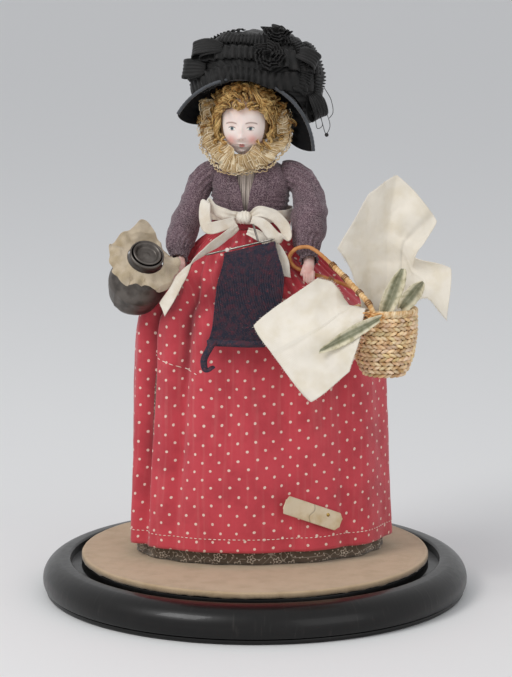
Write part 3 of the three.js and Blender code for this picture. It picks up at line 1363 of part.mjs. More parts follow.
// The card label on its pin
function buildTag(doll) {
  const at = rad(TAG_ANGLE);
  const { w, d } = skirtRow(TAG_HEIGHT);
  const out = V(Math.cos(at) / w, Math.sin(at) / d, 0);
  out.normalize().applyAxisAngle(V(0, 0, 1), SKIRT_TURN);
  const tag = aim(new THREE.Group(), out);
  tag.position.set(w * Math.cos(at), d * Math.sin(at), 0);
  tag.position.applyAxisAngle(V(0, 0, 1), SKIRT_TURN).addScaledVector(out, TAG_STANDOFF);
  tag.position.add(V(BODY_X + SKIRT_SHIFT_X, BODY_Y + SKIRT_SHIFT_Y, TAG_HEIGHT));
  const outline = new THREE.Shape([
    new THREE.Vector2(-TAG_LENGTH * 0.75, -TAG_WIDTH / 2 + 1.4),
    new THREE.Vector2(-TAG_LENGTH * 0.75 + 1.2, -TAG_WIDTH / 2),
    new THREE.Vector2(TAG_LENGTH * 0.25 - 2.2, -TAG_WIDTH / 2),
    new THREE.Vector2(TAG_LENGTH * 0.25, -TAG_WIDTH / 2 + 2.6),
    new THREE.Vector2(TAG_LENGTH * 0.25, TAG_WIDTH / 2 - 2.6),
    new THREE.Vector2(TAG_LENGTH * 0.25 - 2.2, TAG_WIDTH / 2),
    new THREE.Vector2(-TAG_LENGTH * 0.75 + 1.2, TAG_WIDTH / 2),
    new THREE.Vector2(-TAG_LENGTH * 0.75, TAG_WIDTH / 2 - 1.4),
  ]);
  const hole = new THREE.Path();
  hole.absarc(0, TAG_WIDTH * 0.2, PIN_RADIUS + GAP, 0, 2 * Math.PI);
  outline.holes.push(hole);
  const card = new THREE.ExtrudeGeometry(outline, {
    depth: TAG_THICKNESS,
    bevelEnabled: false,
    curveSegments: 4,
  });
  const turn = new THREE.Group();
  card.translate(0, -TAG_WIDTH * 0.2, 0);
  turn.rotation.z = rad(-22);
  piece(turn, "tag", card, CARD);
  tag.add(turn);
  const head = TAG_THICKNESS + GAP;
  const pin = joined(
    rod(PIN_RADIUS, V(0, 0, GAP - TAG_STANDOFF), V(0, 0, head + 0.4), 8),
    rod(PIN_RADIUS * 2.4, V(0, 0, head), V(0, 0, head + 0.6), 8),
  );
  piece(tag, "tag_pin", pin, BRASS);
  doll.add(tag);
}

function buildDoll() {
  const doll = new THREE.Group();
  doll.position.z = PAD_TOP;
  buildShoulderHead(doll);
  buildWig(doll);
  buildTorso(doll);
  buildLeg(doll, -1, "right");
  buildLeg(doll, 1, "left");
  buildSkirts(doll);
  buildBodice(doll);
  buildCan(buildArm(doll, "right"));
  buildBasket(buildArm(doll, "left"));
  buildFrill(doll);
  buildBonnet(doll);
  buildBow(doll);
  buildKnitting(doll);
  buildTag(doll);
  return doll;
}

const part = new THREE.Group();
part.add(buildStand(), buildDoll());

export default part;
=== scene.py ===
"""A bisque shoulder-head doll dressed as a market woman, on a round stand.

She carries a milk can, a basket with two napkins and leaves, and a piece of knitting. Shapes are worked out
in millimetres and become metres when a mesh is made. "Right" and "left" are the doll's own.
"""

import logging
import math
from dataclasses import dataclass
from enum import Enum
from itertools import product
from typing import Callable, Sequence

import bmesh
import bpy
import numpy as np
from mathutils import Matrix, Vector


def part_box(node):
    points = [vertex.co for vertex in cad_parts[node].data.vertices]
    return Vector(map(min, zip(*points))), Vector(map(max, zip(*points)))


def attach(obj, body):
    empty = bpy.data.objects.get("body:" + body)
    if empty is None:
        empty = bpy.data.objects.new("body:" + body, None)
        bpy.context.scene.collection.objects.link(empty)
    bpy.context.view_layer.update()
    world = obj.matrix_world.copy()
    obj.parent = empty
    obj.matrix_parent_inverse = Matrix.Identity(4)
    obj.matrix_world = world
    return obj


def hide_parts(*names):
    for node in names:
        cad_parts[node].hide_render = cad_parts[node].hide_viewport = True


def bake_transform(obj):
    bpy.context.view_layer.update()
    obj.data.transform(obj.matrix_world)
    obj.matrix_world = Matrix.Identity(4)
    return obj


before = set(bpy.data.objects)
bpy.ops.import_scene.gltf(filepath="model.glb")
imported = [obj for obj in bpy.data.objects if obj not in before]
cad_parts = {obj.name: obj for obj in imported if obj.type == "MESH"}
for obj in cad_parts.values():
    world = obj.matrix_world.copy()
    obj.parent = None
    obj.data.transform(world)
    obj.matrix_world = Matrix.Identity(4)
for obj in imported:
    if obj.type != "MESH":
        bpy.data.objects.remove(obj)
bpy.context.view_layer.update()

log = logging.getLogger("doll")
MM = 0.001
PAD_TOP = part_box("pad_cover")[1].z / MM
BODY_LINE = (-2.5, 2.0)
SHOULDER = (23.0, 213.0)
HEAD_MIDDLE = (-5.0, 1.0, 266.0)
Point = Sequence[float]
Place = tuple[float, float, float]
Socket = bpy.types.NodeSocket


# Numbers and curves


def unit(vectors: np.ndarray) -> np.ndarray:
    """Gives vectors the length 1."""
    return vectors / np.maximum(np.linalg.norm(vectors, axis=-1, keepdims=True), 1e-12)


def smooth(x: np.ndarray | float, low: float, high: float) -> np.ndarray:
    """Rises softly from 0 at low to 1 at high."""
    t = np.clip((np.asarray(x, float) - low) / (high - low), 0, 1)
    return t * t * (3 - 2 * t)


def bump(x: np.ndarray | float, middle: float, width: float) -> np.ndarray:
    """A bell of height 1 round the middle."""
    return np.exp(-(((np.asarray(x, float) - middle) / width) ** 2))


def around(angle: np.ndarray, middle: float) -> np.ndarray:
    """How far each angle in degrees is from the middle, from -180 to 180."""
    return (angle - middle + 180) % 360 - 180


def curve(points: Sequence[Point] | np.ndarray, count: int) -> np.ndarray:
    """Samples a smooth curve through points.

    Args:
        points: the points that the curve passes through.
        count: how many samples to take.

    Returns:
        The samples, from the first point to the last.
    """
    p = np.asarray(points, float)
    if len(p) == 2:
        return p[0] + row_steps(count) * (p[1] - p[0])
    held = np.vstack([2 * p[0] - p[1], p, 2 * p[-1] - p[-2]])
    t = np.linspace(0, len(p) - 1, count)
    i = np.minimum(t.astype(int), len(p) - 2)
    w = (t - i)[:, None]
    a, b, c, d = held[i], held[i + 1], held[i + 2], held[i + 3]
    gaps = [np.linalg.norm(q - o, axis=1, keepdims=True) for o, q in ((a, b), (b, c), (c, d))]
    ab, bc, cd = (np.sqrt(np.maximum(gap, 1e-9)) for gap in gaps)
    leave = ((b - a) / ab - (c - a) / (ab + bc) + (c - b) / bc) * bc
    arrive = ((c - b) / bc - (d - b) / (bc + cd) + (d - c) / cd) * bc
    cubic = 2 * b - 2 * c + leave + arrive
    square = 3 * c - 3 * b - 2 * leave - arrive
    return cubic * w**3 + square * w**2 + leave * w + b


def spaced(path: np.ndarray, count: int) -> np.ndarray:
    """Samples a path again at equal steps along its length."""
    far = np.concatenate([[0], np.cumsum(np.linalg.norm(np.diff(path, axis=0), axis=1))])
    at = np.linspace(0, far[-1], count)
    return np.stack([np.interp(at, far, path[:, k]) for k in range(path.shape[1])], 1)


def row_steps(count: int, low: float = 0, high: float = 1) -> np.ndarray:
    """Even steps for the rows of a surface."""
    return np.linspace(low, high, count)[:, None]


def column_steps(count: int, low: float = 0, high: float = 1) -> np.ndarray:
    """Even steps for the columns of a surface."""
    return np.linspace(low, high, count)[None, :]


def full_turn(count: int) -> np.ndarray:
    """Even angles once round, in radians."""
    return np.linspace(0, 2 * np.pi, count, endpoint=False)


def spread(*parts: np.ndarray | float) -> np.ndarray:
    """Points from their x, y and z, each given for rows, for columns or for all."""
    return np.stack(np.broadcast_arrays(*parts), -1)


def frame_of(up: np.ndarray, spin: float = 0.0) -> np.ndarray:
    """Three directions as rows: two across "up", turned by some degrees, and "up" itself.

    Args:
        up: the third direction.
        spin: how far the first two are turned, in degrees.

    Returns:
        The three directions as rows.
    """
    right = unit(np.cross((0, 0, 1), up))
    back = np.cross(up, right)
    a = math.radians(spin)
    c, s = math.cos(a), math.sin(a)
    return np.array([right * c + back * s, back * c - right * s, up])


def noise(points: np.ndarray, size: float, seed: int = 0) -> np.ndarray:
    """Smooth random values from -1 to 1.

    Args:
        points: where to take them, in millimetres, in the last axis.
        size: the width of a swell in millimetres.
        seed: a number that picks the pattern.

    Returns:
        One value for each point.
    """
    q = np.asarray(points, float) / size
    base = np.floor(q).astype(np.int64)
    f = q - base
    f = f * f * (3 - 2 * f)
    total = np.zeros(q.shape[:-1])
    for corner in product((0, 1), repeat=q.shape[-1]):
        mixed = np.full(q.shape[:-1], seed * 2654435761 + 97, np.int64)
        for axis, prime in zip(range(q.shape[-1]), (73856093, 19349663, 83492791)):
            mixed = mixed ^ ((base[..., axis] + corner[axis]) * prime)
        mixed = ((mixed ^ (mixed >> 13)) * 1274126177) & 0x7FFFFFFF
        weight = np.prod(np.where(np.array(corner) == 1, f, 1 - f), axis=-1)
        total += weight * (((mixed ^ (mixed >> 15)) & 0xFFFF) / 32767.5 - 1)
    return total


def shaken(points: np.ndarray, size: float, seed: int) -> np.ndarray:
    """Smooth random steps in all three directions."""
    return np.stack([noise(points, size, seed + k) for k in range(3)], -1)


def crumple(points: np.ndarray, size: float, seed: int = 0) -> np.ndarray:
    """Creases of cloth, from -1 in a valley to 1 on a ridge, in swells of the size given and smaller ones."""
    ridges = 1 - 2 * np.abs(noise(points, size, seed))
    return 0.6 * ridges + 0.4 * noise(points, size * 0.45, seed + 1)


# Meshes


class Shape:
    """Points and faces in millimetres, gathered until they become one mesh."""

    def __init__(self) -> None:
        """Starts empty."""
        self.points: list[np.ndarray] = []
        self.tints: list[np.ndarray] = []
        self.quads: list[np.ndarray] = []
        self.quad_uvs: list[np.ndarray] = []
        self.fans: list[np.ndarray] = []
        self.fan_uvs: list[np.ndarray] = []
        self.threads: dict[int, list[tuple[np.ndarray, np.ndarray, np.ndarray]]] = {}
        self.count = 0

    def put(self, points: np.ndarray, tint: np.ndarray) -> int:
        """Adds points and the colour of each, and gives the number of the first one.

        Args:
            points: the points.
            tint: the colour of each.

        Returns:
            The number of the first point.
        """
        self.points.append(points)
        self.tints.append(np.asarray(tint, float))
        self.count += len(points)
        return self.count - len(points)

    def grid(
        self,
        points: np.ndarray,
        wrap: bool = False,
        caps: bool = False,
        tint: np.ndarray | Point | None = None,
        uv: np.ndarray | None = None,
    ) -> "Shape":
        """Adds a surface of rows and columns. Its faces look to the right of the rows' direction.

        Args:
            points: an array of rows, columns and x, y, z.
            wrap: True where the last column joins the first.
            caps: True where the first and last rows are closed with a fan.
            tint: a colour for all, or for each point, row or column.
            uv: a place on the cloth for each row and column, in metres, with one more column where it wraps.

        Returns:
            The shape itself.
        """
        rows, columns = points.shape[:2]
        dye_and_shade = np.broadcast_to((1.0, 1.0, 1.0) if tint is None else tint, points.shape)
        first = self.put(points.reshape(-1, 3), dye_and_shade.reshape(-1, 3))
        index = first + np.arange(rows * columns).reshape(rows, columns)
        joined = np.concatenate([index, index[:, :1]], 1) if wrap else index
        place = cloth_place(points, wrap) if uv is None else uv
        self.quads.append(corners(joined).reshape(-1, 4))
        self.quad_uvs.append(corners(place).reshape(-1, 4, 2))
        if caps:
            for row, turn in ((0, -1), (rows - 1, 1)):
                ring = joined[row]
                middle = self.put(points[row].mean(0, keepdims=True), self.tints[-1][:1])
                sides = np.stack([np.full(len(ring) - 1, middle), ring[:-1], ring[1:]], 1)
                self.fans.append(sides if turn > 0 else sides[:, [0, 2, 1]])
                self.fan_uvs.append(np.zeros((len(sides), 3, 2)) + place[row, 0])
        return self

    def thread(
        self,
        lines: Sequence[np.ndarray] | np.ndarray,
        radius: np.ndarray | float,
        sides: int,
        tint: np.ndarray | Sequence[Point] | Point = (1, 1, 1),
    ) -> None:
        """Adds round threads.

        Args:
            lines: the threads' lines, all of as many points.
            radius: a radius for each point, or one for all.
            sides: how many faces lie round a thread.
            tint: a colour for each thread, or one for all.
        """
        lines = np.asarray(lines, float)
        self.threads.setdefault(sides, []).append((lines, radius, np.broadcast_to(tint, (len(lines), 3))))

    def spin(self) -> None:
        """Turns the gathered threads into tubes."""
        tree = bpy.data.node_groups.get("threads") or thread_tree()
        for sides, parts in self.threads.items():
            points = np.concatenate([lines.reshape(-1, 3) for lines, _, _ in parts])
            radius = np.concatenate([np.broadcast_to(r, lines.shape[:2]).ravel() for lines, r, _ in parts])
            tints = np.concatenate([np.repeat(tint, lines.shape[1], 0) for lines, _, tint in parts])
            edges, first = [], 0
            for lines, _, _ in parts:
                index = first + np.arange(lines[..., 0].size).reshape(lines.shape[:2])
                edges.append(np.stack([index[:, :-1], index[:, 1:]], -1).reshape(-1, 2))
                first += index.size
            made = grown(tree, "threads", points, np.concatenate(edges), {"Sides": sides}, radius * MM, tints)
            self.take(made)

    def take(self, made: bpy.types.Mesh) -> None:
        """Adds the faces and tints of a mesh, and drops the mesh.

        Args:
            made: the mesh, dropped here.
        """
        place = np.empty(len(made.vertices) * 3, np.float32)
        made.vertices.foreach_get("co", place)
        tint = np.empty(len(made.vertices) * 4, np.float32)
        made.attributes["tint"].data.foreach_get("color", tint)
        first = self.put(place.reshape(-1, 3) / MM, tint.reshape(-1, 4)[:, :3])
        index, start, size = (np.empty(n, np.int32) for n in (len(made.loops), *[len(made.polygons)] * 2))
        made.loops.foreach_get("vertex_index", index)
        made.polygons.foreach_get("loop_start", start)
        made.polygons.foreach_get("loop_total", size)
        for corner in np.unique(size):
            faces = index[start[size == corner][:, None] + np.arange(corner)]
            self.quads.append(first + faces)
            self.quad_uvs.append(np.zeros((len(faces), corner, 2)))
        bpy.data.meshes.remove(made)

    def mesh(self, name: str, finish: "Finish | None", sharp: float | None = None) -> bpy.types.Object:
        """Makes the object.

        Args:
            name: the piece's name.
            finish: its finish, or None for one that is painted later.
            sharp: the angle in degrees past which an edge stays sharp, or None for a smooth piece.

        Returns:
            The new object, at the origin.
        """
        self.spin()
        data = bpy.data.meshes.new(name)
        faces = self.quads + self.fans
        uvs = self.quad_uvs + self.fan_uvs
        loops = np.concatenate([f.ravel() for f in faces])
        sizes = np.concatenate([np.full(len(f), f.shape[1]) for f in faces])
        data.vertices.add(self.count)
        data.vertices.foreach_set("co", (np.concatenate(self.points) * MM).astype(np.float32).ravel())
        data.loops.add(len(loops))
        data.polygons.add(len(sizes))
        data.loops.foreach_set("vertex_index", loops.astype(np.int32))
        data.polygons.foreach_set("loop_start", np.concatenate([[0], np.cumsum(sizes)[:-1]]).astype(np.int32))
        layer = data.uv_layers.new(name="cloth")
        layer.data.foreach_set(
            "uv", np.concatenate([u.reshape(-1, 2) for u in uvs]).astype(np.float32).ravel()
        )
        tint = data.attributes.new("tint", "FLOAT_COLOR", "POINT")
        colour = np.concatenate(self.tints)
        tint.data.foreach_set(
            "color", np.column_stack([colour, np.ones(len(colour))]).astype(np.float32).ravel()
        )
        data.update(calc_edges=True)
        data.validate()
        welded(data)
        data.shade_smooth()
        if sharp is not None:
            data.set_sharp_from_angle(angle=math.radians(sharp))
        if finish:
            data.materials.append(finish.material())
        return shown(name, data)


def welded(data: bpy.types.Mesh) -> None:
    """Joins the points that meet at a pole.

    Args:
        data: the mesh.
    """
    work = bmesh.new()
    work.from_mesh(data)
    ends = [edge for edge in work.edges if edge.calc_length() < 1e-8]
    if ends:
        bmesh.ops.remove_doubles(work, verts=list({v for edge in ends for v in edge.verts}), dist=1e-7)
        work.to_mesh(data)
    work.free()


def corners(values: np.ndarray) -> np.ndarray:
    """The four corners of each cell of a grid."""
    return np.stack([values[:-1, :-1], values[:-1, 1:], values[1:, 1:], values[1:, :-1]], 2)


def cloth_place(points: np.ndarray, wrap: bool) -> np.ndarray:
    """Where each point of a grid lies on its flat cloth, in metres.

    Args:
        points: rows, columns and x, y, z in millimetres.
        wrap: True where the last column joins the first.

    Returns:
        Rows, columns and two lengths: along the rows and along the columns.
    """
    closed = np.concatenate([points, points[:, :1]], 1) if wrap else points
    across = np.linalg.norm(np.diff(closed, axis=1), axis=2).mean(0)
    along = np.linalg.norm(np.diff(closed, axis=0), axis=2).mean(1)
    u = np.concatenate([[0], np.cumsum(across)])
    v = np.concatenate([[0], np.cumsum(along)])
    return np.stack(np.meshgrid(u, v), -1) * MM


def shown(name: str, data: bpy.types.ID) -> bpy.types.Object:
    """Puts data in the scene under a name."""
    made = bpy.data.objects.new(name, data)
    bpy.context.scene.collection.objects.link(made)
    return made


def across_path(path: np.ndarray, wide: np.ndarray | Point) -> tuple[np.ndarray, np.ndarray, np.ndarray]:
    """The directions along a path, across it and out of it.

    Args:
        path: points of the path.
        wide: the direction across, one for all or one for each point.

    Returns:
        Three arrays of directions: along, wide and deep.
    """
    along = unit(np.gradient(path, axis=0))
    side = np.broadcast_to(np.asarray(wide, float), path.shape)
    side = unit(side - along * np.sum(side * along, axis=1, keepdims=True))
    return along, side, np.cross(along, side)


def tube_rings(
    path: np.ndarray,
    radius: np.ndarray | float,
    sides: int,
    wide: np.ndarray | Point = (1, 0, 0.02),
    flat: float = 1.0,
    wave: Callable[[np.ndarray, np.ndarray], np.ndarray] | None = None,
) -> np.ndarray:
    """Rings round a path.

    Args:
        path: points of the path.
        radius: a radius for each point, or one for all.
        sides: how many points a ring has.
        wide: the direction of a ring's first point.
        flat: the depth as a share of the width.
        wave: what to add to the radius, from the share of the way and the angle.

    Returns:
        Rows, columns and x, y, z.
    """
    _, side, deep = across_path(path, wide)
    angle = full_turn(sides)[None, :]
    r = np.broadcast_to(radius, (len(path),))[:, None] + np.zeros((1, sides))
    if wave is not None:
        r = r + wave(row_steps(len(path)), angle)
    turn = side[:, None] * np.cos(angle)[..., None] + deep[:, None] * np.sin(angle)[..., None] * flat
    return path[:, None] + r[..., None] * turn


def ball_rings(radius: float, middle: np.ndarray | Point, rows: int = 14, sides: int = 20) -> np.ndarray:
    """Rings of a ball round its middle."""
    high = row_steps(rows, -0.98, 0.98)
    ring, a = np.sqrt(1 - high**2), full_turn(sides)
    return spread(ring * np.cos(a), ring * np.sin(a), high) * radius + middle


def strap_rows(
    path: np.ndarray,
    wide: np.ndarray | Point,
    width: float,
    columns: int,
    cup: float = 0,
) -> np.ndarray:
    """A ribbon's surface along a path.

    Args:
        path: points of the path.
        wide: the direction across the ribbon.
        width: the ribbon's width.
        columns: how many points lie across it.
        cup: how far its edges curl out of it.

    Returns:
        Rows, columns and x, y, z.
    """
    _, side, deep = across_path(path, wide)
    share = np.linspace(-0.5, 0.5, columns)[None, :, None]
    return path[:, None] + side[:, None] * share * width + deep[:, None] * cup * (4 * share**2)


def thickened(piece: bpy.types.Object, thickness: float, offset: float = 0) -> bpy.types.Object:
    """Gives a surface its thickness in millimetres, as a plain mesh.

    Args:
        piece: the piece.
        thickness: the thickness.
        offset: -1 to grow inwards, 0 to grow both ways.

    Returns:
        The piece, as a plain mesh.
    """
    wall = piece.modifiers.new("wall", "SOLIDIFY")
    wall.thickness = thickness * MM
    wall.offset = offset
    wall.use_quality_normals = True
    return settled(piece)


def sewn(
    name: str,
    points: np.ndarray,
    finish: "Finish",
    thickness: float,
    offset: float = 0,
    **looks: object,
) -> bpy.types.Object:
    """A cloth, a ribbon or a leaf from a surface of points.

    Args:
        name: the piece's name.
        points: rows, columns and x, y, z in millimetres.
        finish: its finish.
        thickness: its thickness in millimetres.
        offset: -1 where it grows inwards from the points, 0 where it grows both ways.
        looks: what else the surface is given, as for Shape.grid.

    Returns:
        The piece.
    """
    return thickened(Shape().grid(points, **looks).mesh(name, finish), thickness, offset)


def settled(piece: bpy.types.Object) -> bpy.types.Object:
    """Turns a piece with modifiers into a plain mesh.

    Args:
        piece: the piece.

    Returns:
        The piece.
    """
    bpy.context.view_layer.update()
    done = bpy.data.meshes.new_from_object(piece.evaluated_get(bpy.context.evaluated_depsgraph_get()))
    old = piece.data
    piece.modifiers.clear()
    piece.data = done
    done.name = piece.name
    bpy.data.meshes.remove(old)
    return piece


def fused(piece: bpy.types.Object, voxel: float, soften: int) -> bpy.types.Object:
    """Melts a piece's overlapping parts into one skin.

    Args:
        piece: the piece.
        voxel: the size of the finest detail in millimetres.
        soften: how many times its corners are smoothed.

    Returns:
        The piece, as a plain mesh.
    """
    melt = piece.modifiers.new("melt", "REMESH")
    melt.mode = "VOXEL"
    melt.voxel_size = voxel * MM
    melt.use_smooth_shade = True
    ease = piece.modifiers.new("ease", "SMOOTH")
    ease.iterations = soften
    return settled(piece)


def repaint(data: bpy.types.Mesh, finish: "Finish") -> None:
    """Gives a mesh a single finish."""
    data.materials.clear()
    data.materials.append(finish.material())


def repaint_node(node: str, finish: "Finish") -> None:
    """Gives a carried-over solid its finish."""
    repaint(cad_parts[node].data, finish)


def rounded(node: str, finish: "Finish") -> bpy.types.Object:
    """A smooth cloth copy of a node's solid, for a piece that other pieces cover.

    Args:
        node: the solid that it stands for.
        finish: its finish.

    Returns:
        The new piece.
    """
    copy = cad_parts[node].data.copy()
    repaint(copy, finish)
    made = shown(f"{node}_cloth", copy)
    weld = made.modifiers.new("weld", "WELD")
    weld.merge_threshold = 1e-5
    crease = made.modifiers.new("round", "SUBSURF")
    crease.levels = crease.render_levels = 1
    settled(made).data.shade_smooth()
    return made


def dress(piece: bpy.types.Object, body: str, slot: str, *nodes: str) -> bpy.types.Object:
    """Fixes a finished piece to its body.

    Args:
        piece: the piece, in place.
        body: the body that it moves with.
        slot: the record's slot of its finish; not used.
        nodes: the solids that it stands for.

    Returns:
        The piece.
    """
    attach(piece, body)
    if nodes:
        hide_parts(*nodes)
    log.info("%s: %d faces on %s", piece.name, len(piece.data.polygons), body)
    return piece


# Finishes


def linear(code: str) -> tuple[float, float, float, float]:
    """Turns a screen colour such as "D9505A" into the renderer's numbers."""
    parts = [int(code[i : i + 2], 16) / 255 for i in (0, 2, 4)]
    return tuple(c / 12.92 if c <= 0.04045 else ((c + 0.055) / 1.055) ** 2.4 for c in parts) + (1.0,)


def rgb(code: str) -> np.ndarray:
    """A screen colour's red, green and blue as the renderer's numbers."""
    return np.array(linear(code)[:3])


def grey(light: np.ndarray) -> np.ndarray:
    """A grey tint for each value."""
    return light[..., None] * np.ones(3)


class Value:
    """A number, a vector or a colour in a node tree, ready to reckon with."""

    def __init__(self, web: "Web", socket: Socket) -> None:
        """Keeps its tree and the socket that it comes out of."""
        self.web = web
        self.socket = socket

    def __add__(self, other: "Value | float") -> "Value":
        """The sum."""
        return self.web.math("ADD", self, other)

    def __sub__(self, other: "Value | float") -> "Value":
        """The difference."""
        return self.web.math("SUBTRACT", self, other)

    def __mul__(self, other: "Value | float") -> "Value":
        """The product."""
        return self.web.math("MULTIPLY", self, other)

    def __truediv__(self, other: "Value | float") -> "Value":
        """The quotient."""
        return self.web.math("DIVIDE", self, other)

    def __abs__(self) -> "Value":
        """The size without its sign."""
        return self.web.math("ABSOLUTE", self)


class Web:
    """A node tree that is being built."""

    def __init__(self, tree: bpy.types.NodeTree) -> None:
        """Takes a tree and empties it."""
        self.tree = tree
        tree.nodes.clear()

    def add(self, kind: str, inputs: dict | None = None, **settings: object) -> bpy.types.Node:
        """Adds a node.

        Args:
            kind: the node's type.
            inputs: what each of its sockets, by name or number, is given.
            settings: the node's own choices.

        Returns:
            The node.
        """
        node = self.tree.nodes.new(kind)
        for key, value in settings.items():
            setattr(node, key, value)
        for key, value in (inputs or {}).items():
            self.feed(node.inputs[key], value)
        return node

    def feed(self, socket: Socket, value: object) -> None:
        """Links a value to a socket, or sets a constant on it.

        Args:
            socket: the socket.
            value: the value or the constant.
        """
        if isinstance(value, Value):
            self.tree.links.new(value.socket, socket)
        else:
            socket.default_value = value

    def out(self, node: bpy.types.Node, name: str | int = 0) -> Value:
        """The value that comes out of a node."""
        return Value(self, node.outputs[name])

    def math(self, how: str, *values: Value | float) -> Value:
        """Reckons with numbers."""
        return self.out(self.add("ShaderNodeMath", dict(enumerate(values)), operation=how))

    def turn(self, how: str, *values: Value | Point) -> Value:
        """Reckons with vectors."""
        return self.out(self.add("ShaderNodeVectorMath", dict(enumerate(values)), operation=how))

    def scaled(self, place: Value, size: float | Value) -> Value:
        """A place counted in steps of a size in millimetres.

        Args:
            place: the place.
            size: the size.

        Returns:
            The place in steps.
        """
        if isinstance(size, Value):
            share = self.math("DIVIDE", 1 / MM, size)
        else:
            share = 1 / (MM * size)
        node = self.add("ShaderNodeVectorMath", {0: place, "Scale": share}, operation="SCALE")
        return self.out(node)

    def axes(self, place: Value) -> tuple[Value, Value, Value]:
        """The three parts of a vector."""
        node = self.add("ShaderNodeSeparateXYZ", {0: place})
        return self.out(node, 0), self.out(node, 1), self.out(node, 2)

    def cloud(self, place: Value, size: float | Value, detail: float = 2.0) -> Value:
        """Smooth random values between 0 and 1.

        Args:
            place: where.
            size: the width of a swell in millimetres.
            detail: how many finer swells are added.

        Returns:
            The values.
        """
        fields = {"Vector": self.scaled(place, size), "Scale": 1.0, "Detail": detail}
        return self.out(self.add("ShaderNodeTexNoise", fields))

    def step(self, value: Value, low: float, high: float) -> Value:
        """Rises softly from 0 at low to 1 at high, or falls where high is the lower one."""
        fields = {"Value": value, "From Min": low, "From Max": high}
        return self.out(self.add("ShaderNodeMapRange", fields, interpolation_type="SMOOTHSTEP"))

    def mix(self, share: Value | float, a: object, b: object, blend: str = "MIX") -> Value:
        """A colour between a and b, or what another way of blending them gives.

        Args:
            share: the share of b.
            a: the first colour.
            b: the second colour.
            blend: the way of blending.

        Returns:
            The mixed colour.
        """
        node = self.add("ShaderNodeMix", data_type="RGBA", blend_type=blend)
        for name, value in (("Factor_Float", share), ("A_Color", a), ("B_Color", b)):
            self.feed(next(s for s in node.inputs if s.identifier == name), value)
        return self.out(node, 2)

    def group(self, tree: bpy.types.NodeTree, **inputs: object) -> bpy.types.Node:
        """Adds a shared effect and gives it its inputs."""
        return self.add(
            "ShaderNodeGroup", {k.replace("_", " "): v for k, v in inputs.items()}, node_tree=tree
        )


def effect(
    name: str,
    inputs: dict[str, str],
    outputs: dict[str, str],
    kind: str = "ShaderNodeTree",
) -> tuple[Web, bpy.types.Node, bpy.types.Node]:
    """Starts a shared tree, such as an effect of several materials.

    Args:
        name: its name.
        inputs: the kind of each input socket.
        outputs: the kind of each output socket.
        kind: the kind of tree.

    Returns:
        Its tree, its input node and its output node.
    """
    tree = bpy.data.node_groups.new(name, kind)
    for fields, way in ((inputs, "INPUT"), (outputs, "OUTPUT")):
        for label, socket in fields.items():
            tree.interface.new_socket(label, in_out=way, socket_type=f"NodeSocket{socket}")
    web = Web(tree)
    return web, web.add("NodeGroupInput"), web.add("NodeGroupOutput")


def make_ageing() -> bpy.types.NodeTree:
    """The shared effect of age: a colour that wanders into a second one, with small dull spots.

    Returns:
        The effect's tree.
    """
    kinds = {"Place": "Vector", "Colour": "Color", "Shade": "Color", "Patch": "Float"}
    web, given, result = effect("ageing", kinds, {"Colour": "Color"})
    place, colour, shade, patch = (web.out(given, n) for n in ("Place", "Colour", "Shade", "Patch"))
    share = web.step(web.cloud(place, patch, 5.0), 0.38, 0.72)
    speck = web.step(web.cloud(place, 1.1, 2.0), 0.66, 0.8) * 0.35
    web.feed(result.inputs["Colour"], web.mix(web.math("MAXIMUM", share, speck), colour, shade))
    return web.tree


def make_weave() -> bpy.types.NodeTree:
    """The shared effect of woven threads: their height, and painted shade in the gaps between them.

    Returns:
        The effect's tree.
    """
    web, given, result = effect(
        "weave", {"Place": "Vector", "Pitch": "Float"}, {"Height": "Float", "Gap": "Float"}
    )
    across, along, _ = web.axes(web.scaled(web.out(given, "Place"), web.out(given, "Pitch")))
    wander = web.cloud(web.out(given, "Place"), 2.2, 3.0)
    warp = web.math("SINE", (across + wander * 0.8) * (2 * math.pi))
    weft = web.math("SINE", (along + wander * 0.8) * (2 * math.pi))
    height = web.math("MAXIMUM", warp, weft)
    web.feed(result.inputs["Height"], height * 0.5 + wander * 0.6)
    web.feed(result.inputs["Gap"], web.step(height, 0.2, -0.5))
    return web.tree


AGEING = make_ageing()
WEAVE = make_weave()


# Growing threads and stitches


def grower(name: str, inputs: dict[str, str], output: str) -> tuple[Web, bpy.types.Node, bpy.types.Node]:
    """Starts a tree that makes shapes along lines.

    Args:
        name: the tree's name.
        inputs: the kind of each input by its name.
        output: the output's name.

    Returns:
        The tree's web, its input node and its output node.
    """
    web, given, result = effect(name, inputs, {output: "Geometry"}, "GeometryNodeTree")
    web.tree.is_modifier = True
    return web, given, result


def finished(web: Web, made: Value, given: bpy.types.Node, result: bpy.types.Node) -> None:
    """Ends such a tree: real faces, with their material.

    Args:
        web: the tree.
        made: what the tree made.
        given: the tree's inputs.
        result: the tree's outputs.
    """
    real = web.add("GeometryNodeRealizeInstances", {"Geometry": made})
    dyed = web.add(
        "GeometryNodeSetMaterial", {"Geometry": web.out(real), "Material": web.out(given, "Thread")}
    )
    web.feed(result.inputs[0], web.out(dyed))


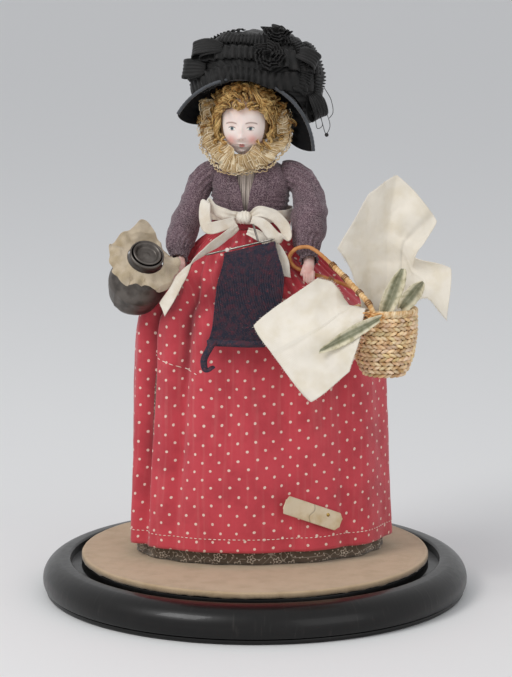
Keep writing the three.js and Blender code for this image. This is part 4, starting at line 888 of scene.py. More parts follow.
def thread_tree() -> bpy.types.NodeTree:
    """Turns lines into round threads, as thick as the lines' own "thick" says.

    Returns:
        The tree.
    """
    web, given, result = grower(
        "threads", {"Lines": "Geometry", "Sides": "Int", "Thread": "Material"}, "Threads"
    )
    line = web.add("GeometryNodeMeshToCurve", {"Mesh": web.out(given, "Lines")})
    thick = web.out(
        web.add("GeometryNodeInputNamedAttribute", {"Name": "thick"}, data_type="FLOAT"), "Attribute"
    )
    sized = web.add("GeometryNodeSetCurveRadius", {"Curve": web.out(line), "Radius": thick})
    ring = web.add("GeometryNodeCurvePrimitiveCircle", {"Resolution": web.out(given, "Sides"), "Radius": 1.0})
    fields = {"Curve": web.out(sized), "Profile Curve": web.out(ring, "Curve"), "Fill Caps": True}
    tube = web.add("GeometryNodeCurveToMesh", fields)
    if "Scale" in tube.inputs:
        web.feed(tube.inputs["Scale"], thick)
    finished(web, web.out(tube), given, result)
    return web.tree


def grown(
    tree: bpy.types.NodeTree,
    name: str,
    points: np.ndarray,
    edges: np.ndarray,
    given: dict[str, object],
    thick: np.ndarray | None = None,
    tint: np.ndarray | None = None,
) -> bpy.types.Mesh:
    """Runs a tree on lines.

    Args:
        tree: the tree.
        name: the new mesh's name.
        points: the lines' points in millimetres.
        edges: the pairs of points that are joined.
        given: the tree's inputs by name.
        thick: a radius for each point in metres.
        tint: a colour for each point.

    Returns:
        The plain mesh that the tree makes.
    """
    path = bpy.data.meshes.new(f"{name} path")
    path.vertices.add(len(points))
    path.vertices.foreach_set("co", (points * MM).astype(np.float32).ravel())
    path.edges.add(len(edges))
    path.edges.foreach_set("vertices", edges.astype(np.int32).ravel())
    if thick is not None:
        path.attributes.new("thick", "FLOAT", "POINT").data.foreach_set("value", thick.astype(np.float32))
        colour = np.column_stack([tint, np.ones(len(tint))]).astype(np.float32)
        path.attributes.new("tint", "FLOAT_COLOR", "POINT").data.foreach_set("color", colour.ravel())
    line = shown(f"{name} path", path)
    growth = line.modifiers.new("growth", "NODES")
    growth.node_group = tree
    for item in tree.interface.items_tree:
        if item.name in given:
            growth[item.identifier] = given[item.name]
    graph = bpy.context.evaluated_depsgraph_get()
    made = bpy.data.meshes.new_from_object(
        line.evaluated_get(graph), preserve_all_data_layers=True, depsgraph=graph
    )
    line.modifiers.clear()
    bpy.data.meshes.remove(path)
    made.name = name
    return made


class Print(Enum):
    """What is printed on a cotton."""

    PLAIN = "plain"
    PIN_DOTS = "pin dots"
    FLORETS = "small line flowers"
    SQUIGGLES = "fine squiggles"


@dataclass(frozen=True)
class Finish:
    """A surface with a colour that wanders.

    Attributes:
        name: the material's name.
        colour: its main colour.
        shade: the colour it wanders to.
        rough: its roughness.
        patch: the width of the wandering in millimetres.
        bumps: the height of its small bumps in millimetres.
        bump_size: their width in millimetres.
        metal: how much of a metal it is.
        coat: how much of a varnish lies on it.
        glow: how far light enters it.
        shine: how strongly it mirrors.
        bare: True where the piece has neither a cloth place nor tints.
    """

    name: str
    colour: str
    shade: str
    rough: float = 0.8
    patch: float = 9.0
    bumps: float = 0.05
    bump_size: float = 0.6
    metal: float = 0.0
    coat: float = 0.0
    glow: float = 0.0
    shine: float = 0.5
    bare: bool = False

    def place(self, web: Web) -> Value:
        """Where a point lies: on its cloth, or in space for a bare piece."""
        if self.bare:
            return web.out(web.add("ShaderNodeTexCoord"), "Object")
        return web.out(web.add("ShaderNodeUVMap", uv_map="cloth"))

    def body(self, web: Web) -> Value:
        """Where a point lies in space."""
        return web.out(web.add("ShaderNodeTexCoord"), "Object")

    def aged(self, web: Web, colour: object = None, shade: object = None) -> Value:
        """The finish's wandering colour, multiplied by the piece's tints, which hold its painted colours and
        its painted light and shade.

        Args:
            web: the material's tree.
            colour: another colour, or None.
            shade: another shade, or None.

        Returns:
            The colour.
        """
        fields = {
            "Place": self.body(web),
            "Colour": linear(self.colour) if colour is None else colour,
            "Shade": linear(self.shade) if shade is None else shade,
            "Patch": self.patch,
        }
        made = web.out(web.group(AGEING, **fields))
        if self.bare:
            return made
        # The piece's tints hold painted colours and painted light and shade.
        tint = web.out(web.add("ShaderNodeAttribute", attribute_name="tint"), "Color")
        return web.mix(1.0, made, tint, "MULTIPLY")

    def look(self, web: Web) -> tuple[Value, Value, float]:
        """What differs between finishes.

        Args:
            web: the material's tree.

        Returns:
            The colour, the height of the surface and how many millimetres a height of 1 is.
        """
        return self.aged(web), web.cloud(self.body(web), self.bump_size, 3.0), self.bumps

    def material(self) -> bpy.types.Material:
        """Makes the material, or gives the one made before.

        Returns:
            The material.
        """
        label = f"{self.name} finish"
        known = bpy.data.materials.get(label)
        if known:
            return known
        made = bpy.data.materials.new(label)
        made.use_nodes = True
        web = Web(made.node_tree)
        colour, height, depth = self.look(web)
        normal = web.out(
            web.add("ShaderNodeBump", {"Height": height, "Distance": depth * MM, "Strength": 1.0})
        )
        mottled = web.cloud(self.body(web), 4.0, 3.0) * 0.16 + (self.rough - 0.08)
        fields = {
            "Base Color": colour,
            "Roughness": mottled,
            "Metallic": self.metal,
            "Coat Weight": self.coat,
            "Normal": normal,
            "Subsurface Weight": self.glow,
            "Subsurface Scale": 0.002,
        }
        shader = web.add("ShaderNodeBsdfPrincipled", fields)
        self.finish_off(shader)
        result = web.add("ShaderNodeOutputMaterial")
        web.feed(result.inputs["Surface"], web.out(shader))
        return made

    def finish_off(self, shader: bpy.types.Node) -> None:
        """Sets what only some finishes have."""
        shader.inputs["Specular IOR Level"].default_value = self.shine
        shader.inputs["Subsurface Radius"].default_value = (1.0, 0.5, 0.4)


@dataclass(frozen=True)
class Cloth(Finish):
    """A woven cloth.

    Attributes:
        pitch: the distance between threads in millimetres.
        sheen: how much its fibres catch the light at the edges.
        pattern: what is printed on it.
        ink: the print's colour.
        gap: how dark the painted shade between the threads is.
    """

    pitch: float = 0.5
    sheen: float = 0.25
    pattern: Print = Print.PLAIN
    ink: str = "F3DCCB"
    gap: float = 0.2

    def finish_off(self, shader: bpy.types.Node) -> None:
        """Gives the fibres their sheen."""
        super().finish_off(shader)
        shader.inputs["Sheen Weight"].default_value = self.sheen
        shader.inputs["Sheen Roughness"].default_value = 0.5

    def look(self, web: Web) -> tuple[Value, Value, float]:
        """The dyed, woven and printed surface, with the piece's painted light and shade and painted shade
        between the threads.

        Args:
            web: the material's tree.

        Returns:
            The colour, the height of the surface and how many millimetres a height of 1 is.
        """
        place = self.place(web)
        threads = web.group(WEAVE, Place=place, Pitch=self.pitch)
        dye_and_shade = self.aged(web)
        across, along, _ = web.axes(place)
        slub = web.add("ShaderNodeCombineXYZ", {0: across * 1000, 1: along * 40})
        streak = web.out(
            web.add("ShaderNodeTexNoise", {"Vector": web.out(slub), "Scale": 0.35, "Detail": 3.0})
        )
        dye_and_shade = web.mix(web.step(streak, 0.5, 0.72) * 0.09, dye_and_shade, web.mix(0.5, dye_and_shade, linear(self.ink)))
        if self.pattern is not Print.PLAIN:
            dye_and_shade = web.mix(self.printed(web, place), dye_and_shade, linear(self.ink))
        # Painted shade in the gaps between the threads.
        dark = web.out(threads, "Gap") * self.gap
        shaded = web.mix(dark, dye_and_shade, (0.01, 0.008, 0.006, 1))
        return shaded, web.out(threads, "Height"), 0.12 * self.pitch

    def printed(self, web: Web, place: Value) -> Value:
        """Where the ink lies, from 0 to 1.

        Args:
            web: the material's tree.
            place: the place on the cloth.

        Returns:
            The ink's share.
        """
        worn = web.step(web.cloud(place, 0.7, 2.0), 0.25, 0.5) * 0.45 + 0.5
        if self.pattern is Print.PIN_DOTS:
            return self.dots(web, place) * worn
        if self.pattern is Print.FLORETS:
            return self.flowers(web, place) * worn
        line = abs(web.cloud(place, 1.5, 0.0) - 0.5)
        second = abs(web.cloud(web.turn("ADD", place, (0.31, 0.17, 0)), 1.2, 0.0) - 0.47)
        return web.step(web.math("MINIMUM", line, second), 0.045, 0.015) * worn * 0.4

    def dots(self, web: Web, place: Value) -> Value:
        """Round dots in staggered rows.

        Args:
            web: the material's tree.
            place: the place on the cloth.

        Returns:
            1 in a dot, 0 beside it.
        """
        across, along, _ = web.axes(web.scaled(place, 1.0))
        along = along + across * 0.045 + web.cloud(place, 30.0, 0.0) * 4
        across = across + web.cloud(place, 26.0, 0.0) * 5
        row = along / 5.0
        shift = web.math("FLOORED_MODULO", web.math("FLOOR", row), 2.0) * 0.5
        x = (web.math("FRACT", across / 9.8 + shift) - 0.5) * 9.8
        y = (web.math("FRACT", row) - 0.5) * 5.0
        far = web.math("SQRT", x * x + y * y)
        return web.step(far, 0.92, 0.62)

    def flowers(self, web: Web, place: Value) -> Value:
        """Scattered outlines of five-petalled flowers, with dots and squiggles between them.

        Args:
            web: the material's tree.
            place: the place on the cloth.

        Returns:
            1 on a line or a dot, 0 beside it.
        """
        spots = web.add(
            "ShaderNodeTexVoronoi", {"Vector": web.scaled(place, 10.5), "Scale": 1.0, "Randomness": 0.55}
        )
        spots.voronoi_dimensions = "2D"
        away = web.turn("SUBTRACT", web.scaled(place, 10.5), web.out(spots, "Position"))
        x, y, _ = web.axes(away)
        angle = web.math("ARCTAN2", y, x)
        far = web.out(spots, "Distance") * 10.5
        petals = abs(far - (web.math("COSINE", angle * 5) * 0.55 + 1.9))
        heart = web.step(far, 0.75, 0.5)
        small = web.add(
            "ShaderNodeTexVoronoi", {"Vector": web.scaled(place, 3.1), "Scale": 1.0, "Randomness": 0.9}
        )
        small.voronoi_dimensions = "2D"
        seeds = web.step(web.out(small, "Distance"), 0.15, 0.1) * web.step(far, 3.0, 3.4)
        line = abs(web.cloud(place, 5.0, 0.0) - 0.5)
        stems = web.step(line, 0.02, 0.01) * web.step(far, 2.7, 3.2) * 0.6
        bloom = web.math("MAXIMUM", web.step(petals, 0.42, 0.2), heart)
        return web.math("MAXIMUM", bloom, web.math("MAXIMUM", seeds, stems))


@dataclass(frozen=True)
class Ebony(Finish):
    """Wood stained black and polished, with fine scratches round the turning."""

    def look(self, web: Web) -> tuple[Value, Value, float]:
        """A black that shows grey where it is rubbed.

        Args:
            web: the material's tree.

        Returns:
            The colour, the height of the surface and how many millimetres a height of 1 is.
        """
        x, y, z = web.axes(self.body(web))
        angle = web.math("ARCTAN2", y, x)
        stretched = web.add("ShaderNodeCombineXYZ", {0: angle * 60, 1: z * 60})
        scratch = web.out(
            web.add("ShaderNodeTexNoise", {"Vector": web.out(stretched), "Scale": 1.0, "Detail": 5.0})
        )
        rubbed = web.step(scratch, 0.58, 0.8)
        return web.mix(rubbed * 0.35, self.aged(web), linear("4A4541")), scratch, 0.05


@dataclass(frozen=True)
class Painted(Finish):
    """Unglazed porcelain, painted by the piece's tints."""

    def finish_off(self, shader: bpy.types.Node) -> None:
        """Lets a little red light through."""
        super().finish_off(shader)
        shader.inputs["Subsurface Radius"].default_value = (1.0, 0.45, 0.35)


BLACK_WOOD = Ebony("ebonised wood", "060505", "0C0A09", rough=0.34, coat=0.12, shine=0.3)
CARD_BOARD = Finish("pad board", "8E7B5E", "77664C", bare=True)
FELT = Cloth("pad cloth", "C6AC8A", "BAA07D", rough=0.95, pitch=0.45, ink="E0CDAE")
BRASS = Finish("brass", "A88A4B", "7C6331", rough=0.4, metal=1.0, bumps=0.01, bare=True)
BISQUE = Painted("bisque", "F6E8E0", "F0DBD2", rough=0.55, patch=14, bumps=0.012, bump_size=0.35, glow=0.12)
BOOT = Finish("boot glaze", "221915", "33251F", rough=0.25, coat=0.6, bumps=0.01, bare=True)
CORK = Finish("cork", "A5794B", "7A532F", rough=0.9, bumps=0.3, bump_size=1.4, bare=True)
MOHAIR = Finish("mohair", "FFFFFF", "D8C8B0", rough=0.55, patch=3, bumps=0.02)
CALICO = Cloth("calico", "F1E9DA", "E9DFCB", rough=0.92, pitch=0.36, ink="F4EEE2", gap=0.06)
CALICO_INNER = Finish("inner calico", "D6CAB2", "BFB093", rough=0.95, bare=True)
RED = Cloth("red cotton", "CF4550", "BC3A45", rough=0.88, patch=16, pitch=0.42, pattern=Print.PIN_DOTS)
BROWN = Cloth("brown cotton", "665849", "54483A", rough=0.9, pitch=0.42, pattern=Print.FLORETS, ink="D9CDBB")
PURPLE = Cloth(
    "purple cotton", "5E4650", "4F3A43", rough=0.88, pitch=0.4, pattern=Print.SQUIGGLES, ink="D6BDBF"
)
TAUPE = Cloth("muslin", "D6C8BC", "C2B2A4", rough=0.92, pitch=0.35, ink="C8BBA8")
TAPE = Cloth("cotton tape", "F0E8D9", "E0D2BC", rough=0.88, pitch=0.45, ink="FFF9EE")
THREAD = Finish("white thread", "F4ECDD", "E2D7C2", rough=0.9, bumps=0.02, bare=True)
HAND = Painted("bisque hands", "E6C6BC", "DCA99E", rough=0.5, bumps=0.01, glow=0.12, bare=True)
LACE = Finish("lace thread", "DCC69C", "C4A878", rough=0.9, bumps=0.06, bump_size=0.25)
SILK = Cloth(
    "black silk",
    "090807",
    "141211",
    rough=0.48,
    patch=5,
    pitch=0.4,
    sheen=0.1,
    ink="3A3734",
    gap=0.1,
    shine=0.25,
)
LINING = Cloth("black lining", "08080A", "0D0D0E", rough=0.85, pitch=0.4, sheen=0.0, ink="141414", shine=0.15)
EDGE = Cloth("silk binding", "3C4046", "26292D", rough=0.5, patch=6, pitch=0.3, sheen=0.3, ink="6A7078")
WOOL = Finish("wool", "FFFFFF", "C9B8BE", rough=0.95, patch=2.0, bumps=0.12, bump_size=0.3)
STEEL = Finish("needle steel", "9A958E", "6A645D", rough=0.3, metal=1.0, bumps=0.005)
TIN = Finish("tin", "6E6863", "4E4844", rough=0.44, metal=0.85, patch=7, bumps=0.05, bump_size=3.0)
STRAW = Finish("straw", "FBE5BF", "D8B07A", rough=0.7, patch=4, bumps=0.05, bump_size=0.4)
LEAF = Finish("leaf", "FFFFFF", "CFCFC0", rough=0.8, patch=3, bumps=0.08, bump_size=0.5)
CARD = Finish("card", "DFCFB2", "CDB68E", rough=0.9, patch=8, bumps=0.04, bump_size=0.5)


# The studio


@dataclass
class Studio:
    """A pale floor, soft light from the upper left and the camera.

    Attributes:
        distance: from the camera to the doll's axis in millimetres.
        height: the camera's height in millimetres.
        turn: how far it stands to the doll's left, in degrees.
        pitch: how far it looks down, in degrees.
        lens: its focal length.
    """

    distance: float = 1400.0
    height: float = 375.0
    turn: float = 8.0
    pitch: float = 9.4
    lens: float = 134.9

    def build(self) -> None:
        """Sets the floor, the light and the camera."""
        self.floor()
        self.world()
        self.lamp("key light", (-0.9, -1.1, 1.5), 0.75, 15.0)
        self.lamp("fill light", (1.5, -1.3, 0.9), 1.3, 5.0)
        self.camera()
        settings = bpy.context.scene.view_settings
        settings.view_transform = "Standard"

    def floor(self) -> None:
        """A wide, flat, pale floor."""
        reach = 16000.0
        rows = np.array([[(x, y, 0.0) for x in (-reach, reach)] for y in (-reach, reach)])
        plain = bpy.data.materials.new("studio floor")
        plain.use_nodes = True
        shader = plain.node_tree.nodes["Principled BSDF"]
        shader.inputs["Base Color"].default_value = linear("EDEDEB")
        shader.inputs["Roughness"].default_value = 0.95
        floor = Shape().grid(rows).mesh("floor", None)
        floor.data.materials.append(plain)

    def world(self) -> None:
        """Even light from everywhere, with a pale picture of the room behind."""
        sky = bpy.data.worlds.new("room")
        bpy.context.scene.world = sky
        sky.use_nodes = True
        web = Web(sky.node_tree)
        path = web.add("ShaderNodeLightPath")
        seen = web.math("MAXIMUM", web.out(path, "Is Camera Ray"), web.out(path, "Is Transmission Ray"))
        seen = web.math("MAXIMUM", seen, web.out(path, "Is Glossy Ray") * 0.55)
        shade = web.mix(seen, (0.56, 0.57, 0.60, 1), (0.80, 0.80, 0.79, 1))
        shader = web.add("ShaderNodeBackground", {"Color": shade, "Strength": 1.0})
        result = web.add("ShaderNodeOutputWorld")
        web.feed(result.inputs["Surface"], web.out(shader))

    def lamp(self, name: str, place: Point, size: float, power: float) -> None:
        """Adds a soft square light that looks at the doll.

        Args:
            name: its name.
            place: where it stands, in metres.
            size: its width in metres.
            power: its power in watts.
        """
        data = bpy.data.lights.new(name, "AREA")
        data.energy = power
        data.size = size
        made = shown(name, data)
        made.location = place
        made.rotation_euler = (Vector((0, 0, 0.16)) - Vector(place)).to_track_quat("-Z", "Y").to_euler()

    def camera(self) -> None:
        """Puts the camera where the photograph was taken from."""
        data = bpy.data.cameras.new("camera")
        data.lens = self.lens
        data.shift_x = 0.0015
        eye = shown("camera", data)
        turn, pitch = math.radians(self.turn), math.radians(self.pitch)
        eye.location = (
            Vector((self.distance * math.sin(turn), -self.distance * math.cos(turn), self.height)) * MM
        )
        look = Vector((-math.sin(turn) * math.cos(pitch), math.cos(turn) * math.cos(pitch), -math.sin(pitch)))
        eye.rotation_euler = look.to_track_quat("-Z", "Y").to_euler()
        bpy.context.scene.camera = eye


# The stand


def eased(outline: Sequence[Point], ease: float) -> np.ndarray:
    """Rounds the corners of an outline.

    Args:
        outline: its corners.
        ease: how far from a corner the rounding starts, in millimetres.

    Returns:
        The new outline.
    """
    p = np.asarray(outline, float)
    line = [p[0]]
    for before, corner, after in zip(p[:-2], p[1:-1], p[2:]):
        reach = [min(ease, 0.45 * np.linalg.norm(q - corner)) for q in (before, after)]
        start = corner + unit(before - corner) * reach[0]
        stop = corner + unit(after - corner) * reach[1]
        line += [start, (start + 2 * corner + stop) / 4, stop]
    return np.array(line + [p[-1]])


def lathe(outline: np.ndarray, segments: int, middle: Point = (0, 0, 0)) -> np.ndarray:
    """Turns an outline of radius and height round an upright line through the middle."""
    angle = full_turn(segments)
    r, z = np.asarray(outline, float).T
    return spread(r[:, None] * np.cos(angle), r[:, None] * np.sin(angle), z[:, None]) + middle


@dataclass
class Stand:
    """The turned black stand with the groove for a glass dome, and its cloth-covered pad.

    Attributes:
        outer: the radius of the moulding.
        foot: the radius of the foot.
        rim: the height of the rim.
        platform: the radius inside the groove.
        groove: the groove's width.
        depth: its depth.
        hole: the radius of the hole for the support post.
        hole_floor: the height of that hole's floor.
    """

    outer: float = 120.0
    foot: float = 117.0
    rim: float = 19.6
    platform: float = 98.0
    groove: float = 6.2
    depth: float = 5.0
    hole: float = 7.5
    hole_floor: float = 8.4

    def build(self) -> None:
        """Builds the stand and dresses the parts inside it."""
        self.base()
        self.pad()
        for node, finish in (("pad_board", CARD_BOARD), ("support_post", BRASS)):
            repaint_node(node, finish)

    def base(self) -> None:
        """The turned wood."""
        out = self.platform + self.groove
        floor = self.rim - self.depth
        belly = self.rim * 0.41
        lip = self.rim * 0.16
        width = self.outer - out - 3
        bow = np.radians(np.linspace(-24, 75, 14))
        round_part = [
            (self.outer - width + width * math.cos(a), belly + (self.rim - belly) * math.sin(a))
            for a in bow
        ]
        outline = [
            (0, 0),
            (self.foot, 0),
            (self.foot + 1.2, 1),
            (self.foot + 1.2, lip - 0.4),
            (self.foot - 0.4, lip),
            *round_part,
            (out + 1.2, self.rim),
            (out, self.rim - 0.8),
            (out, floor),
            (self.platform, floor),
            (self.platform, self.rim - 0.2),
            (self.hole, self.rim - 0.2),
            (self.hole, self.hole_floor),
            (0, self.hole_floor),
        ]
        turned = Shape().grid(lathe(eased(outline, 0.5), 220), wrap=True).mesh("stand", BLACK_WOOD, 40)
        dress(turned, "doll", "ebonised_wood", "stand_base")

    def pad(self) -> None:
        """The cloth drawn over the pad and down its edge."""
        edge = self.platform
        outline = [(7, 0), (30, 0), (60, 0), (90, 0), (edge - 0.7, 0), (edge, -0.8), (edge, -3.2)]
        fine = spaced(eased(outline, 0.7), 90)
        rows = lathe(fine, 200, (0, 0, PAD_TOP - 0.05))
        swell = noise(rows, 14, 3) * 0.12 + noise(rows, 2.5, 5) * 0.07
        rows[..., 2] += np.where(fine[:, 1][:, None] > -0.5, swell, 0)
        turned = smooth(-fine[:, 1], 1.2, 3.2)[:, None]
        rows[..., 2] += turned * noise(rows, 3.0, 8) * 0.5
        # Painted shade where the cloth turns down over the edge, and a faint darker ring just inside the
        # edge.
        dark = 1 - 0.34 * smooth(-fine[:, 1], 0.3, 1.6)[:, None] - 0.06 * bump(fine[:, 0], 95.5, 1.2)[:, None]
        tint = grey(dark)
        flat = rows[..., :2] * MM
        place = np.concatenate([flat, flat[:, :1]], 1)
        laid = {"wrap": True, "tint": tint[::-1], "uv": place[::-1]}
        cloth = sewn("pad_cloth", rows[::-1], FELT, 0.7, -1, **laid)
        dress(cloth, "doll", "pad_linen", "pad_cover")


# Skirts


@dataclass(frozen=True)
class Fold:
    """A fold of the skirt.

    Attributes:
        at: its angle from the doll's left side, in degrees.
        wide: its width in degrees.
        deep: how far it goes in, or out below zero.
        lean: how far it wanders from the waist to the hem, in degrees.
        low: the height that it fades out at.
    """

    at: float
    wide: float
    deep: float
    lean: float
    low: float = -60.0


FOLDS = (
    Fold(208, 4.4, 4.8, -3, 10),
    Fold(199, 6, -2.9, -2),
    Fold(214, 3.2, -1.3, -3, 20),
    Fold(231, 3.6, 4.0, -5, 40),
    Fold(222, 4.6, -2.3, -4, 60),
    Fold(240, 5, -1.4, -3, 30),
    Fold(252, 4, 1.3, 0, 60),
    Fold(277, 5, 1.7, 2),
    Fold(290, 4, -0.5, 1, 20),
    Fold(306, 5, 1.8, 0),
    Fold(318, 4, -0.7, 1),
    Fold(335, 8, 1.8, 2),
    Fold(352, 6, -0.7, 1),
    Fold(15, 9, 2.2, 0),
    Fold(32, 6, -0.8, 0),
    Fold(48, 8, 2.6, 2),
    Fold(65, 6, -0.8, 0),
    Fold(82, 8, 2.4, 0),
    Fold(97, 6, -0.8, 0),
    Fold(112, 8, 2.8, -2),
    Fold(129, 6, -0.8, 0),
    Fold(146, 8, 2.4, 0),
    Fold(160, 5, -0.7, 0),
    Fold(172, 7, 2.0, 2),
)


@dataclass
class Skirts:
    """The red dotted skirt, the brown underskirt and what lies beneath them.

    Attributes:
        waist: the height of the waist above the pad.
        half_width: the skirt's half width at the hem.
        half_depth: its half depth at the hem.
        hem: the height of its hem above the pad.
        turn: how far the hem is turned, in degrees.
        shift: how far the hem is off the waist's line.
        cloth: the cloths' thickness.
        waist_size: the half width and half depth of the waist.
        gathers: how many gathers the waist takes up.
        ripples: how many ripples the underskirt's hem has.
        body: where the body's line stands.
    """

    waist: float = 187.0
    half_width: float = 74.5
    half_depth: float = 47.0
    hem: float = 8.0
    turn: float = 14.0
    shift: tuple[float, float] = (5.1, 1.0)
    cloth: float = 0.9
    waist_size: tuple[float, float] = (19.5, 14.0)
    gathers: int = 38
    ripples: int = 16
    body: tuple[float, float] = BODY_LINE

    def build(self) -> None:
        """Builds the layers from the outside in."""
        self.skirt()
        self.underskirt()
        petticoat = dress(rounded("petticoat", CALICO_INNER), "doll", "calico", "petticoat")
        band = Cloth("waistband cotton", "B23A45", "9A2F39", bare=True)
        dress(rounded("waistband", band), "doll", "red_cotton", "waistband")

    @property
    def top(self) -> float:
        """The height of the skirt's top above the pad."""
        return self.waist - 1

    def outline(self) -> np.ndarray:
        """Half widths, half depths and heights of the red skirt, from the waist to the hem.

        Returns:
            Rows of three numbers.
        """
        w, d = self.waist_size
        rows = [(w + 1.6, d + 1.6, 0), (w + 1.8, d + 1.8, 4), (w + 8.5, d + 7, 10), (w + 17, d + 12.5, 18)]
        rows += [(w + 27.5, d + 18, 29), (self.half_width * 0.775, self.half_depth * 0.79, 41)]
        rows += [
            (self.half_width * 0.9, self.half_depth * 0.88, 49),
            (self.half_width * 0.93, self.half_depth * 0.91, 57),
        ]
        upper = [(a, b, self.top - drop) for a, b, drop in rows]
        fall = self.top - 57
        lower = [self.lower_row(self.hem + (fall - self.hem) * share) for share in (0.82, 0.55, 0.28, 0)]
        return np.array(upper + lower)

    def lower_row(self, z: float) -> tuple[float, float, float]:
        """Half width, half depth and height below the hips."""
        share = (z - self.hem) / (self.top - 57 - self.hem)
        return self.half_width * (1 - 0.07 * share), self.half_depth * (1 - 0.09 * share), z

    def ovals(self, rows: np.ndarray, angle: np.ndarray, out: np.ndarray) -> np.ndarray:
        """Stands ovals on the body's line.

        Args:
            rows: half widths, half depths and heights above the pad.
            angle: the angles in degrees from the doll's left side.
            out: how far each point lies outside its oval.

        Returns:
            Rows, columns and x, y, z.
        """
        w, d, z = (rows[:, k][:, None] for k in range(3))
        share = smooth(self.top - z, 4, 55)
        a, turn = np.radians(angle)[None, :], math.radians(self.turn) * share
        x, y = (w + out) * np.cos(a), (d + out) * np.sin(a)
        px = x * np.cos(turn) - y * np.sin(turn) + self.body[0] + self.shift[0] * share
        py = x * np.sin(turn) + y * np.cos(turn) + self.body[1] + self.shift[1] * share
        return spread(px, py, z + PAD_TOP)

    def round_cloth(self, points: np.ndarray) -> np.ndarray:
        """The place on the cloth of each point, measured from the front middle line.

        Args:
            points: rows, columns and x, y, z.

        Returns:
            Rows, columns and two lengths in metres.
        """
        closed = np.concatenate([points, points[:, :1]], 1)
        steps = np.linalg.norm(np.diff(closed, axis=1), axis=2)
        u = np.concatenate([np.zeros((len(points), 1)), np.cumsum(steps, 1)], 1)
        u -= u[:, u.shape[1] // 2][:, None]
        along = np.linalg.norm(np.diff(points, axis=0), axis=2).mean(1)
        v = np.concatenate([[0], np.cumsum(along)])[:, None]
        return spread(u, v) * MM

    def skirt(self) -> None:
        """The red skirt with its tucked-up folds, gathers and hem."""
        angle = np.linspace(90, 450, 380, endpoint=False)
        rows = curve(self.outline(), 400)
        rows = spaced(rows, 128)
        z = rows[:, 2][:, None]
        drop = self.top - z
        fallen = 1 - smooth(z, self.hem, self.top)
        full = smooth(drop, 6, 50)
        out = np.zeros((len(rows), len(angle)))
        for fold in FOLDS:
            away = around(angle[None, :], fold.at + fold.lean * fallen)
            fade = smooth(z, fold.low - 30, fold.low + 30)
            out -= fold.deep * bump(away, 0, fold.wide) * full * (0.25 + 0.75 * fade)
        pleat = np.cos(np.radians(angle) * self.gathers + 2.2 * np.sin(np.radians(angle) * 5))[None, :]
        out += 1.1 * smooth(drop, 1, 9) * (1 - smooth(drop, 14, 62)) * pleat
        out += (
            0.9 * smooth(drop, 2, 12) * (1 - smooth(drop, 20, 60)) * np.cos(np.radians(angle) * 11)[None, :]
        )
        points = self.ovals(rows, angle, out)
        stretched = points * (1, 1, 0.28)
        wander = noise(stretched, 17, 11) * 0.9 * smooth(drop, 20, 70) + noise(stretched, 6, 12) * 0.28
        bunch = bump(around(angle[None, :], 223), 0, 9) * bump(z, 158, 15)
        wander = wander + crumple(points * (1, 1, 0.6), 7, 14) * (0.25 * smooth(drop, 8, 30) + 1.7 * bunch)
        wander = wander + 2.9 * bunch
        points = self.ovals(rows, angle, out + wander)
        fold_line = bump(z, self.hem + 5.6, 0.8) * 0.25
        points[..., :2] -= unit(points[..., :2] - np.array(self.body)) * fold_line[..., None]
        # Painted shadow in the two deepest folds, at 208 and 231 degrees.
        dark = 1 - 0.55 * bump(around(angle[None, :], 208 - 3 * fallen), 0, 2.6) * smooth(z, 20, 70) * full
        dark = (
            dark - 0.55 * bump(around(angle[None, :], 231 - 5 * fallen), 0, 2.2) * smooth(z, 90, 120) * full
        )
        tint = grey(dark) * (1, 0.97, 0.97)
        laid = {"wrap": True, "tint": tint[::-1], "uv": self.round_cloth(points)[::-1]}
        piece = sewn("skirt_cloth", points[::-1], RED, self.cloth, -1, **laid)
        dress(piece, "doll", "red_cotton", "skirt")

    def underskirt(self) -> None:
        """The brown printed underskirt, seen below the hem."""
        w, d = self.waist_size
        seat = 0.3
        rows = [
            (w - seat, d - seat, 4.6), (w + 0.4, d + 0.6, 9), (w + 5.2, d + 4, 13), (w + 13.5, d + 7.5, 22)
        ]
        rows += [
            (self.half_width * 0.71, self.half_depth * 0.69, 45),
            (self.half_width * 0.85, self.half_depth * 0.79, 61),
        ]
        line = (
            [(a, b, self.top - drop) for a, b, drop in rows]
            + [(self.half_width - 4.8, self.half_depth - 4.8, 0.5)]
        )
        rows = spaced(curve(line, 200), 70)
        angle = np.linspace(90, 450, 300, endpoint=False)
        fallen = smooth(self.top - rows[:, 2], 60, 180)[:, None]
        swing = np.cos(np.radians(angle) * self.ripples + 1.5 * np.sin(np.radians(angle) * 3))
        ripple = 0.9 * swing[None, :] * fallen
        points = self.ovals(rows, angle, ripple * 0.8 - 0.3)
        points = self.ovals(
            rows, angle, ripple * 0.8 - 0.3 + noise(points * (1, 1, 0.4), 9, 21) * 0.4 * fallen
        )
        points[-1, :, 2] += 0.25 * noise(points[-1], 12, 4)
        laid = {"wrap": True, "uv": self.round_cloth(points)[::-1]}
        piece = sewn("underskirt_cloth", points[::-1], BROWN, self.cloth, -1, **laid)
        dress(piece, "doll", "brown_cotton", "underskirt")


# The body's clothes


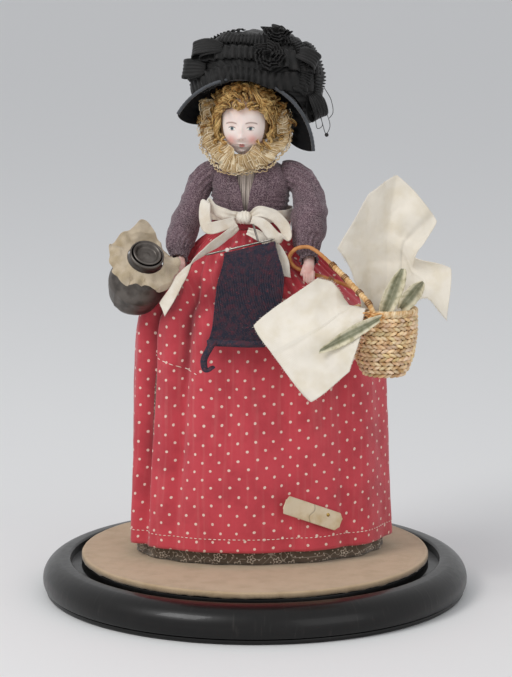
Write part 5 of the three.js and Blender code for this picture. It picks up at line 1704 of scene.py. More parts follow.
@dataclass
class Bodice:
    """The printed jacket's bodice, open in a V over a pleated chemisette, and the stuffed body inside.

    Attributes:
        middle: the body's line.
        foot: the height of its lower edge above the pad; not used.
        cloth: its thickness.
        rows: half widths, half depths and heights above the pad, from the foot to the neck.
    """

    middle: tuple[float, float] = BODY_LINE
    foot: float = 183.0
    cloth: float = 1.2
    rows: tuple[Point, ...] = (
        (19.5, 14, 183),
        (19.5, 14, 189),
        (21, 14.9, 196.1),
        (22, 15.5, 203.1),
        (22.8, 14.5, 210),
        (21.2, 12.5, 215),
        (16.5, 10.9, 218),
        (12.6, 10, 220.5),
        (10.4, 9.6, 222.5),
    )

    def build(self) -> None:
        """Builds the jacket, the chemisette and the torso."""
        self.jacket()
        self.chemisette()
        dress(rounded("torso", CALICO_INNER), "doll", "calico", "torso")

    def gap(self, z: np.ndarray) -> np.ndarray:
        """The V opening's half width at a height."""
        return np.interp(z, (190, 193, 204, 215, 229), (0.15, 0.8, 2.6, 5.5, 12))

    def surface(self, angle: np.ndarray, rows: np.ndarray, out: np.ndarray | float) -> np.ndarray:
        """Points round the body.

        Args:
            angle: the angles in degrees.
            rows: half widths, half depths and heights.
            out: how far outside they lie.

        Returns:
            Rows, columns and x, y, z.
        """
        w, d, z = (rows[:, k][:, None] for k in range(3))
        a = np.radians(angle)
        x, y = self.middle[0] + (w + out) * np.cos(a), self.middle[1] + (d + out) * np.sin(a)
        return spread(x, y, z + PAD_TOP)

    def jacket(self) -> None:
        """The jacket from one edge of its V round the back to the other."""
        rows = spaced(curve(self.rows, 120), 84)
        w, z = rows[:, 0][:, None], rows[:, 2][:, None]
        half = self.gap(z)
        right = np.degrees(np.arccos(np.clip((-1 - half) / w, -1, 1)))
        left = np.degrees(np.arccos(np.clip((-1 + half) / w, -1, 1)))
        share = column_steps(220)
        share = share + 0.035 * np.sin(2 * np.pi * share)
        angle = 360 - left + share * (left + 360 - right)
        flat = self.surface(angle, rows, 0.0)
        edge = np.minimum(share, 1 - share)
        waist = smooth(z, 184, 187) * (1 - smooth(z, 198, 207))
        side = bump(np.abs(around(angle, 270)), 78, 34)
        out = 0.5 * side * waist * np.sin(z * 2.2 + angle * 0.07)
        out += 0.55 * crumple(flat * (1, 1, 1.3), 9, 31) * (0.35 + side) * smooth(z, 184, 190)
        out += 0.18 * noise(flat, 2.6, 33)
        seam = bump(np.abs(around(angle, 270)), 30, 1.4) + bump(np.abs(around(angle, 270)), 118, 1.4)
        out -= 0.35 * seam
        out += 0.75 * bump(edge, 0.006, 0.008) * smooth(z, 190, 194) + 0.25 * bump(edge, 0.022, 0.006)
        out -= 0.4
        points = self.surface(angle, rows, out)
        # Painted shade at the sides under the arms and in the seams' grooves.
        dark = 1 - 0.45 * bump(np.abs(around(angle, 270)), 88, 20) * bump(z, 205, 9) - 0.3 * seam
        tint = grey(np.clip(dark, 0.2, 1))
        piece = sewn("bodice_cloth", points, PURPLE, self.cloth * 0.7, -1, tint=tint)
        dress(piece, "doll", "purple_cotton", "bodice")

    def chemisette(self) -> None:
        """The pale pleated front under the V."""
        z = np.linspace(191, 220.5, 60)
        rows = np.column_stack(
            [np.interp(z, [r[2] for r in self.rows], [r[k] for r in self.rows]) for k in (0, 1)] + [z]
        )
        share = column_steps(90, -1, 1)
        half = np.minimum(self.gap(z)[:, None] + 3.2, 10.2)
        x = share * half - 1
        angle = 360 - np.degrees(np.arccos(np.clip(x / rows[:, 0][:, None], -1, 1)))
        pleat = np.abs(np.sin(x * 2.4)) * 0.5 + 0.2 * noise(spread(x, z[:, None]), 3, 5)
        crease = 0.8 * bump(x + 1, 0, 0.5)
        points = self.surface(angle, rows, -2.4 + pleat - crease)
        # Painted shade in the middle crease and in the pleats' hollows.
        tint = grey(1 - 0.35 * bump(x + 1, 0, 0.5) - 0.25 * (1 - np.abs(np.sin(x * 2.4))))
        piece = sewn("chemisette_cloth", points, TAUPE, 0.5, -1, tint=tint)
        dress(piece, "doll", "cotton_tape", "chemisette")


@dataclass
class Arm:
    """A sleeve with its gathered cuff, and the forearm and hand that come out of it.

    Attributes:
        name: right or left.
        side: -1 for the doll's right arm, 1 for the left.
        line: the arm's line from the shoulder's joint.
        radii: the sleeve's radius along it.
        hand: the wrist's start, the wrist and the knuckles.
        fingers: where the fingers point.
        palm: the direction across the palm.
    """

    name: str
    side: int
    line: tuple[Point, ...]
    radii: tuple[float, ...]
    hand: tuple[Point, ...]
    fingers: Point
    palm: Point

    @property
    def joint(self) -> np.ndarray:
        """Where the shoulder's joint lies."""
        across, high = SHOULDER
        return np.array([BODY_LINE[0] + self.side * across, BODY_LINE[1], high + PAD_TOP])

    @property
    def body(self) -> str:
        """The arm's body."""
        return f"arm_{self.name}"

    def build(self) -> None:
        """Builds the arm from the shoulder down."""
        self.sleeve()
        self.cuff()
        self.bisque()
        inner = f"upper_arm_{self.name}"
        dress(rounded(inner, CALICO_INNER), self.body, "calico", inner)

    def sleeve(self) -> None:
        """The full sleeve with its creases, set into the bodice."""
        line = np.array(self.line, float)
        radii = np.array(self.radii)
        inward = line[0] + np.array([-self.side * 3.5, 0, -0.3])
        path = spaced(curve(np.vstack([inward, line]), 200), 120)
        far = np.linspace(0, 1, len(path))
        knots = np.concatenate(
            [[0], np.cumsum(np.linalg.norm(np.diff(np.vstack([inward, line]), axis=0), axis=1))]
        )
        sizes = np.column_stack([knots / knots[-1], np.concatenate([[radii[0] - 1.4], radii])])
        radius = np.interp(far, *curve(sizes, 200).T) - 0.35

        def wave(t: np.ndarray, a: np.ndarray) -> np.ndarray:
            """Gathers at both ends and slanting creases between them.

            Args:
                t: the share of the way.
                a: the angle round the sleeve.

            Returns:
                What to add to the radius.
            """
            top = bump(t, 0.13, 0.12) * 0.55 * np.cos(13 * a + 1)
            wrist = bump(t, 1.0, 0.16) * 0.75 * np.cos(15 * a)
            slant = bump(t, 0.62, 0.25) * (0.6 + 0.4 * np.cos(a))
            spiral = 0.6 * np.sin(26 * t + 1.6 * np.sin(a + self.side)) * slant
            return top + wrist + spiral

        points = tube_rings(path, radius, 84, (0, 1, 0.2), wave=wave)
        middle = path[:, None]
        push = 0.7 * crumple(points, 8, 41 + self.side) + 0.25 * noise(points, 2.4, 43)
        points = points + unit(points - middle) * (push * smooth(far, 0.06, 0.2)[:, None])[..., None]
        # Painted shade in the creases, and painted light on their ridges.
        crease = crumple(points, 8, 41 + self.side)
        tint = grey(np.clip(0.9 + 0.16 * crease, 0.55, 1.05))
        name = f"sleeve_{self.name}_cloth"
        piece = sewn(name, points + self.joint, PURPLE, 0.8, -1, wrap=True, tint=tint)
        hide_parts(f"sleeve_{self.name}")
        self.body
        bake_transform(piece)
        log.info("%s: blended from the bodice", piece.name)

    def cuff(self) -> None:
        """The gathered ruffle at the wrist."""
        line = curve(self.line, 200)
        along = unit(line[-1] - line[-3])
        t = np.linspace(-0.6, 5.0, 26)
        path = line[-1] + t[:, None] * along
        base = np.interp(t, (-0.6, 0.6, 1.4, 5), (4.7, 4.5, 4.2, 5.0))

        def wave(share: np.ndarray, a: np.ndarray) -> np.ndarray:
            """Ruffles that open towards the hand."""
            return (0.2 + 0.75 * share) * np.cos(14 * a + 1.5 * np.sin(2 * a)) * 0.62

        points = tube_rings(path, base, 150, (0, 1, 0.2), wave=wave)
        points += 0.25 * shaken(points, 3, 51)
        # Painted light on the ruffles' ridges and painted shade between them.
        ridge = np.cos(14 * full_turn(150))[None, :]
        tint = grey(0.78 + 0.2 * ridge)
        name = f"cuff_{self.name}_cloth"
        piece = sewn(name, points + self.joint, PURPLE, 0.45, -1, wrap=True, tint=tint)
        dress(piece, self.body, "purple_cotton", f"cuff_{self.name}")

    def bisque(self) -> None:
        """The forearm and the hand, cast in one."""
        along = unit(np.array(self.fingers, float))
        wide = unit(np.array(self.palm, float) - along * np.dot(self.palm, along))
        deep = np.cross(along, wide)
        start, wrist, knuckles = (np.array(p, float) for p in self.hand)
        shape = Shape()

        def limb(
            points: list[np.ndarray],
            radii: Sequence[float],
            flat: float = 1.0,
            across: Point = (1, 0, 0.02),
        ) -> None:
            """Adds a rounded limb with a closed round tip.

            Args:
                points: the points.
                radii: its radii along the way.
                flat: its depth as a share of its width.
                across: the direction across it.
            """
            path = spaced(curve(points, 80), 40)
            share = np.linspace(0, 1, 40)
            radius = np.interp(share, np.linspace(0, 1, len(radii)), radii)
            tip = np.sqrt(np.clip(1 - smooth(share, 0.86, 1.02) ** 2, 0.02, 1))
            shape.grid(tube_rings(path + self.joint, radius * tip, 20, across, flat), wrap=True, caps=True)

        limb([np.array(self.line[3]), np.array(self.line[4]), start, wrist], [3.5, 3.2, 2.6, 2.7])
        limb([start, wrist, knuckles, knuckles + along], [2.6, 3.1, 2.9, 2.3], 0.6, wide)
        for place in (-1.5, -0.5, 0.5, 1.5):
            root = knuckles + wide * place * 1.5 - along * 1.6
            reach = 7 - 0.8 * abs(place)
            bend = root + along * reach * 0.55 + deep * 0.35
            tip = root + along * reach - deep * 0.5
            limb([root, bend, tip], [1.15, 1.08, 0.98, 0.86])
        root = wrist - wide * 1.9 * self.side
        tip = root - wide * 2.2 * self.side + along * 5.8
        limb([root, (root + tip) / 2 + deep * 0.3, tip], [1.5, 1.3, 1.0])
        piece = fused(shape.mesh(f"forearm_{self.name}_bisque", HAND), 0.26, 3)
        dress(piece, self.body, "bisque", f"forearm_{self.name}")


RIGHT_ARM = Arm(
    "right",
    -1,
    ((1.5, 0, -0.4), (-4.6, -1, -6), (-8.6, -3, -15), (-12.6, -8, -28), (-14.5, -15, -37), (-14, -22, -43)),
    (7.4, 7.4, 7, 8.6, 7.6, 5),
    ((-14, -19, -41), (-11.2, -32, -50), (-13.4, -42.5, -54.5)),
    (-0.62, -0.7, -0.36),
    (0.2, 0.3, 0.93),
)
LEFT_ARM = Arm(
    "left",
    1,
    ((-1.5, 0, -0.2), (6, -1, -5), (10, -4, -14), (10.8, -11, -26), (10.8, -17.5, -36), (12, -23, -41.5)),
    (7.6, 8, 9, 10.2, 8, 5),
    ((11.7, -20.5, -40), (12.8, -27.5, -47.5), (13, -29.5, -52)),
    (0.02, -0.25, -0.96),
    (1, 0, 0),
)


@dataclass
class Legs:
    """The stuffed thighs and the glazed lower legs, hidden under the skirts."""

    def build(self) -> None:
        """Dresses both legs."""
        for name in ("right", "left"):
            thigh = f"thigh_{name}"
            dress(rounded(thigh, CALICO_INNER), f"leg_{name}", "calico", thigh)
            repaint_node(f"lower_leg_{name}", BOOT)


# The head


class Paint(Enum):
    """The colours of the painted face."""

    BLUSH = "E48E88"
    LID_SHADE = "E7BFB8"
    EYE_WHITE = "F4F2F0"
    IRIS = "5C6E7C"
    PUPIL = "15181C"
    LASH_LINE = "3A2A28"
    LOWER_LID = "A5766E"
    BROW = "7A5040"
    UPPER_LIP = "B5524F"
    LOWER_LIP = "C0625D"
    MOUTH_LINE = "7C2F30"
    NOSTRIL = "B4706A"
    HAIRLINE = "CDA488"


@dataclass
class Head:
    """The bisque shoulder head with its painted face.

    Attributes:
        middle: the head's middle.
        size: its half sizes.
        face: the x of the face's middle line.
        eye: how far an eye lies beside that line.
        ground: the colour that the paints are reckoned from.
    """

    middle: Place = HEAD_MIDDLE
    size: Place = (14.5, 16.5, 20.0)
    face: float = -5.6
    eye: float = 5.2
    ground: str = "EFE0E0"

    def build(self) -> None:
        """Casts the head and paints it."""
        shape = Shape()
        self.skull(shape)
        neck = spaced(curve([(-2.6, 2.6, 238), (-3.4, 3.0, 245), (-4.6, 3.4, 254)], 40), 30)
        flare = 6.2 + 3.2 * bump(np.linspace(0, 1, 30), 0, 0.3)
        shape.grid(tube_rings(neck, flare, 60), wrap=True, caps=True)
        body = np.array(
            [(18.4, 10.4, 226), (19.5, 10.6, 230), (18.4, 9.2, 236.3), (13.2, 7.4, 240), (8, 6.4, 243.2)]
        )
        rows = spaced(curve(body, 60), 40)
        a = full_turn(120)
        w, d, z = (rows[:, k][:, None] for k in range(3))
        x, y = BODY_LINE[0] + w * np.cos(a), BODY_LINE[1] + d * np.sin(a)
        shape.grid(spread(x, y, z), wrap=True, caps=True)
        piece = fused(shape.mesh("shoulder_head_bisque", BISQUE), 0.34, 4)
        self.paint(piece)
        dress(piece, "doll", "bisque", "shoulder_head")
        repaint_node("crown_pate", CORK)

    def skull(self, shape: Shape) -> None:
        """The head, flat enough at the front for an upright face, and open under the pate.

        Args:
            shape: where it goes.
        """
        high = np.linspace(-1, 0.6, 90)
        tilt = np.clip(high, -0.999, 1)
        ring = (1 - np.abs(tilt) ** 2.6) ** (1 / 2.6)
        a = full_turn(160)[None, :]
        jaw = (1 - 0.19 * smooth(-tilt, 0.2, 1.0))[:, None]
        front = smooth(-np.sin(a), 0.0, 0.8)
        round_ring = np.sqrt(1 - tilt**2)
        deep = ring[:, None] * front + round_ring[:, None] * (1 - front)
        x = self.middle[0] + self.size[0] * np.cos(a) * (0.65 * ring + 0.35 * round_ring)[:, None] * jaw
        y = self.middle[1] + self.size[1] * np.sin(a) * deep * (0.35 + 0.65 * jaw)
        shape.grid(spread(x, y, self.middle[2] + self.size[2] * tilt[:, None]), wrap=True, caps=True)

    def relief(self, dx: np.ndarray, dz: np.ndarray) -> np.ndarray:
        """How far the face stands out at a place beside the middle line and above the eyes' middle.

        Args:
            dx: how far beside the middle line.
            dz: how far above the eyes' middle.

        Returns:
            The heights.
        """
        side = np.abs(dx)
        beside = side - self.eye
        bridge = 0.75 * bump(dx, 0, 1.4) * bump(dz, -5.2, 3.2)
        tip = 2.1 * bump(dx, 0, 1.6) * bump(dz, -9.3, 1.7)
        wings = 0.65 * bump(side, 1.45, 0.8) * bump(dz, -9.9, 0.9)
        sockets = -1.0 * bump(side, self.eye, 2.8) * bump(dz, -3.9, 2.0)
        balls = 0.8 * bump(side, self.eye, 1.9) * bump(dz, -4.4, 1.2)
        lids = 0.3 * bump(side, self.eye, 2.2) * bump(dz, -3.35 + 0.09 * beside**2 * -1, 0.35)
        cheeks = 1.0 * bump(side, 6.3, 3.6) * bump(dz, -10.2, 3.4)
        upper = 0.75 * bump(dx, 0, 2.2) * bump(dz, -13.0, 0.6)
        lower = 0.85 * bump(dx, 0, 1.8) * bump(dz, -14.4, 0.7)
        parting = -0.5 * bump(dx, 0, 2.4) * bump(dz, -13.7, 0.3)
        chin = 1.5 * bump(dx, 0, 3.0) * bump(dz, -17.6, 2.0) - 0.45 * bump(dx, 0, 2.4) * bump(dz, -15.9, 0.8)
        return bridge + tip + wings + sockets + balls + lids + cheeks + upper + lower + parting + chin

    def paint(self, piece: bpy.types.Object) -> None:
        """Moulds the features and paints the face on the cast.

        Args:
            piece: the piece.
        """
        count = len(piece.data.vertices)
        co = np.empty(count * 3, np.float32)
        piece.data.vertices.foreach_get("co", co)
        co = co.reshape(-1, 3).astype(float) / MM
        dx, dz = co[:, 0] - self.face, co[:, 2] - self.middle[2]
        near = smooth(self.middle[1] - co[:, 1], 3, 8) * smooth(dz, -21.5, -19)
        co[:, 1] -= self.relief(dx, dz) * near
        piece.data.vertices.foreach_set("co", (co * MM).astype(np.float32).ravel())
        tint = np.ones((count, 3))
        side = np.abs(dx)
        beside = side - self.eye

        def stroke(mask: np.ndarray, colour: Paint, strength: float) -> None:
            """Lays paint on the cast."""
            share = (np.clip(mask, 0, 1) * strength * near)[:, None]
            tint[:] = tint * (1 - share) + rgb(colour.value) / rgb(self.ground) * share

        stroke(bump(side, 6.0, 2.9) * bump(dz, -10.6, 2.8), Paint.BLUSH, 0.62)
        stroke(bump(side, self.eye, 2.6) * bump(dz, -2.6, 1.2), Paint.LID_SHADE, 0.35)
        white = smooth(1.0 - np.hypot((side - self.eye) / 2.0, (dz + 4.4) / 1.05), 0, 0.25)
        stroke(white, Paint.EYE_WHITE, 0.9)
        iris = smooth(1.12 - np.hypot(side - 5.15, (dz + 4.3)), 0, 0.3)
        stroke(iris * (dz < -3.4), Paint.IRIS, 1.0)
        stroke(smooth(0.58 - np.hypot(side - 5.15, (dz + 4.3)), 0, 0.25), Paint.PUPIL, 1.0)
        lid = bump(dz, -3.3 - 0.16 * beside**2, 0.3) * smooth(2.3 - np.abs(beside), 0, 0.5)
        stroke(lid, Paint.LASH_LINE, 0.95)
        lower_lid = bump(dz, -5.35 + 0.14 * beside**2, 0.2) * smooth(1.9 - np.abs(beside), 0, 0.5)
        stroke(lower_lid, Paint.LOWER_LID, 0.6)
        brow = bump(dz, -1.0 - 0.07 * (side - 5.4) ** 2, 0.34) * smooth(3.5 - np.abs(side - 5.6), 0, 0.8)
        stroke(brow, Paint.BROW, 0.85)
        bow = 0.42 - 0.22 * np.abs(np.abs(dx) - 0.75) - 0.06 * side**2
        stroke(smooth(bow - np.abs(dz + 13.1), -0.1, 0.25), Paint.UPPER_LIP, 0.95)
        stroke(smooth(0.55 - 0.14 * side**2 - np.abs(dz + 14.2), -0.1, 0.25), Paint.LOWER_LIP, 0.9)
        stroke(bump(dz, -13.65, 0.2) * smooth(1.9 - side, 0, 0.4), Paint.MOUTH_LINE, 0.8)
        stroke(bump(side, 0.95, 0.35) * bump(dz, -10.4, 0.3), Paint.NOSTRIL, 0.6)
        stroke(smooth(dz, 2.0, 6.5), Paint.HAIRLINE, 0.5)
        put_tint(piece, tint)


def put_tint(piece: bpy.types.Object, tint: np.ndarray) -> None:
    """Writes a colour for each point of a piece.

    Args:
        piece: the piece.
        tint: a colour for each point.
    """
    known = piece.data.attributes.get("tint")
    if known:
        piece.data.attributes.remove(known)
    layer = piece.data.attributes.new("tint", "FLOAT_COLOR", "POINT")
    layer.data.foreach_set("color", np.column_stack([tint, np.ones(len(tint))]).astype(np.float32).ravel())


@dataclass
class Wig:
    """Blonde mohair in curls round the face and waves over the head.

    Attributes:
        middle: the head's middle.
        cap: the half sizes of the cap that the hair grows from.
        locks: how many long waves it has.
        ringlets: how many small curls frame the face.
        seed: picks where they lie.
    """

    middle: Place = HEAD_MIDDLE
    cap: Place = (15.9, 17.9, 21.3)
    locks: int = 56
    ringlets: int = 84
    seed: int = 8

    def build(self) -> None:
        """Builds the cap and the hair."""
        rng = np.random.default_rng(self.seed)
        self.scalp()
        long_hair, curls = Shape(), Shape()
        for lock in range(self.locks):
            self.lock(long_hair, lock, rng)
        for number in range(self.ringlets):
            self.ringlet(curls, number, rng)
        dress(long_hair.mesh("wig_hair", MOHAIR), "doll", "mohair", "wig")
        dress(curls.mesh("wig_curls", MOHAIR), "doll", "mohair")

    def scalp(self) -> None:
        """The woven cap below the hair, open at the face, tinted dark brown as painted shade between the
        curls.
        """
        a = column_steps(90, -72, 252)
        tilt = row_steps(60, -0.5, 0.96)
        ring = np.sqrt(1 - tilt**2)
        face = 1 - smooth(tilt, 0.25, 0.45)
        angle = np.radians(90 + (a - 90) * (1 - 0.22 * face))
        w, d, h = self.cap
        x = self.middle[0] + (w - 0.6) * ring * np.cos(angle)
        y = self.middle[1] + (d - 0.6) * ring * np.sin(angle)
        points = spread(x, y, self.middle[2] + (h - 0.6) * tilt)
        # The dark brown tint is painted shade seen between the curls.
        dress(sewn("wig_cap", points, MOHAIR, 0.5, -1, tint=(0.16, 0.09, 0.04)), "doll", "mohair")

    def on_cap(self, angle: np.ndarray, high: np.ndarray, lift: np.ndarray | float) -> np.ndarray:
        """A point over the cap.

        Args:
            angle: in degrees, 270 at the front.
            high: its height, -1 to 1.
            lift: how far it lies over the cap.

        Returns:
            Points.
        """
        ring = np.sqrt(np.clip(1 - high**2, 0, 1))
        a = np.radians(angle)
        w, d, h = self.cap
        out = np.stack([(w + lift) * ring * np.cos(a), (d + lift) * ring * np.sin(a), (h + lift) * high], -1)
        return out + self.middle

    def lock(self, shape: Shape, number: int, rng: np.random.Generator) -> None:
        """One long wave from the parting down the side of the head.

        Args:
            shape: where it goes.
            number: its number.
            rng: gives its unevenness.
        """
        side = -1 if number % 2 else 1
        share = (number // 2) / (self.locks / 2 - 1)
        t = np.linspace(0, 1, 20)
        root = 270 + side * (6 + 8 * share)
        goal = 270 + side * (61 + 116 * share)
        angle = root + (goal - root) * smooth(t, -0.1, 0.75)
        high = 0.93 - (1.42 - 0.25 * share) * t**1.15
        high = high - 0.12 * np.sin(np.pi * t) * (1 - share)
        swing = 1.2 * np.sin(2 * np.pi * (t * 2.6 + rng.random())) * smooth(t, 0.15, 0.5)
        core = self.on_cap(angle + swing * 3.2, high, 1.0 + 0.5 * rng.random() + 0.8 * smooth(t, 0.4, 1))
        # Fewer bright strands towards the back of the head: painted shade under the bonnet.
        self.curl(shape, core, 1.5, 2.2, 24, rng, 0.55 - 0.3 * share)

    def ringlet(self, shape: Shape, number: int, rng: np.random.Generator) -> None:
        """One small curl beside the face or over the forehead.

        Args:
            shape: where it goes.
            number: its number.
            rng: gives its unevenness.
        """
        ring = number % 3
        share = (number // 3 + 0.5) / (self.ringlets // 3) * 2 - 1
        turn = math.radians(share * 146 + rng.normal(0, 3))
        reach = (0.94, 1.06, 1.18)[ring] * rng.uniform(0.96, 1.04)
        top = 1 - smooth(abs(share), 0.15, 0.5)
        rise = 15.0 - 0.6 * abs(share) - (5.0, 3.0, 0.8)[ring] * top
        x, z = 17.2 * reach * math.sin(turn), rise * reach * math.cos(turn)
        w, d, h = self.cap
        y = -d * math.sqrt(max(1 - (x / w) ** 2 - (z / h) ** 2, 0.03))
        out = unit(np.array((x / w**2, y / d**2, z / h**2)))
        foot = np.array(self.middle) + (x, y, z) + out * (0.6 + 0.9 * ring)
        fall = unit(np.array((math.sin(turn) * 0.5 + rng.normal(0, 0.3), -0.25, -1 + 0.7 * top)))
        fall = unit(fall - out * min(float(fall @ out), 0))
        side = unit(np.cross(fall, out))
        t = row_steps(22)
        wind = 2 * np.pi * rng.uniform(1.3, 2.1) * t * rng.choice((-1, 1)) + rng.random() * 6
        size = rng.uniform(1.3, 2.1) * (1 - 0.35 * t)
        length = (6.0 + 3.5 * (1 - top)) * rng.uniform(0.8, 1.15)
        core = foot + fall * (t - 0.3) * length + (side * np.cos(wind) + out * np.sin(wind)) * size
        # Fewer bright strands in the outer ringlets, nearer the brim: painted shade.
        self.curl(shape, core, 0.85, 1.2, 15, rng, 0.55 - 0.12 * ring)

    def curl(
        self,
        shape: Shape,
        core: np.ndarray,
        width: float,
        turns: float,
        count: int,
        rng: np.random.Generator,
        gold: float,
    ) -> None:
        """Strands that wind round a curl's core.

        Args:
            shape: where they go.
            core: the curl's middle line.
            width: its radius.
            turns: how often a strand winds round it.
            count: how many strands it has.
            rng: gives the strands their places.
            gold: the share of bright strands, lowered where painted shade falls.
        """
        t = np.linspace(0, 1, len(core))
        along, side, deep = across_path(core, (0.2, 1, 0.1))
        phase = rng.random(count)[:, None] * 2 * np.pi
        belly = (0.55 + 0.6 * np.sin(np.pi * np.clip(t, 0, 1)))[None, :]
        r = width * np.sqrt(rng.random(count))[:, None] * belly
        a = phase + t[None, :] * turns * 2 * np.pi * (0.8 + 0.4 * rng.random((count, 1)))
        stray = 0.3 * rng.standard_normal((count, 1, 3)) * t[None, :, None]
        winding = side[None] * (r * np.cos(a))[..., None] + deep[None] * (r * np.sin(a))[..., None]
        lines = core[None] + winding + stray
        radius = 0.17 * (0.35 + 0.75 * np.sin(np.pi * np.clip(t * 0.9 + 0.08, 0, 1)))[None, :]
        bright, mid, dark = (rgb(c) for c in ("F3D28E", "C08E48", "5F3D22"))
        pick = rng.random(count)[:, None]
        colour = np.where(pick < gold, bright, np.where(pick < 0.82, mid, dark))
        tint = colour * (0.85 + 0.3 * rng.random((count, 1)))
        shape.thread(lines, radius, 3, tint)


@dataclass
class Lace:
    """The ecru lace round the face: a band of braided threads with loops at its edge.

    Attributes:
        half: its half width.
        drop: how far it hangs below the head's middle.
        middle: the head's middle.
        seed: picks its crumples.
        threads: how many threads cross in a layer.
        layers: how far each layer lies before the core.
    """

    half: float = 24.2
    drop: float = 27.4
    middle: Place = HEAD_MIDDLE
    seed: int = 5
    threads: int = 8
    layers: tuple[float, ...] = (-1.1, 0.2, 1.3)

    def build(self) -> None:
        """Braids the lace."""
        rng = np.random.default_rng(self.seed)
        w, d = self.half, self.drop
        line = [
            (-0.97 * w, -3.5, 11),
            (-w, -4, 0),
            (-0.98 * w, -5, -0.36 * d),
            (-0.82 * w, -9, -0.67 * d),
            (-0.46 * w, -15, -0.92 * d),
            (-0.08 * w, -17, -d),
            (0.37 * w, -15, -0.93 * d),
            (0.76 * w, -9, -0.7 * d),
            (0.97 * w, -5, -0.42 * d),
            (w, -4, -2),
            (0.95 * w, -3.5, 5),
        ]
        core = spaced(curve(line, 600), 480)
        out = unit(np.column_stack([core[:, 0], 0 * core[:, 0], np.minimum(core[:, 2] + 0.33 * d, 0)]))
        core = core + self.middle
        width = 6.2 + 5.8 * smooth(-out[:, 2], 0.05, 0.45) - 3.6 * smooth(-out[:, 2], 0.76, 1.0)
        t = np.linspace(0, 1, len(core))
        shape = Shape()
        for layer, lift in enumerate(self.layers):
            self.band(shape, core, out, width, t, lift, layer, rng)
        made = shape.mesh("lace_braid", LACE)
        dress(made, "doll", "lace", "lace_frill")

    def band(
        self,
        shape: Shape,
        core: np.ndarray,
        out: np.ndarray,
        width: np.ndarray,
        t: np.ndarray,
        lift: float,
        layer: int,
        rng: np.random.Generator,
    ) -> None:
        """One layer of braid: threads that cross, cords along both sides and loops outside.

        Args:
            shape: where it goes.
            core: the lace's outer line.
            out: the direction outwards at each point.
            width: the band's width at each point.
            t: the share of the way.
            lift: how far before the core it lies.
            layer: its number, for the pattern.
            rng: gives its faults.
        """
        lines = []
        waves = 46 + 5 * layer
        for number in range(self.threads):
            phase = number / self.threads * 2 * np.pi
            across = 0.5 + 0.47 * np.sin(waves * np.pi * t + phase)
            lines.append(across)
        lines += [0.02, 0.98, 0.5 + 0.06 * np.sin(90 * t)]
        loops = -0.07 - 0.13 * np.abs(np.sin((44 + 3 * layer) * np.pi * t))
        lines.append(loops)
        paths, radii = [], []
        for number, across in enumerate(lines):
            path = core - out * (across * width)[:, None]
            fold = 1.7 * np.sin(2 * np.pi * (t * (8 + layer) + 0.4 * across + 0.3 * layer))
            forward = lift * 0.9 + fold * 0.55 + 0.35 * np.sin(waves * np.pi * t + number)
            path = path + (0, 1.0, 0) * forward[:, None]
            path = path + out * (0.9 * np.sin(2 * np.pi * t * (5 + layer) + layer))[:, None] * 0.8
            paths.append(path + 1.5 * shaken(path, 5, 61 + layer))
            radii.append([0.24 if number >= self.threads else 0.21])
        shades = [rgb(c) / rgb("DCC69C") for c in ("F2E4C6", "D8BF95", "B99A6C")]
        tint = np.array([shades[int(k)] for k in rng.integers(0, 3, len(paths))])
        shape.thread(np.array(paths)[:, ::2], np.array(radii), 5, tint)


# The bonnet


def loft(rings: np.ndarray, name: str) -> bpy.types.Object:
    """A closed tool for cutting, from rings."""
    return Shape().grid(rings, wrap=True, caps=True).mesh(name, LINING)


def carved(piece: bpy.types.Object, tool: bpy.types.Object) -> bpy.types.Object:
    """Cuts a tool's shape out of a piece, and drops the tool.

    Args:
        piece: the piece.
        tool: the shape to take away.

    Returns:
        The piece, as a plain mesh.
    """
    knife = piece.modifiers.new("cut", "BOOLEAN")
    knife.operation = "DIFFERENCE"
    knife.object = tool
    knife.solver = "EXACT"
    settled(piece)
    bpy.data.meshes.remove(tool.data)
    return piece


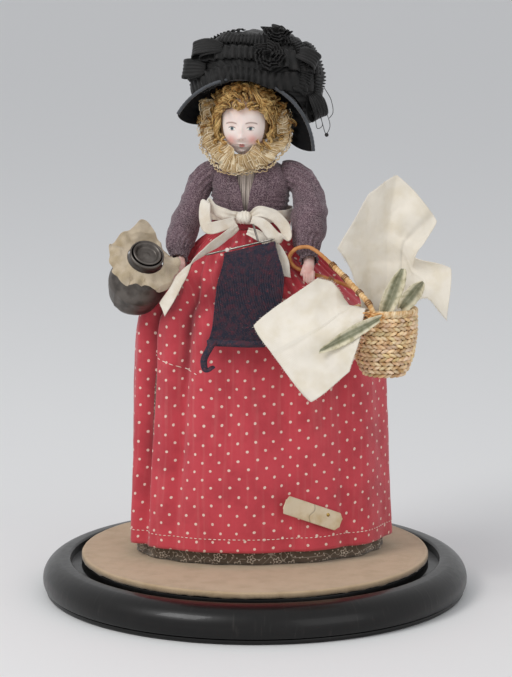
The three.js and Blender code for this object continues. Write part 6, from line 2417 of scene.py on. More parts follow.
@dataclass
class Bonnet:
    """The black bonnet: a ribbed brim with a bound edge, a gathered crown and its ribbons.

    Attributes:
        front: the middle of the brim's front edge.
        back: the middle of its back edge.
        radii: the brim's radius at the front and at the back.
        middle: the crown's middle.
        size: the crown's half sizes.
        square: how square its shoulders are.
        ribs: how many ribs the brim has.
    """

    front: Place = (-6.0, -14.0, 248.6)
    back: Place = (-5.0, 6.0, 264.5)
    radii: tuple[float, float] = (41.0, 27.7)
    middle: Place = (0.0, 10.0, 284.5)
    size: Place = (36.0, 27.0, 29.0)
    square: float = 2.5
    ribs: int = 66

    def build(self) -> None:
        """Builds the bonnet from the brim up."""
        self.brim()
        self.crown()
        self.bands()
        for name, way, reach, height, spin in (
            ("right", (-25, -17, 9), 15, 5, 186),
            ("top", (-14, -14, 17), 17, 5.4, 196),
            ("left", (22, -15, 17), 13, 5, -40),
            ("low", (30, -13, -4), 14, 6, -72),
        ):
            self.loop(name, way, reach, height, spin)
        self.rosette("rosette_front", (9, -22, 15), 8.0)
        self.rosette("rosette_top", (12, -11, 27), 7.6)
        self.strings()

    def rim(self, depth: np.ndarray | float) -> tuple[np.ndarray, np.ndarray]:
        """The brim's middle and radius at a share of its depth.

        Args:
            depth: the depth.

        Returns:
            The middles and the radii.
        """
        d = np.asarray(depth, float)
        share = 0.5 * smooth(d, 0, 1) + 0.5 * d
        a, b = np.array(self.front), np.array(self.back)
        return a + (b - a) * d[..., None], self.radii[0] + (self.radii[1] - self.radii[0]) * share

    def brim(self) -> None:
        """The ribbed silk, its lining and the binding of its edge."""
        depth = np.linspace(0, 1, 40)
        share = column_steps(300)
        front, rear = 2 + 147 * share, -26 + 211 * share
        d = depth[:, None]
        angle = np.radians(front + (rear - front) * d)
        middle, radius = self.rim(depth)
        raised = np.abs(np.sin(share * np.pi * self.ribs))
        ribs = 0.28 * raised + 0.25 * noise(spread(share * 200, d * 20), 7, 71)

        def face(out: np.ndarray | float) -> np.ndarray:
            """The brim's surface, moved out."""
            r = radius[:, None] + out
            return middle[:, None] + spread(r * np.cos(angle), 0.0, r * np.sin(angle))

        # Painted highlights on the ribs' crests and painted shade between them.
        tint = grey(0.75 + 0.9 * raised**2)
        outside = sewn("hat_brim_silk", face(ribs - 0.4)[::-1], SILK, 0.4, -1, tint=tint[::-1])
        dress(outside, "doll", "black_silk", "hat_brim")
        fold = 0.25 * np.cos(share * np.pi * 44)
        inside = sewn("hat_brim_lining", face(fold - 1.35)[::-1], LINING, 0.3, -1)
        dress(inside, "doll", "black_silk")
        a = np.radians(np.linspace(2, 149, 160))
        r = self.radii[0] - 0.7
        edge = np.array(self.front) + spread(r * np.cos(a), -1.2, r * np.sin(a))
        bound = tube_rings(edge, 0.95, 14, (0, 1, 0), wave=lambda t, b: 0.07 * np.cos(90 * np.pi * t + b))
        made = Shape().grid(bound, wrap=True, caps=True).mesh("brim_binding_silk", EDGE)
        dress(made, "doll", "black_silk", "brim_binding")

    def ball(self, theta: np.ndarray, phi: np.ndarray, out: np.ndarray | float) -> np.ndarray:
        """Points on the crown.

        Args:
            theta: the angle from the back, in radians.
            phi: the angle round the line from back to front.
            out: how far outside the crown.

        Returns:
            Points.
        """
        power = 2 / self.square
        c = np.sign(np.cos(phi)) * np.abs(np.cos(phi)) ** power
        s = np.sign(np.sin(phi)) * np.abs(np.sin(phi)) ** power
        w, d, h = (np.asarray(half + out) for half in self.size)
        flat = spread(w * np.sin(theta) * c, d * np.cos(theta), h * np.sin(theta) * s)
        return flat + self.middle

    def crown(self) -> None:
        """The gathered crown, cut out where the head and the brim go in."""
        theta = row_steps(110, 0.02, np.pi - 0.02)
        phi = full_turn(260)[None, :]
        flat = self.ball(theta, phi, 0.0)
        ribs = np.abs(np.sin(19 * phi + 1.1 * np.sin(3 * theta))) * np.sin(theta)
        out = 0.9 * ribs + 1.3 * crumple(flat, 12, 81) + 0.5 * noise(flat, 3.5, 83) - 0.6
        points = self.ball(theta, phi, out)
        # Painted light on the gathers' ridges and painted shade in their hollows.
        tint = grey(0.7 + 0.9 * ribs)
        made = Shape().grid(points[::-1], wrap=True, caps=True, tint=tint[::-1]).mesh("hat_crown_silk", SILK)
        a = full_turn(60)
        rings = []
        cuts = ((0, 8, -20), (0, 1, 0), (0.33, 1, 0), (0.67, 1, 0), (1, 1, 0), (1, -2, 10), (1, -9, 17))
        for d, extra, further in cuts:
            middle, radius = self.rim(d)
            r = radius + extra
            rings.append(middle + spread(r * np.cos(a), further, r * np.sin(a)))
        carved(made, loft(np.array(rings)[::-1], "head_room"))
        dress(made, "doll", "black_silk", "hat_crown")

    def share(self, p: np.ndarray) -> float:
        """How far out a point from the crown's middle lies: 1 on the crown."""
        w, d, h = self.size
        across = (abs(p[0]) / w) ** self.square + (abs(p[2]) / h) ** self.square
        return math.hypot(across ** (1 / self.square), p[1] / d)

    def standing(self, way: Point, lift: float = 0.4, spin: float = 0.0) -> tuple[np.ndarray, np.ndarray]:
        """Where a ribbon stands on the crown.

        Args:
            way: its direction from the crown's middle.
            lift: its height over the crown.
            spin: how far it is turned, in degrees.

        Returns:
            Its foot, and its own directions as rows.
        """
        p = np.array(way, float)
        p = p / self.share(p)
        rise = [self.share(p + step) - 1 for step in 0.01 * np.eye(3)]
        up = unit(np.array(rise))
        return p + self.middle + up * lift, frame_of(up, spin)

    def loop(self, name: str, way: Point, reach: float, height: float, spin: float) -> None:
        """A ribbon bent into a loop, with a second one inside it.

        Args:
            name: which loop it is.
            way: its direction from the crown's middle.
            reach: its length.
            height: its height.
            spin: how far it is turned, in degrees.
        """
        foot, axes = self.standing(way, 0.4, spin)
        shape = Shape()
        for scale, tilt in ((1.0, 0.0), (0.72, 0.12)):
            r, h = reach * scale, height * scale
            t = row_steps(26)

            def bend(a: Point, b: Point, c: Point, d: Point) -> np.ndarray:
                """A cubic curve."""
                a, b, c, d = (np.array(p, float) for p in (a, b, c, d))
                return a * (1 - t) ** 3 + 3 * b * t * (1 - t) ** 2 + 3 * c * t * t * (1 - t) + d * t**3

            up = bend((0, 0), (0.2 * r, 0.9 * h), (0.9 * r, 1.25 * h), (r, 0.5 * h))
            down = bend((r, 0.5 * h), (1.05 * r, -0.02 * h), (0.4 * r, -0.05 * h), (0.6, 0.15))
            flat = np.vstack([up, down[1:]])
            local = np.column_stack([flat[:, 0], tilt * flat[:, 0], flat[:, 1]])
            rows = strap_rows(local, (0, 1, 0), 10.5 * (0.9 + 0.1 * scale), 25, 0.35)
            across = column_steps(25, -1, 1)
            far = row_steps(len(rows))
            pinch = 1 - 0.45 * bump(far, 0, 0.12) - 0.45 * bump(far, 1, 0.12)
            rows[..., 1] *= pinch
            rows[..., 2] += 0.18 * np.cos(across * 16) + 0.35 * noise(rows, 4.5, 91) * np.sin(np.pi * far)
            # Painted sheen in stripes along the ribbon's ribs.
            tint = grey(0.8 + 0.5 * np.cos(across * 16) ** 2)
            shape.grid(rows @ axes + foot, tint=tint)
        piece = thickened(shape.mesh(f"ribbon_loop_{name}_silk", SILK), 0.45)
        dress(piece, "doll", "black_silk", f"ribbon_loop_{name}")

    def rosette(self, name: str, way: Point, size: float) -> None:
        """A ruffled ribbon wound into a rosette.

        Args:
            name: the piece's name.
            way: its direction from the crown's middle.
            size: the size.
        """
        foot, axes = self.standing(way)
        t = np.linspace(0, 1, 420)
        a = 2 * np.pi * 3.4 * t
        r = 1.0 + (size - 2.6) * t + 0.5 * np.cos(8 * a) * t
        path = spread(r * np.cos(a), r * np.sin(a), 0.4 + 1.5 * (1 - t))
        lean = 0.35 + 0.75 * t
        wide = spread(np.cos(a) * lean, np.sin(a) * lean, 1.0)
        share = np.linspace(0, 1, 9)[None, :, None]
        ruffle = 0.7 * np.cos(13 * a + 1.2 * np.sin(3 * a))[:, None, None] * share
        rows = path[:, None] + unit(wide)[:, None] * share * (3.6 + 0.6 * np.cos(5 * a))[:, None, None]
        rows = rows + spread(-np.sin(a), np.cos(a), 0.0)[:, None] * ruffle
        rows = rows + spread(np.cos(a), np.sin(a), 0.0)[:, None] * ruffle * 0.8
        # Painted shade towards the rosette's middle and painted light on its outer edges.
        tint = grey(0.6 + 1.1 * share[..., 0])
        made = sewn(f"{name}_silk", rows @ axes + foot, SILK, 0.35, tint=tint)
        dress(made, "doll", "black_silk", name)

    def bands(self) -> None:
        """Gathered ribbons laid over the crown's front."""
        shape = Shape()
        ways = (
            ((-34, -8, -2), (-24, -20, 3), (-6, -24, 7), (12, -22, 3), (30, -12, 2)),
            ((-32, -6, 14), (-17, -16, 16), (0, -21, 17), (20, -16, 12), (34, -4, 8)),
            ((-20, -8, 25), (-6, -14, 25), (8, -14, 25), (22, -8, 22)),
            ((24, -19, -3), (28, -15, 8), (26, -12, 18), (18, -8, 26)),
            ((33, -10, -10), (35, -8, 2), (33, -5, 12), (26, -2, 22)),
            ((-36, 2, -4), (-34, 2, 10), (-24, 4, 22), (-8, 2, 28)),
        )
        for number, way in enumerate(ways):
            line = spaced(curve(way, 80), 150)
            line = np.array([p / self.share(p) for p in line])
            out = unit(line / np.array(self.size) ** 2)
            along = unit(np.gradient(line, axis=0))
            wide = np.cross(out, along)
            t = row_steps(150)
            across = column_steps(15, -1, 1)
            half = 4.6 + 1.0 * np.sin(9 * t + number)
            waves = 2 * np.pi * t * 21 + 2.2 * np.sin(11 * t + number) + 1.3 * across + number
            gather = np.cos(waves) * (0.35 + 0.75 * np.abs(across))
            fade = np.sin(np.pi * np.clip(t * 1.04 - 0.02, 0, 1)) ** 0.3
            rise = 1.0 + 0.95 * gather * fade + 0.7 * (1 - across**2)
            rows = line[:, None] + wide[:, None] * (across * half)[..., None] + out[:, None] * rise[..., None]
            rows = rows + 0.5 * shaken(rows, 5, 95 + number)
            # Painted light on the gathers' ridges and painted shade in their hollows.
            tint = grey(0.65 + 0.5 * (gather + 1))
            shape.grid(rows + self.middle, tint=tint)
        dress(thickened(shape.mesh("gathered_ribbons", SILK), 0.4), "doll", "black_silk")

    def strings(self) -> None:
        """Thin loops that hang at the left side, one with a bead."""
        shape = Shape()
        loops = (
            ((37, -6, 281), (40, -8, 272), (42.5, -8, 263), (40.5, -9, 259), (38.5, -8, 264), (36, -6, 274)),
            ((34, -9, 279), (37, -11, 270), (38.6, -11, 263.5), (36, -11, 262), (34.5, -10, 270)),
            ((38, 0, 284), (42.5, -3, 277), (43.5, -3, 270), (41.5, -3, 267)),
        )
        for points in loops:
            line = spaced(curve(points, 120), 70)
            rings = tube_rings(line, 0.38, 7, (0, 1, 0.1), 0.5)
            shape.grid(rings, wrap=True, caps=True, tint=(0.9, 0.9, 0.95))
        bead = ball_rings(1.1, (40.8, -9, 258.4), 12, 16)
        shape.grid(bead, wrap=True, caps=True, tint=(4.0, 4.0, 4.2))
        dress(shape.mesh("hanging_strings", SILK), "doll", "black_silk")


# The tape, the knitting and the tag


@dataclass
class Bow:
    """The cotton tape round the waist and its bow.

    Attributes:
        place: the knot's place.
        width: the tape's width.
        reach: how far it lies from the body's line, to the side and to the front.
    """

    place: Place = (-3.5, -15.9, 213.4)
    width: float = 6.4
    reach: tuple[float, float] = (22.95, 17.45)

    def build(self) -> None:
        """Ties the tape."""
        self.belt()
        self.knot()
        up = (0, 0, 1)
        flat = ((0.3, -0.4, 1), (1, -0.6, 0.3), (1, -0.2, 0.2), (0.6, 0, 0.6))
        right = ((-4.4, -2.5, 0.6), (-10, -6, 2), (-17, -5, 5), (-20.5, -5, 9), (-21, -7, 3), (-19, -9, -5))
        right += ((-12, -9, -4), (-4.4, -6.5, -1.4))
        self.strap("bow_loop_right", right, (up, up, *flat, up, up), self.width)
        left = ((4.4, -2.5, 1), (9, -6, 4), (17, -6, 2), (23, -6, -5), (24, -8.5, -10), (19, -10, -10))
        left += ((12, -9.5, -3), (4.4, -6.5, -0.6))
        ways = (up, up, (0.4, 0, 1), (1, 0, 0.5), (1, -0.3, -0.2), (0.5, 0, 1), up, up)
        self.strap("bow_loop_left", left, ways, self.width)
        tail = ((-2.6, -7.2, -4.6), (-9, -13, -10), (-17.5, -20, -16), (-25.5, -28, -23), (-33, -34, -35.5))
        ways = ((0.2, 0, 1), (0.5, 0, 1), (0.6, 0, 1), (0.7, 0, 0.8), (1, 0, 0.5), (1, 0, 0.4))
        self.strap("bow_tail_right", (*tail, (-39.5, -36.5, -47)), ways, self.width, slant=2.4)
        tail = ((2.6, -5.6, -7), (11, -7, -10.5), (19.5, -8.5, -17.5), (23, -10.6, -23.5), (24.5, -13, -30.5))
        ways = ((0.2, 0, 1), (0.5, 0, 1), (0.8, 0, 0.7), (1, 0, 0.3), (1, 0, 0.1))
        self.strap("bow_tail_left", tail, ways, 5.8, slant=1.4)

    def strap(self, node: str, points: tuple, ways: tuple, width: float, slant: float = 0.0) -> None:
        """One length of tape.

        Args:
            node: the solid that it stands for.
            points: its line from the knot.
            ways: the direction across it at each point.
            width: its width.
            slant: how far its cut end slants.
        """
        line = curve(points, 110)
        wide = curve(ways, 110)
        rows = strap_rows(line, wide, width, 17, 0.4)
        across = column_steps(17, -1, 1)
        far = row_steps(110)
        along = unit(np.gradient(line, axis=0))
        rows = rows + along[:, None] * (across * slant * smooth(far, 0.9, 1))[..., None]
        pinch = 1 - 0.3 * bump(far, 0, 0.1) - (0.3 * bump(far, 1, 0.1) if not slant else 0)
        rows = line[:, None] + (rows - line[:, None]) * pinch[..., None]
        swell = shaken(rows, 7, 101) * 0.45
        out = np.cross(along, unit(wide))
        crease = 0.3 * np.cos(across * 7) * bump(far, 0, 0.16) + 0.22 * noise(rows, 2.6, 105)
        rows = rows + swell + out[:, None] * crease[..., None]
        tint = grey(1.0 - 0.1 * bump(np.abs(across), 1, 0.1))
        made = sewn(f"{node}_tape", rows + self.place, TAPE, 0.5, tint=tint)
        dress(made, "doll", "cotton_tape", node)

    def belt(self) -> None:
        """The tape round the waist."""
        a = full_turn(300)[None, :]
        z = row_steps(15, 187.1, 193.6)
        sag = 0.5 * np.sin(2 * a + 1) + 0.3 * np.sin(5 * a)
        press = 0.16 * np.cos(24 * a + z) * bump(z, 187, 2.5) + 0.2 * bump(z, 190.3, 2.2)
        x = BODY_LINE[0] + (self.reach[0] + press) * np.cos(a)
        y = BODY_LINE[1] + (self.reach[1] + press) * np.sin(a)
        points = spread(x, y, z + PAD_TOP + sag)
        made = sewn("waist_tape_cloth", points, TAPE, 0.5, wrap=True)
        dress(made, "doll", "cotton_tape", "waist_tape")

    def knot(self) -> None:
        """The knot: a tape wrapped once over the bow's middle."""
        t = row_steps(46)
        a = full_turn(60)[None, :]
        x = (t * 2 - 1) * 4.1
        r = 3.5 * np.sqrt(np.clip(1 - np.abs(t * 2 - 1) ** 3.2, 0.03, 1))
        fold = 0.28 * np.cos(9 * np.pi * t + 1.4 * np.sin(a)) + 0.3 * np.sin(3 * a + 4 * t)
        r = r + fold * np.sin(np.pi * t)
        points = spread(x, -3.4 - 0.85 * r * np.cos(a), r * np.sin(a)) + self.place
        made = Shape().grid(points, wrap=True, caps=True).mesh("bow_knot_tape", TAPE)
        dress(made, "doll", "cotton_tape", "bow_knot")


@dataclass(frozen=True)
class Heather(Finish):
    """Wool spun from several colours."""

    def look(self, web: Web) -> tuple[Value, Value, float]:
        """Purple-grey, navy, wine and a few red fibres.

        Args:
            web: the material's tree.

        Returns:
            The colour, the height of the surface and how many millimetres a height of 1 is.
        """
        place = self.body(web)
        mixed = web.mix(web.step(web.cloud(place, 2.2, 1.0), 0.4, 0.6), linear("41343F"), linear("2A2D3C"))
        mixed = web.mix(web.step(web.cloud(place, 3.1, 2.0), 0.52, 0.66), mixed, linear("50303C"))
        mixed = web.mix(web.step(web.cloud(place, 0.9, 1.0), 0.64, 0.74) * 0.8, mixed, linear("7A3540"))
        mixed = web.mix(web.step(web.cloud(place, 0.6, 1.0), 0.68, 0.78) * 0.6, mixed, linear("7D7484"))
        return mixed, web.cloud(place, 0.25, 2.0), self.bumps


KNIT = Heather("heather wool", "3B323C", "2E3142", rough=0.95, bumps=0.15)


@dataclass
class Knitting:
    """The piece of knitting on its two needles.

    Attributes:
        place: where it hangs from.
        columns: how many stitches lie side by side.
        rows: how many rows it has.
        size: its width at the top, its full width and its length.
        slope: how far the needle rises to the left of the doll.
    """

    place: Place = (1.0, -27.0, 198.0)
    columns: int = 20
    rows: int = 36
    size: Place = (28.0, 37.0, 50.0)
    slope: float = 0.25

    def build(self) -> None:
        """Builds the knitting and the needles."""
        yarn = self.yarn()
        self.backing()
        self.needles()

    def cloth(self, u: np.ndarray, v: np.ndarray) -> np.ndarray:
        """The knitting's middle surface, from its place.

        Args:
            u: the share of the way across.
            v: the share of the way down.

        Returns:
            Points.
        """
        top, full, length = self.size
        width = top + (full - top) * (smooth(v, 0, 0.4) - 0.6 * smooth(v, 0.5, 1))
        x = (u - 0.5) * width - 4.5 * v * v + 2.4 * np.sin(3 * v)
        z = (u - 0.5) * top * self.slope * (1 - v) - length * v
        y = -1.6 * np.sin(np.pi * u) * (1 - 0.3 * v) - 20 * v**0.9 - 2.4 * smooth(v, 0.86, 1)
        y = y - 0.7 * np.sin(7 * u + 3 * v) * smooth(v, 0.2, 0.8)
        return spread(x, y, z)

    def normals(self, u: np.ndarray, v: np.ndarray) -> np.ndarray:
        """The direction out of the knitting.

        Args:
            u: the share of the way across.
            v: the share of the way down.

        Returns:
            Directions.
        """
        e = 1e-3
        across = self.cloth(u + e, v) - self.cloth(u - e, v)
        down = self.cloth(u, np.clip(v + e, 0, 2)) - self.cloth(u, np.clip(v - e, 1e-6, 2))
        return unit(np.cross(across, -down))

    def yarn(self) -> bpy.types.Object:
        """Rows of yarn loops, each hooked through the one above.

        Returns:
            The piece.
        """
        steps = 13
        t = np.linspace(0, self.columns, self.columns * steps + 1)[None, :]
        row = np.arange(self.rows)[:, None]
        u = (t + 0.16 * np.sin(4 * np.pi * t)) / self.columns
        high = 1.1 * np.cos(2 * np.pi * t)
        v = np.clip((row + 0.5 - high) / self.rows, 0.004, 1.02)
        u = np.clip(u, 0.005, 0.995)
        out = 0.4 - 0.5 * np.cos(4 * np.pi * t)
        lines = self.cloth(u, v) + self.normals(u, v) * out[..., None]
        lines = lines + 0.12 * shaken(lines, 1.6, 111)
        shape = Shape()
        shape.thread(lines + self.place, 0.42, 5)
        shape.thread(self.edge_loops() + self.place, 0.46, 6)
        return dress(shape.mesh("knitting_yarn", KNIT), "knitting", "wool")

    def edge_loops(self) -> np.ndarray:
        """The rolled cast-on edge, and a curl of it that hangs at the right.

        Returns:
            The threads' lines.
        """
        t = np.linspace(0, 1, 420)
        lines = []
        for turn in range(3):
            a = 2 * np.pi * (t * 26 + turn / 3)
            core = self.cloth(t * 0.98 + 0.01, np.ones_like(t))
            core = core + spread(0.0, -1.2 + 1.5 * np.cos(a), 0.8 + 1.5 * np.sin(a))
            lines.append(core)
        curl = curve(
            [(-16, -24, -48), (-19, -25.5, -53), (-21.5, -26, -59), (-20, -27, -64), (-16.5, -27, -62)], 420
        )
        for turn in range(3):
            a = 2 * np.pi * (t * 17 + turn / 3)
            r = 1.9 * (1 - 0.45 * t)
            lines.append(curl + spread(r * np.cos(a), r * np.sin(a), 0.3 * np.sin(a)))
        return np.array(lines)

    def backing(self) -> None:
        """The felted body of the knitting behind its loops.
        """
        u = column_steps(80, 0.01, 0.99)
        v = row_steps(90, 0.002, 1)
        out = 0.25 * np.cos(2 * np.pi * u * self.columns)
        points = self.cloth(u, v) + self.normals(u, v) * (out - 0.35)[..., None]
        made = sewn("knitting_cloth", (points + self.place)[::-1], KNIT, 0.8)
        piece = dress(made, "knitting", "wool", "knitting")

    def needles(self) -> None:
        """The long needle that holds the stitches and the short one stuck behind the bow, with a pale ball on
        the long one as a painted highlight.
        """
        along = unit(np.array([1, 0, self.slope]))
        above = np.array([-along[2], 0, along[0]]) * 1.55
        end = along * self.size[0] * 0.52 + above + np.array([0, -0.6, 0]) + self.place
        start = end - along * 40
        self.needle("needle_long", start, end, "needle")
        # A small pale ball on the long needle stands in for its painted highlight.
        ball = ball_rings(1.25, start + along * 13)
        bead = Shape().grid(ball, wrap=True, caps=True).mesh("needle_highlight_bead", BISQUE)
        dress(bead, "needle", "needle_steel")
        foot = np.array((5, -2.4, 3.6)) + self.place
        self.needle("needle_short", foot, foot + np.array((-0.3, 0.05, 0.95)) * 10.2, "knitting")

    def needle(self, node: str, start: np.ndarray, end: np.ndarray, body: str) -> None:
        """One steel needle with tapered ends.

        Args:
            node: the solid that it stands for.
            start: one end.
            end: the other end.
            body: the body that it moves with.
        """
        t = np.linspace(0, 1, 60)
        path = start + t[:, None] * (end - start)
        radius = 0.6 * np.clip(np.minimum(t, 1 - t) / 0.05, 0.25, 1)
        made = Shape().grid(tube_rings(path, radius, 16, (0, 1, 0)), wrap=True, caps=True)
        dress(made.mesh(f"{node}_steel", STEEL), body, "needle_steel", node)


@dataclass
class Tag:
    """The bare card label, cracked across, on its brass pin.

    Attributes:
        place: where its pin goes in.
        out: the direction out of the skirt.
        length: the card's length.
        width: its width.
        tilt: how far it hangs down to the doll's left, in degrees.
    """

    place: Place = (44.81, -30.94, 51.0)
    out: Place = (0.51577, -0.85673, 0.0)
    length: float = 37.0
    width: float = 10.2
    tilt: float = -22.0

    def build(self) -> None:
        """Builds the card and the pin."""
        axes = frame_of(np.array(self.out), self.tilt)
        x = row_steps(120, -0.75, 0.25) * self.length
        y = column_steps(36, -1, 1)
        left = smooth(x + 0.75 * self.length, -0.2, 1.6) ** 0.5
        clipped = 1 - 0.5 * smooth(x, 0.25 * self.length - 2.6, 0.25 * self.length)
        half = self.width / 2 * np.minimum(np.maximum(left, 0.55), clipped)
        flat_x = x + 0.25 * noise(spread(x, 3 * y), 3, 121) * bump(np.abs(y), 1, 0.3)
        flat_y = y * half - self.width * 0.2
        crack = bump(x, -9.6 + 0.8 * np.sin(4 * y), 0.35)
        lift = 0.25 + 0.9 * smooth(-x, 14, 28) ** 2 + 0.45 * bump(x, -9.6, 2.2) * smooth(y, -0.2, 1)
        lift = lift + 0.05 * noise(spread(flat_x, flat_y), 3, 122)
        local = spread(flat_x, flat_y, lift - 0.2 * crack)
        tint = 1 - 0.45 * crack - 0.12 * bump(np.abs(y), 1, 0.12)
        card = sewn("tag_card", local @ axes + self.place, CARD, 0.45, tint=grey(tint))
        dress(card, "tag", "tag_card", "tag")
        outline = [(0, -1.2), (0.4, -1.2), (0.4, 0.42), (0.6, 0.42), (1.0, 0.55), (0.95, 0.75)]
        outline += [(0.6, 0.97), (0, 0.97)]
        pin = Shape().grid(lathe(np.array(outline), 24) @ axes + self.place, wrap=True)
        metal = Finish("pin brass", "C9A862", "8A6C35", rough=0.35, metal=1.0, bumps=0.01)
        dress(pin.mesh("tag_pin_brass", metal), "doll", "brass", "tag_pin")


# What she carries


def folded(points: Sequence[Point] | np.ndarray, count: int) -> np.ndarray:
    """A line through points that bends sharply at them, a little softened.

    Args:
        points: the points.
        count: how many samples to take.

    Returns:
        The line.
    """
    points = np.array(points, float)
    share = np.linspace(0, 1, count)
    corners_at = np.linspace(0, 1, len(points))
    straight = np.array([np.interp(share, corners_at, points[:, k]) for k in range(3)]).T
    return 0.6 * straight + 0.4 * curve(points, count)


def surface_through(rows: Sequence[Sequence[Point]], along: int, across: int) -> np.ndarray:
    """A cloth through rows of points, creased at them."""
    lines = np.array([folded(row, across) for row in rows])
    return np.stack([folded(lines[:, k], along) for k in range(across)], 1)


def out_of(points: np.ndarray) -> np.ndarray:
    """The direction out of a surface at each of its points."""
    return unit(np.cross(np.gradient(points, axis=1), -np.gradient(points, axis=0)))


@dataclass
class MilkCan:
    """The tin milk can in the right hand, its lid and the cloth round its neck.

    Attributes:
        mouth: the middle of its mouth.
        axis: where the mouth looks.
        belly: the belly's radius.
        length: its length.
        neck: the neck's radius.
        lip: the mouth's radius.
        wall: its wall.
    """

    mouth: Place = (-51.5, -50.8, 196.7)
    axis: Place = (0.33, -0.62, 0.71)
    belly: float = 15.8
    length: float = 41.0
    neck: float = 8.0
    lip: float = 9.2
    wall: float = 0.9

    def build(self) -> None:
        """Builds the can, the lid and the cloth."""
        self.body()
        self.lid()
        self.cloth()

    def put(self, rows: np.ndarray) -> np.ndarray:
        """Moves rows from the can's own axes to their place."""
        return rows @ frame_of(unit(np.array(self.axis))) + self.mouth

    def body(self) -> None:
        """The dented body with its seams and rolled mouth."""
        belly, neck, length, wall, lip = self.belly, self.neck, self.length, self.wall, self.lip
        outline = [
            (0, -length),
            (belly * 0.68, -length),
            (belly * 0.86, -length + 4),
            (belly, -length * 0.66),
            (belly + 0.5, -length * 0.61),
            (belly, -length * 0.56),
            (belly * 0.83, -length * 0.36),
            (neck + 0.8, -length * 0.21),
            (neck, -length * 0.14),
            (lip - 0.3, -2.2),
            (lip + 0.25, -1.5),
            (lip + 0.3, -0.5),
            (lip - 0.2, 0.1),
            (lip - wall, -0.2),
            (neck - wall, -length * 0.14),
            (neck - 0.1, -length * 0.21),
            (belly * 0.83 - wall, -length * 0.36 - 0.5),
            (belly - wall, -length * 0.61),
            (belly * 0.86 - wall, -length + 4),
            (0, -length + 1.2),
        ]
        fine = spaced(eased(outline, 0.9), 240)
        rows = lathe(fine, 110)
        dents = 0.45 * noise(rows, 8, 131) + 0.12 * noise(rows, 3, 132)
        inner = smooth(fine[:, 0], 9.5, 12)[:, None]
        rows = rows + spread(dents * inner, dents * inner * 0.6, 0.0)
        a = full_turn(110)[None, :]
        seam = bump(a, 3.6, 0.05) * inner
        rows[..., :2] *= 1 + 0.035 * seam[..., None]
        tint = grey(1 - 0.25 * bump(a, 3.55, 0.09) * inner)
        made = Shape().grid(self.put(rows), wrap=True, tint=tint).mesh("can_body_tin", TIN, 55)
        dress(made, "arm_right", "tin", "can_body")

    def lid(self) -> None:
        """The dished lid."""
        r = self.lip - self.wall - 0.4
        outline = [(0, -2.6), (r - 2.4, -2.6), (r - 1.6, -1), (r - 0.6, -0.8), (r, 0.2), (r - 0.4, 0.9)]
        outline += [(r - 1.4, 0.7), (r - 2.6, -1.4), (2.2, -1.5), (1.2, -1.2), (0, -1.2)]
        rows = lathe(eased(outline, 0.4), 96)
        made = Shape().grid(self.put(rows), wrap=True).mesh("can_lid_tin", TIN, 55)
        dress(made, "can_lid", "tin", "can_lid")

    def cloth(self) -> None:
        """The beige cloth tied round the neck, with one corner standing up."""
        a = full_turn(240)[None, :]
        share = row_steps(60)
        raised = np.exp(-(((a - np.pi / 2) / 0.75) ** 2))
        edge = 17 + 2 * np.cos(2 * a + 0.9) + 1.1 * np.cos(5 * a) + 4 * raised
        pleat = 0.5 * np.cos(13 * a + 2 * np.sin(2 * a)) * np.sin(np.pi * share * 0.7)
        r = 10.0 + (edge - 10.0) * share + pleat
        fall = np.interp(share, (0, 0.3, 0.65, 1), (-5.2, -7.4, -9.3, -11.2))
        wave = 1.3 * share * np.cos(4 * a + 1) + 13 * share**1.5 * raised
        ruffle = 1.3 * share * np.cos(9 * a + 1.5 * np.sin(3 * a))
        rows = spread(r * np.cos(a), r * np.sin(a), fall + wave + ruffle + 0.4)
        rows = rows + out_of(rows) * (2.1 * crumple(rows, 7, 141) * smooth(share, 0.05, 0.5))[..., None]
        beige = Cloth("can cloth", "D3C2A8", "BBA888", rough=0.93, pitch=0.5, ink="E2D6C0")
        # Painted light and shade on a crease pattern.
        tint = grey(0.86 + 0.18 * crumple(rows, 6, 141))
        made = sewn("can_cloth_linen", self.put(rows), beige, 0.6, wrap=True, tint=tint)
        piece = dress(made, "arm_right", "calico", "can_cloth")


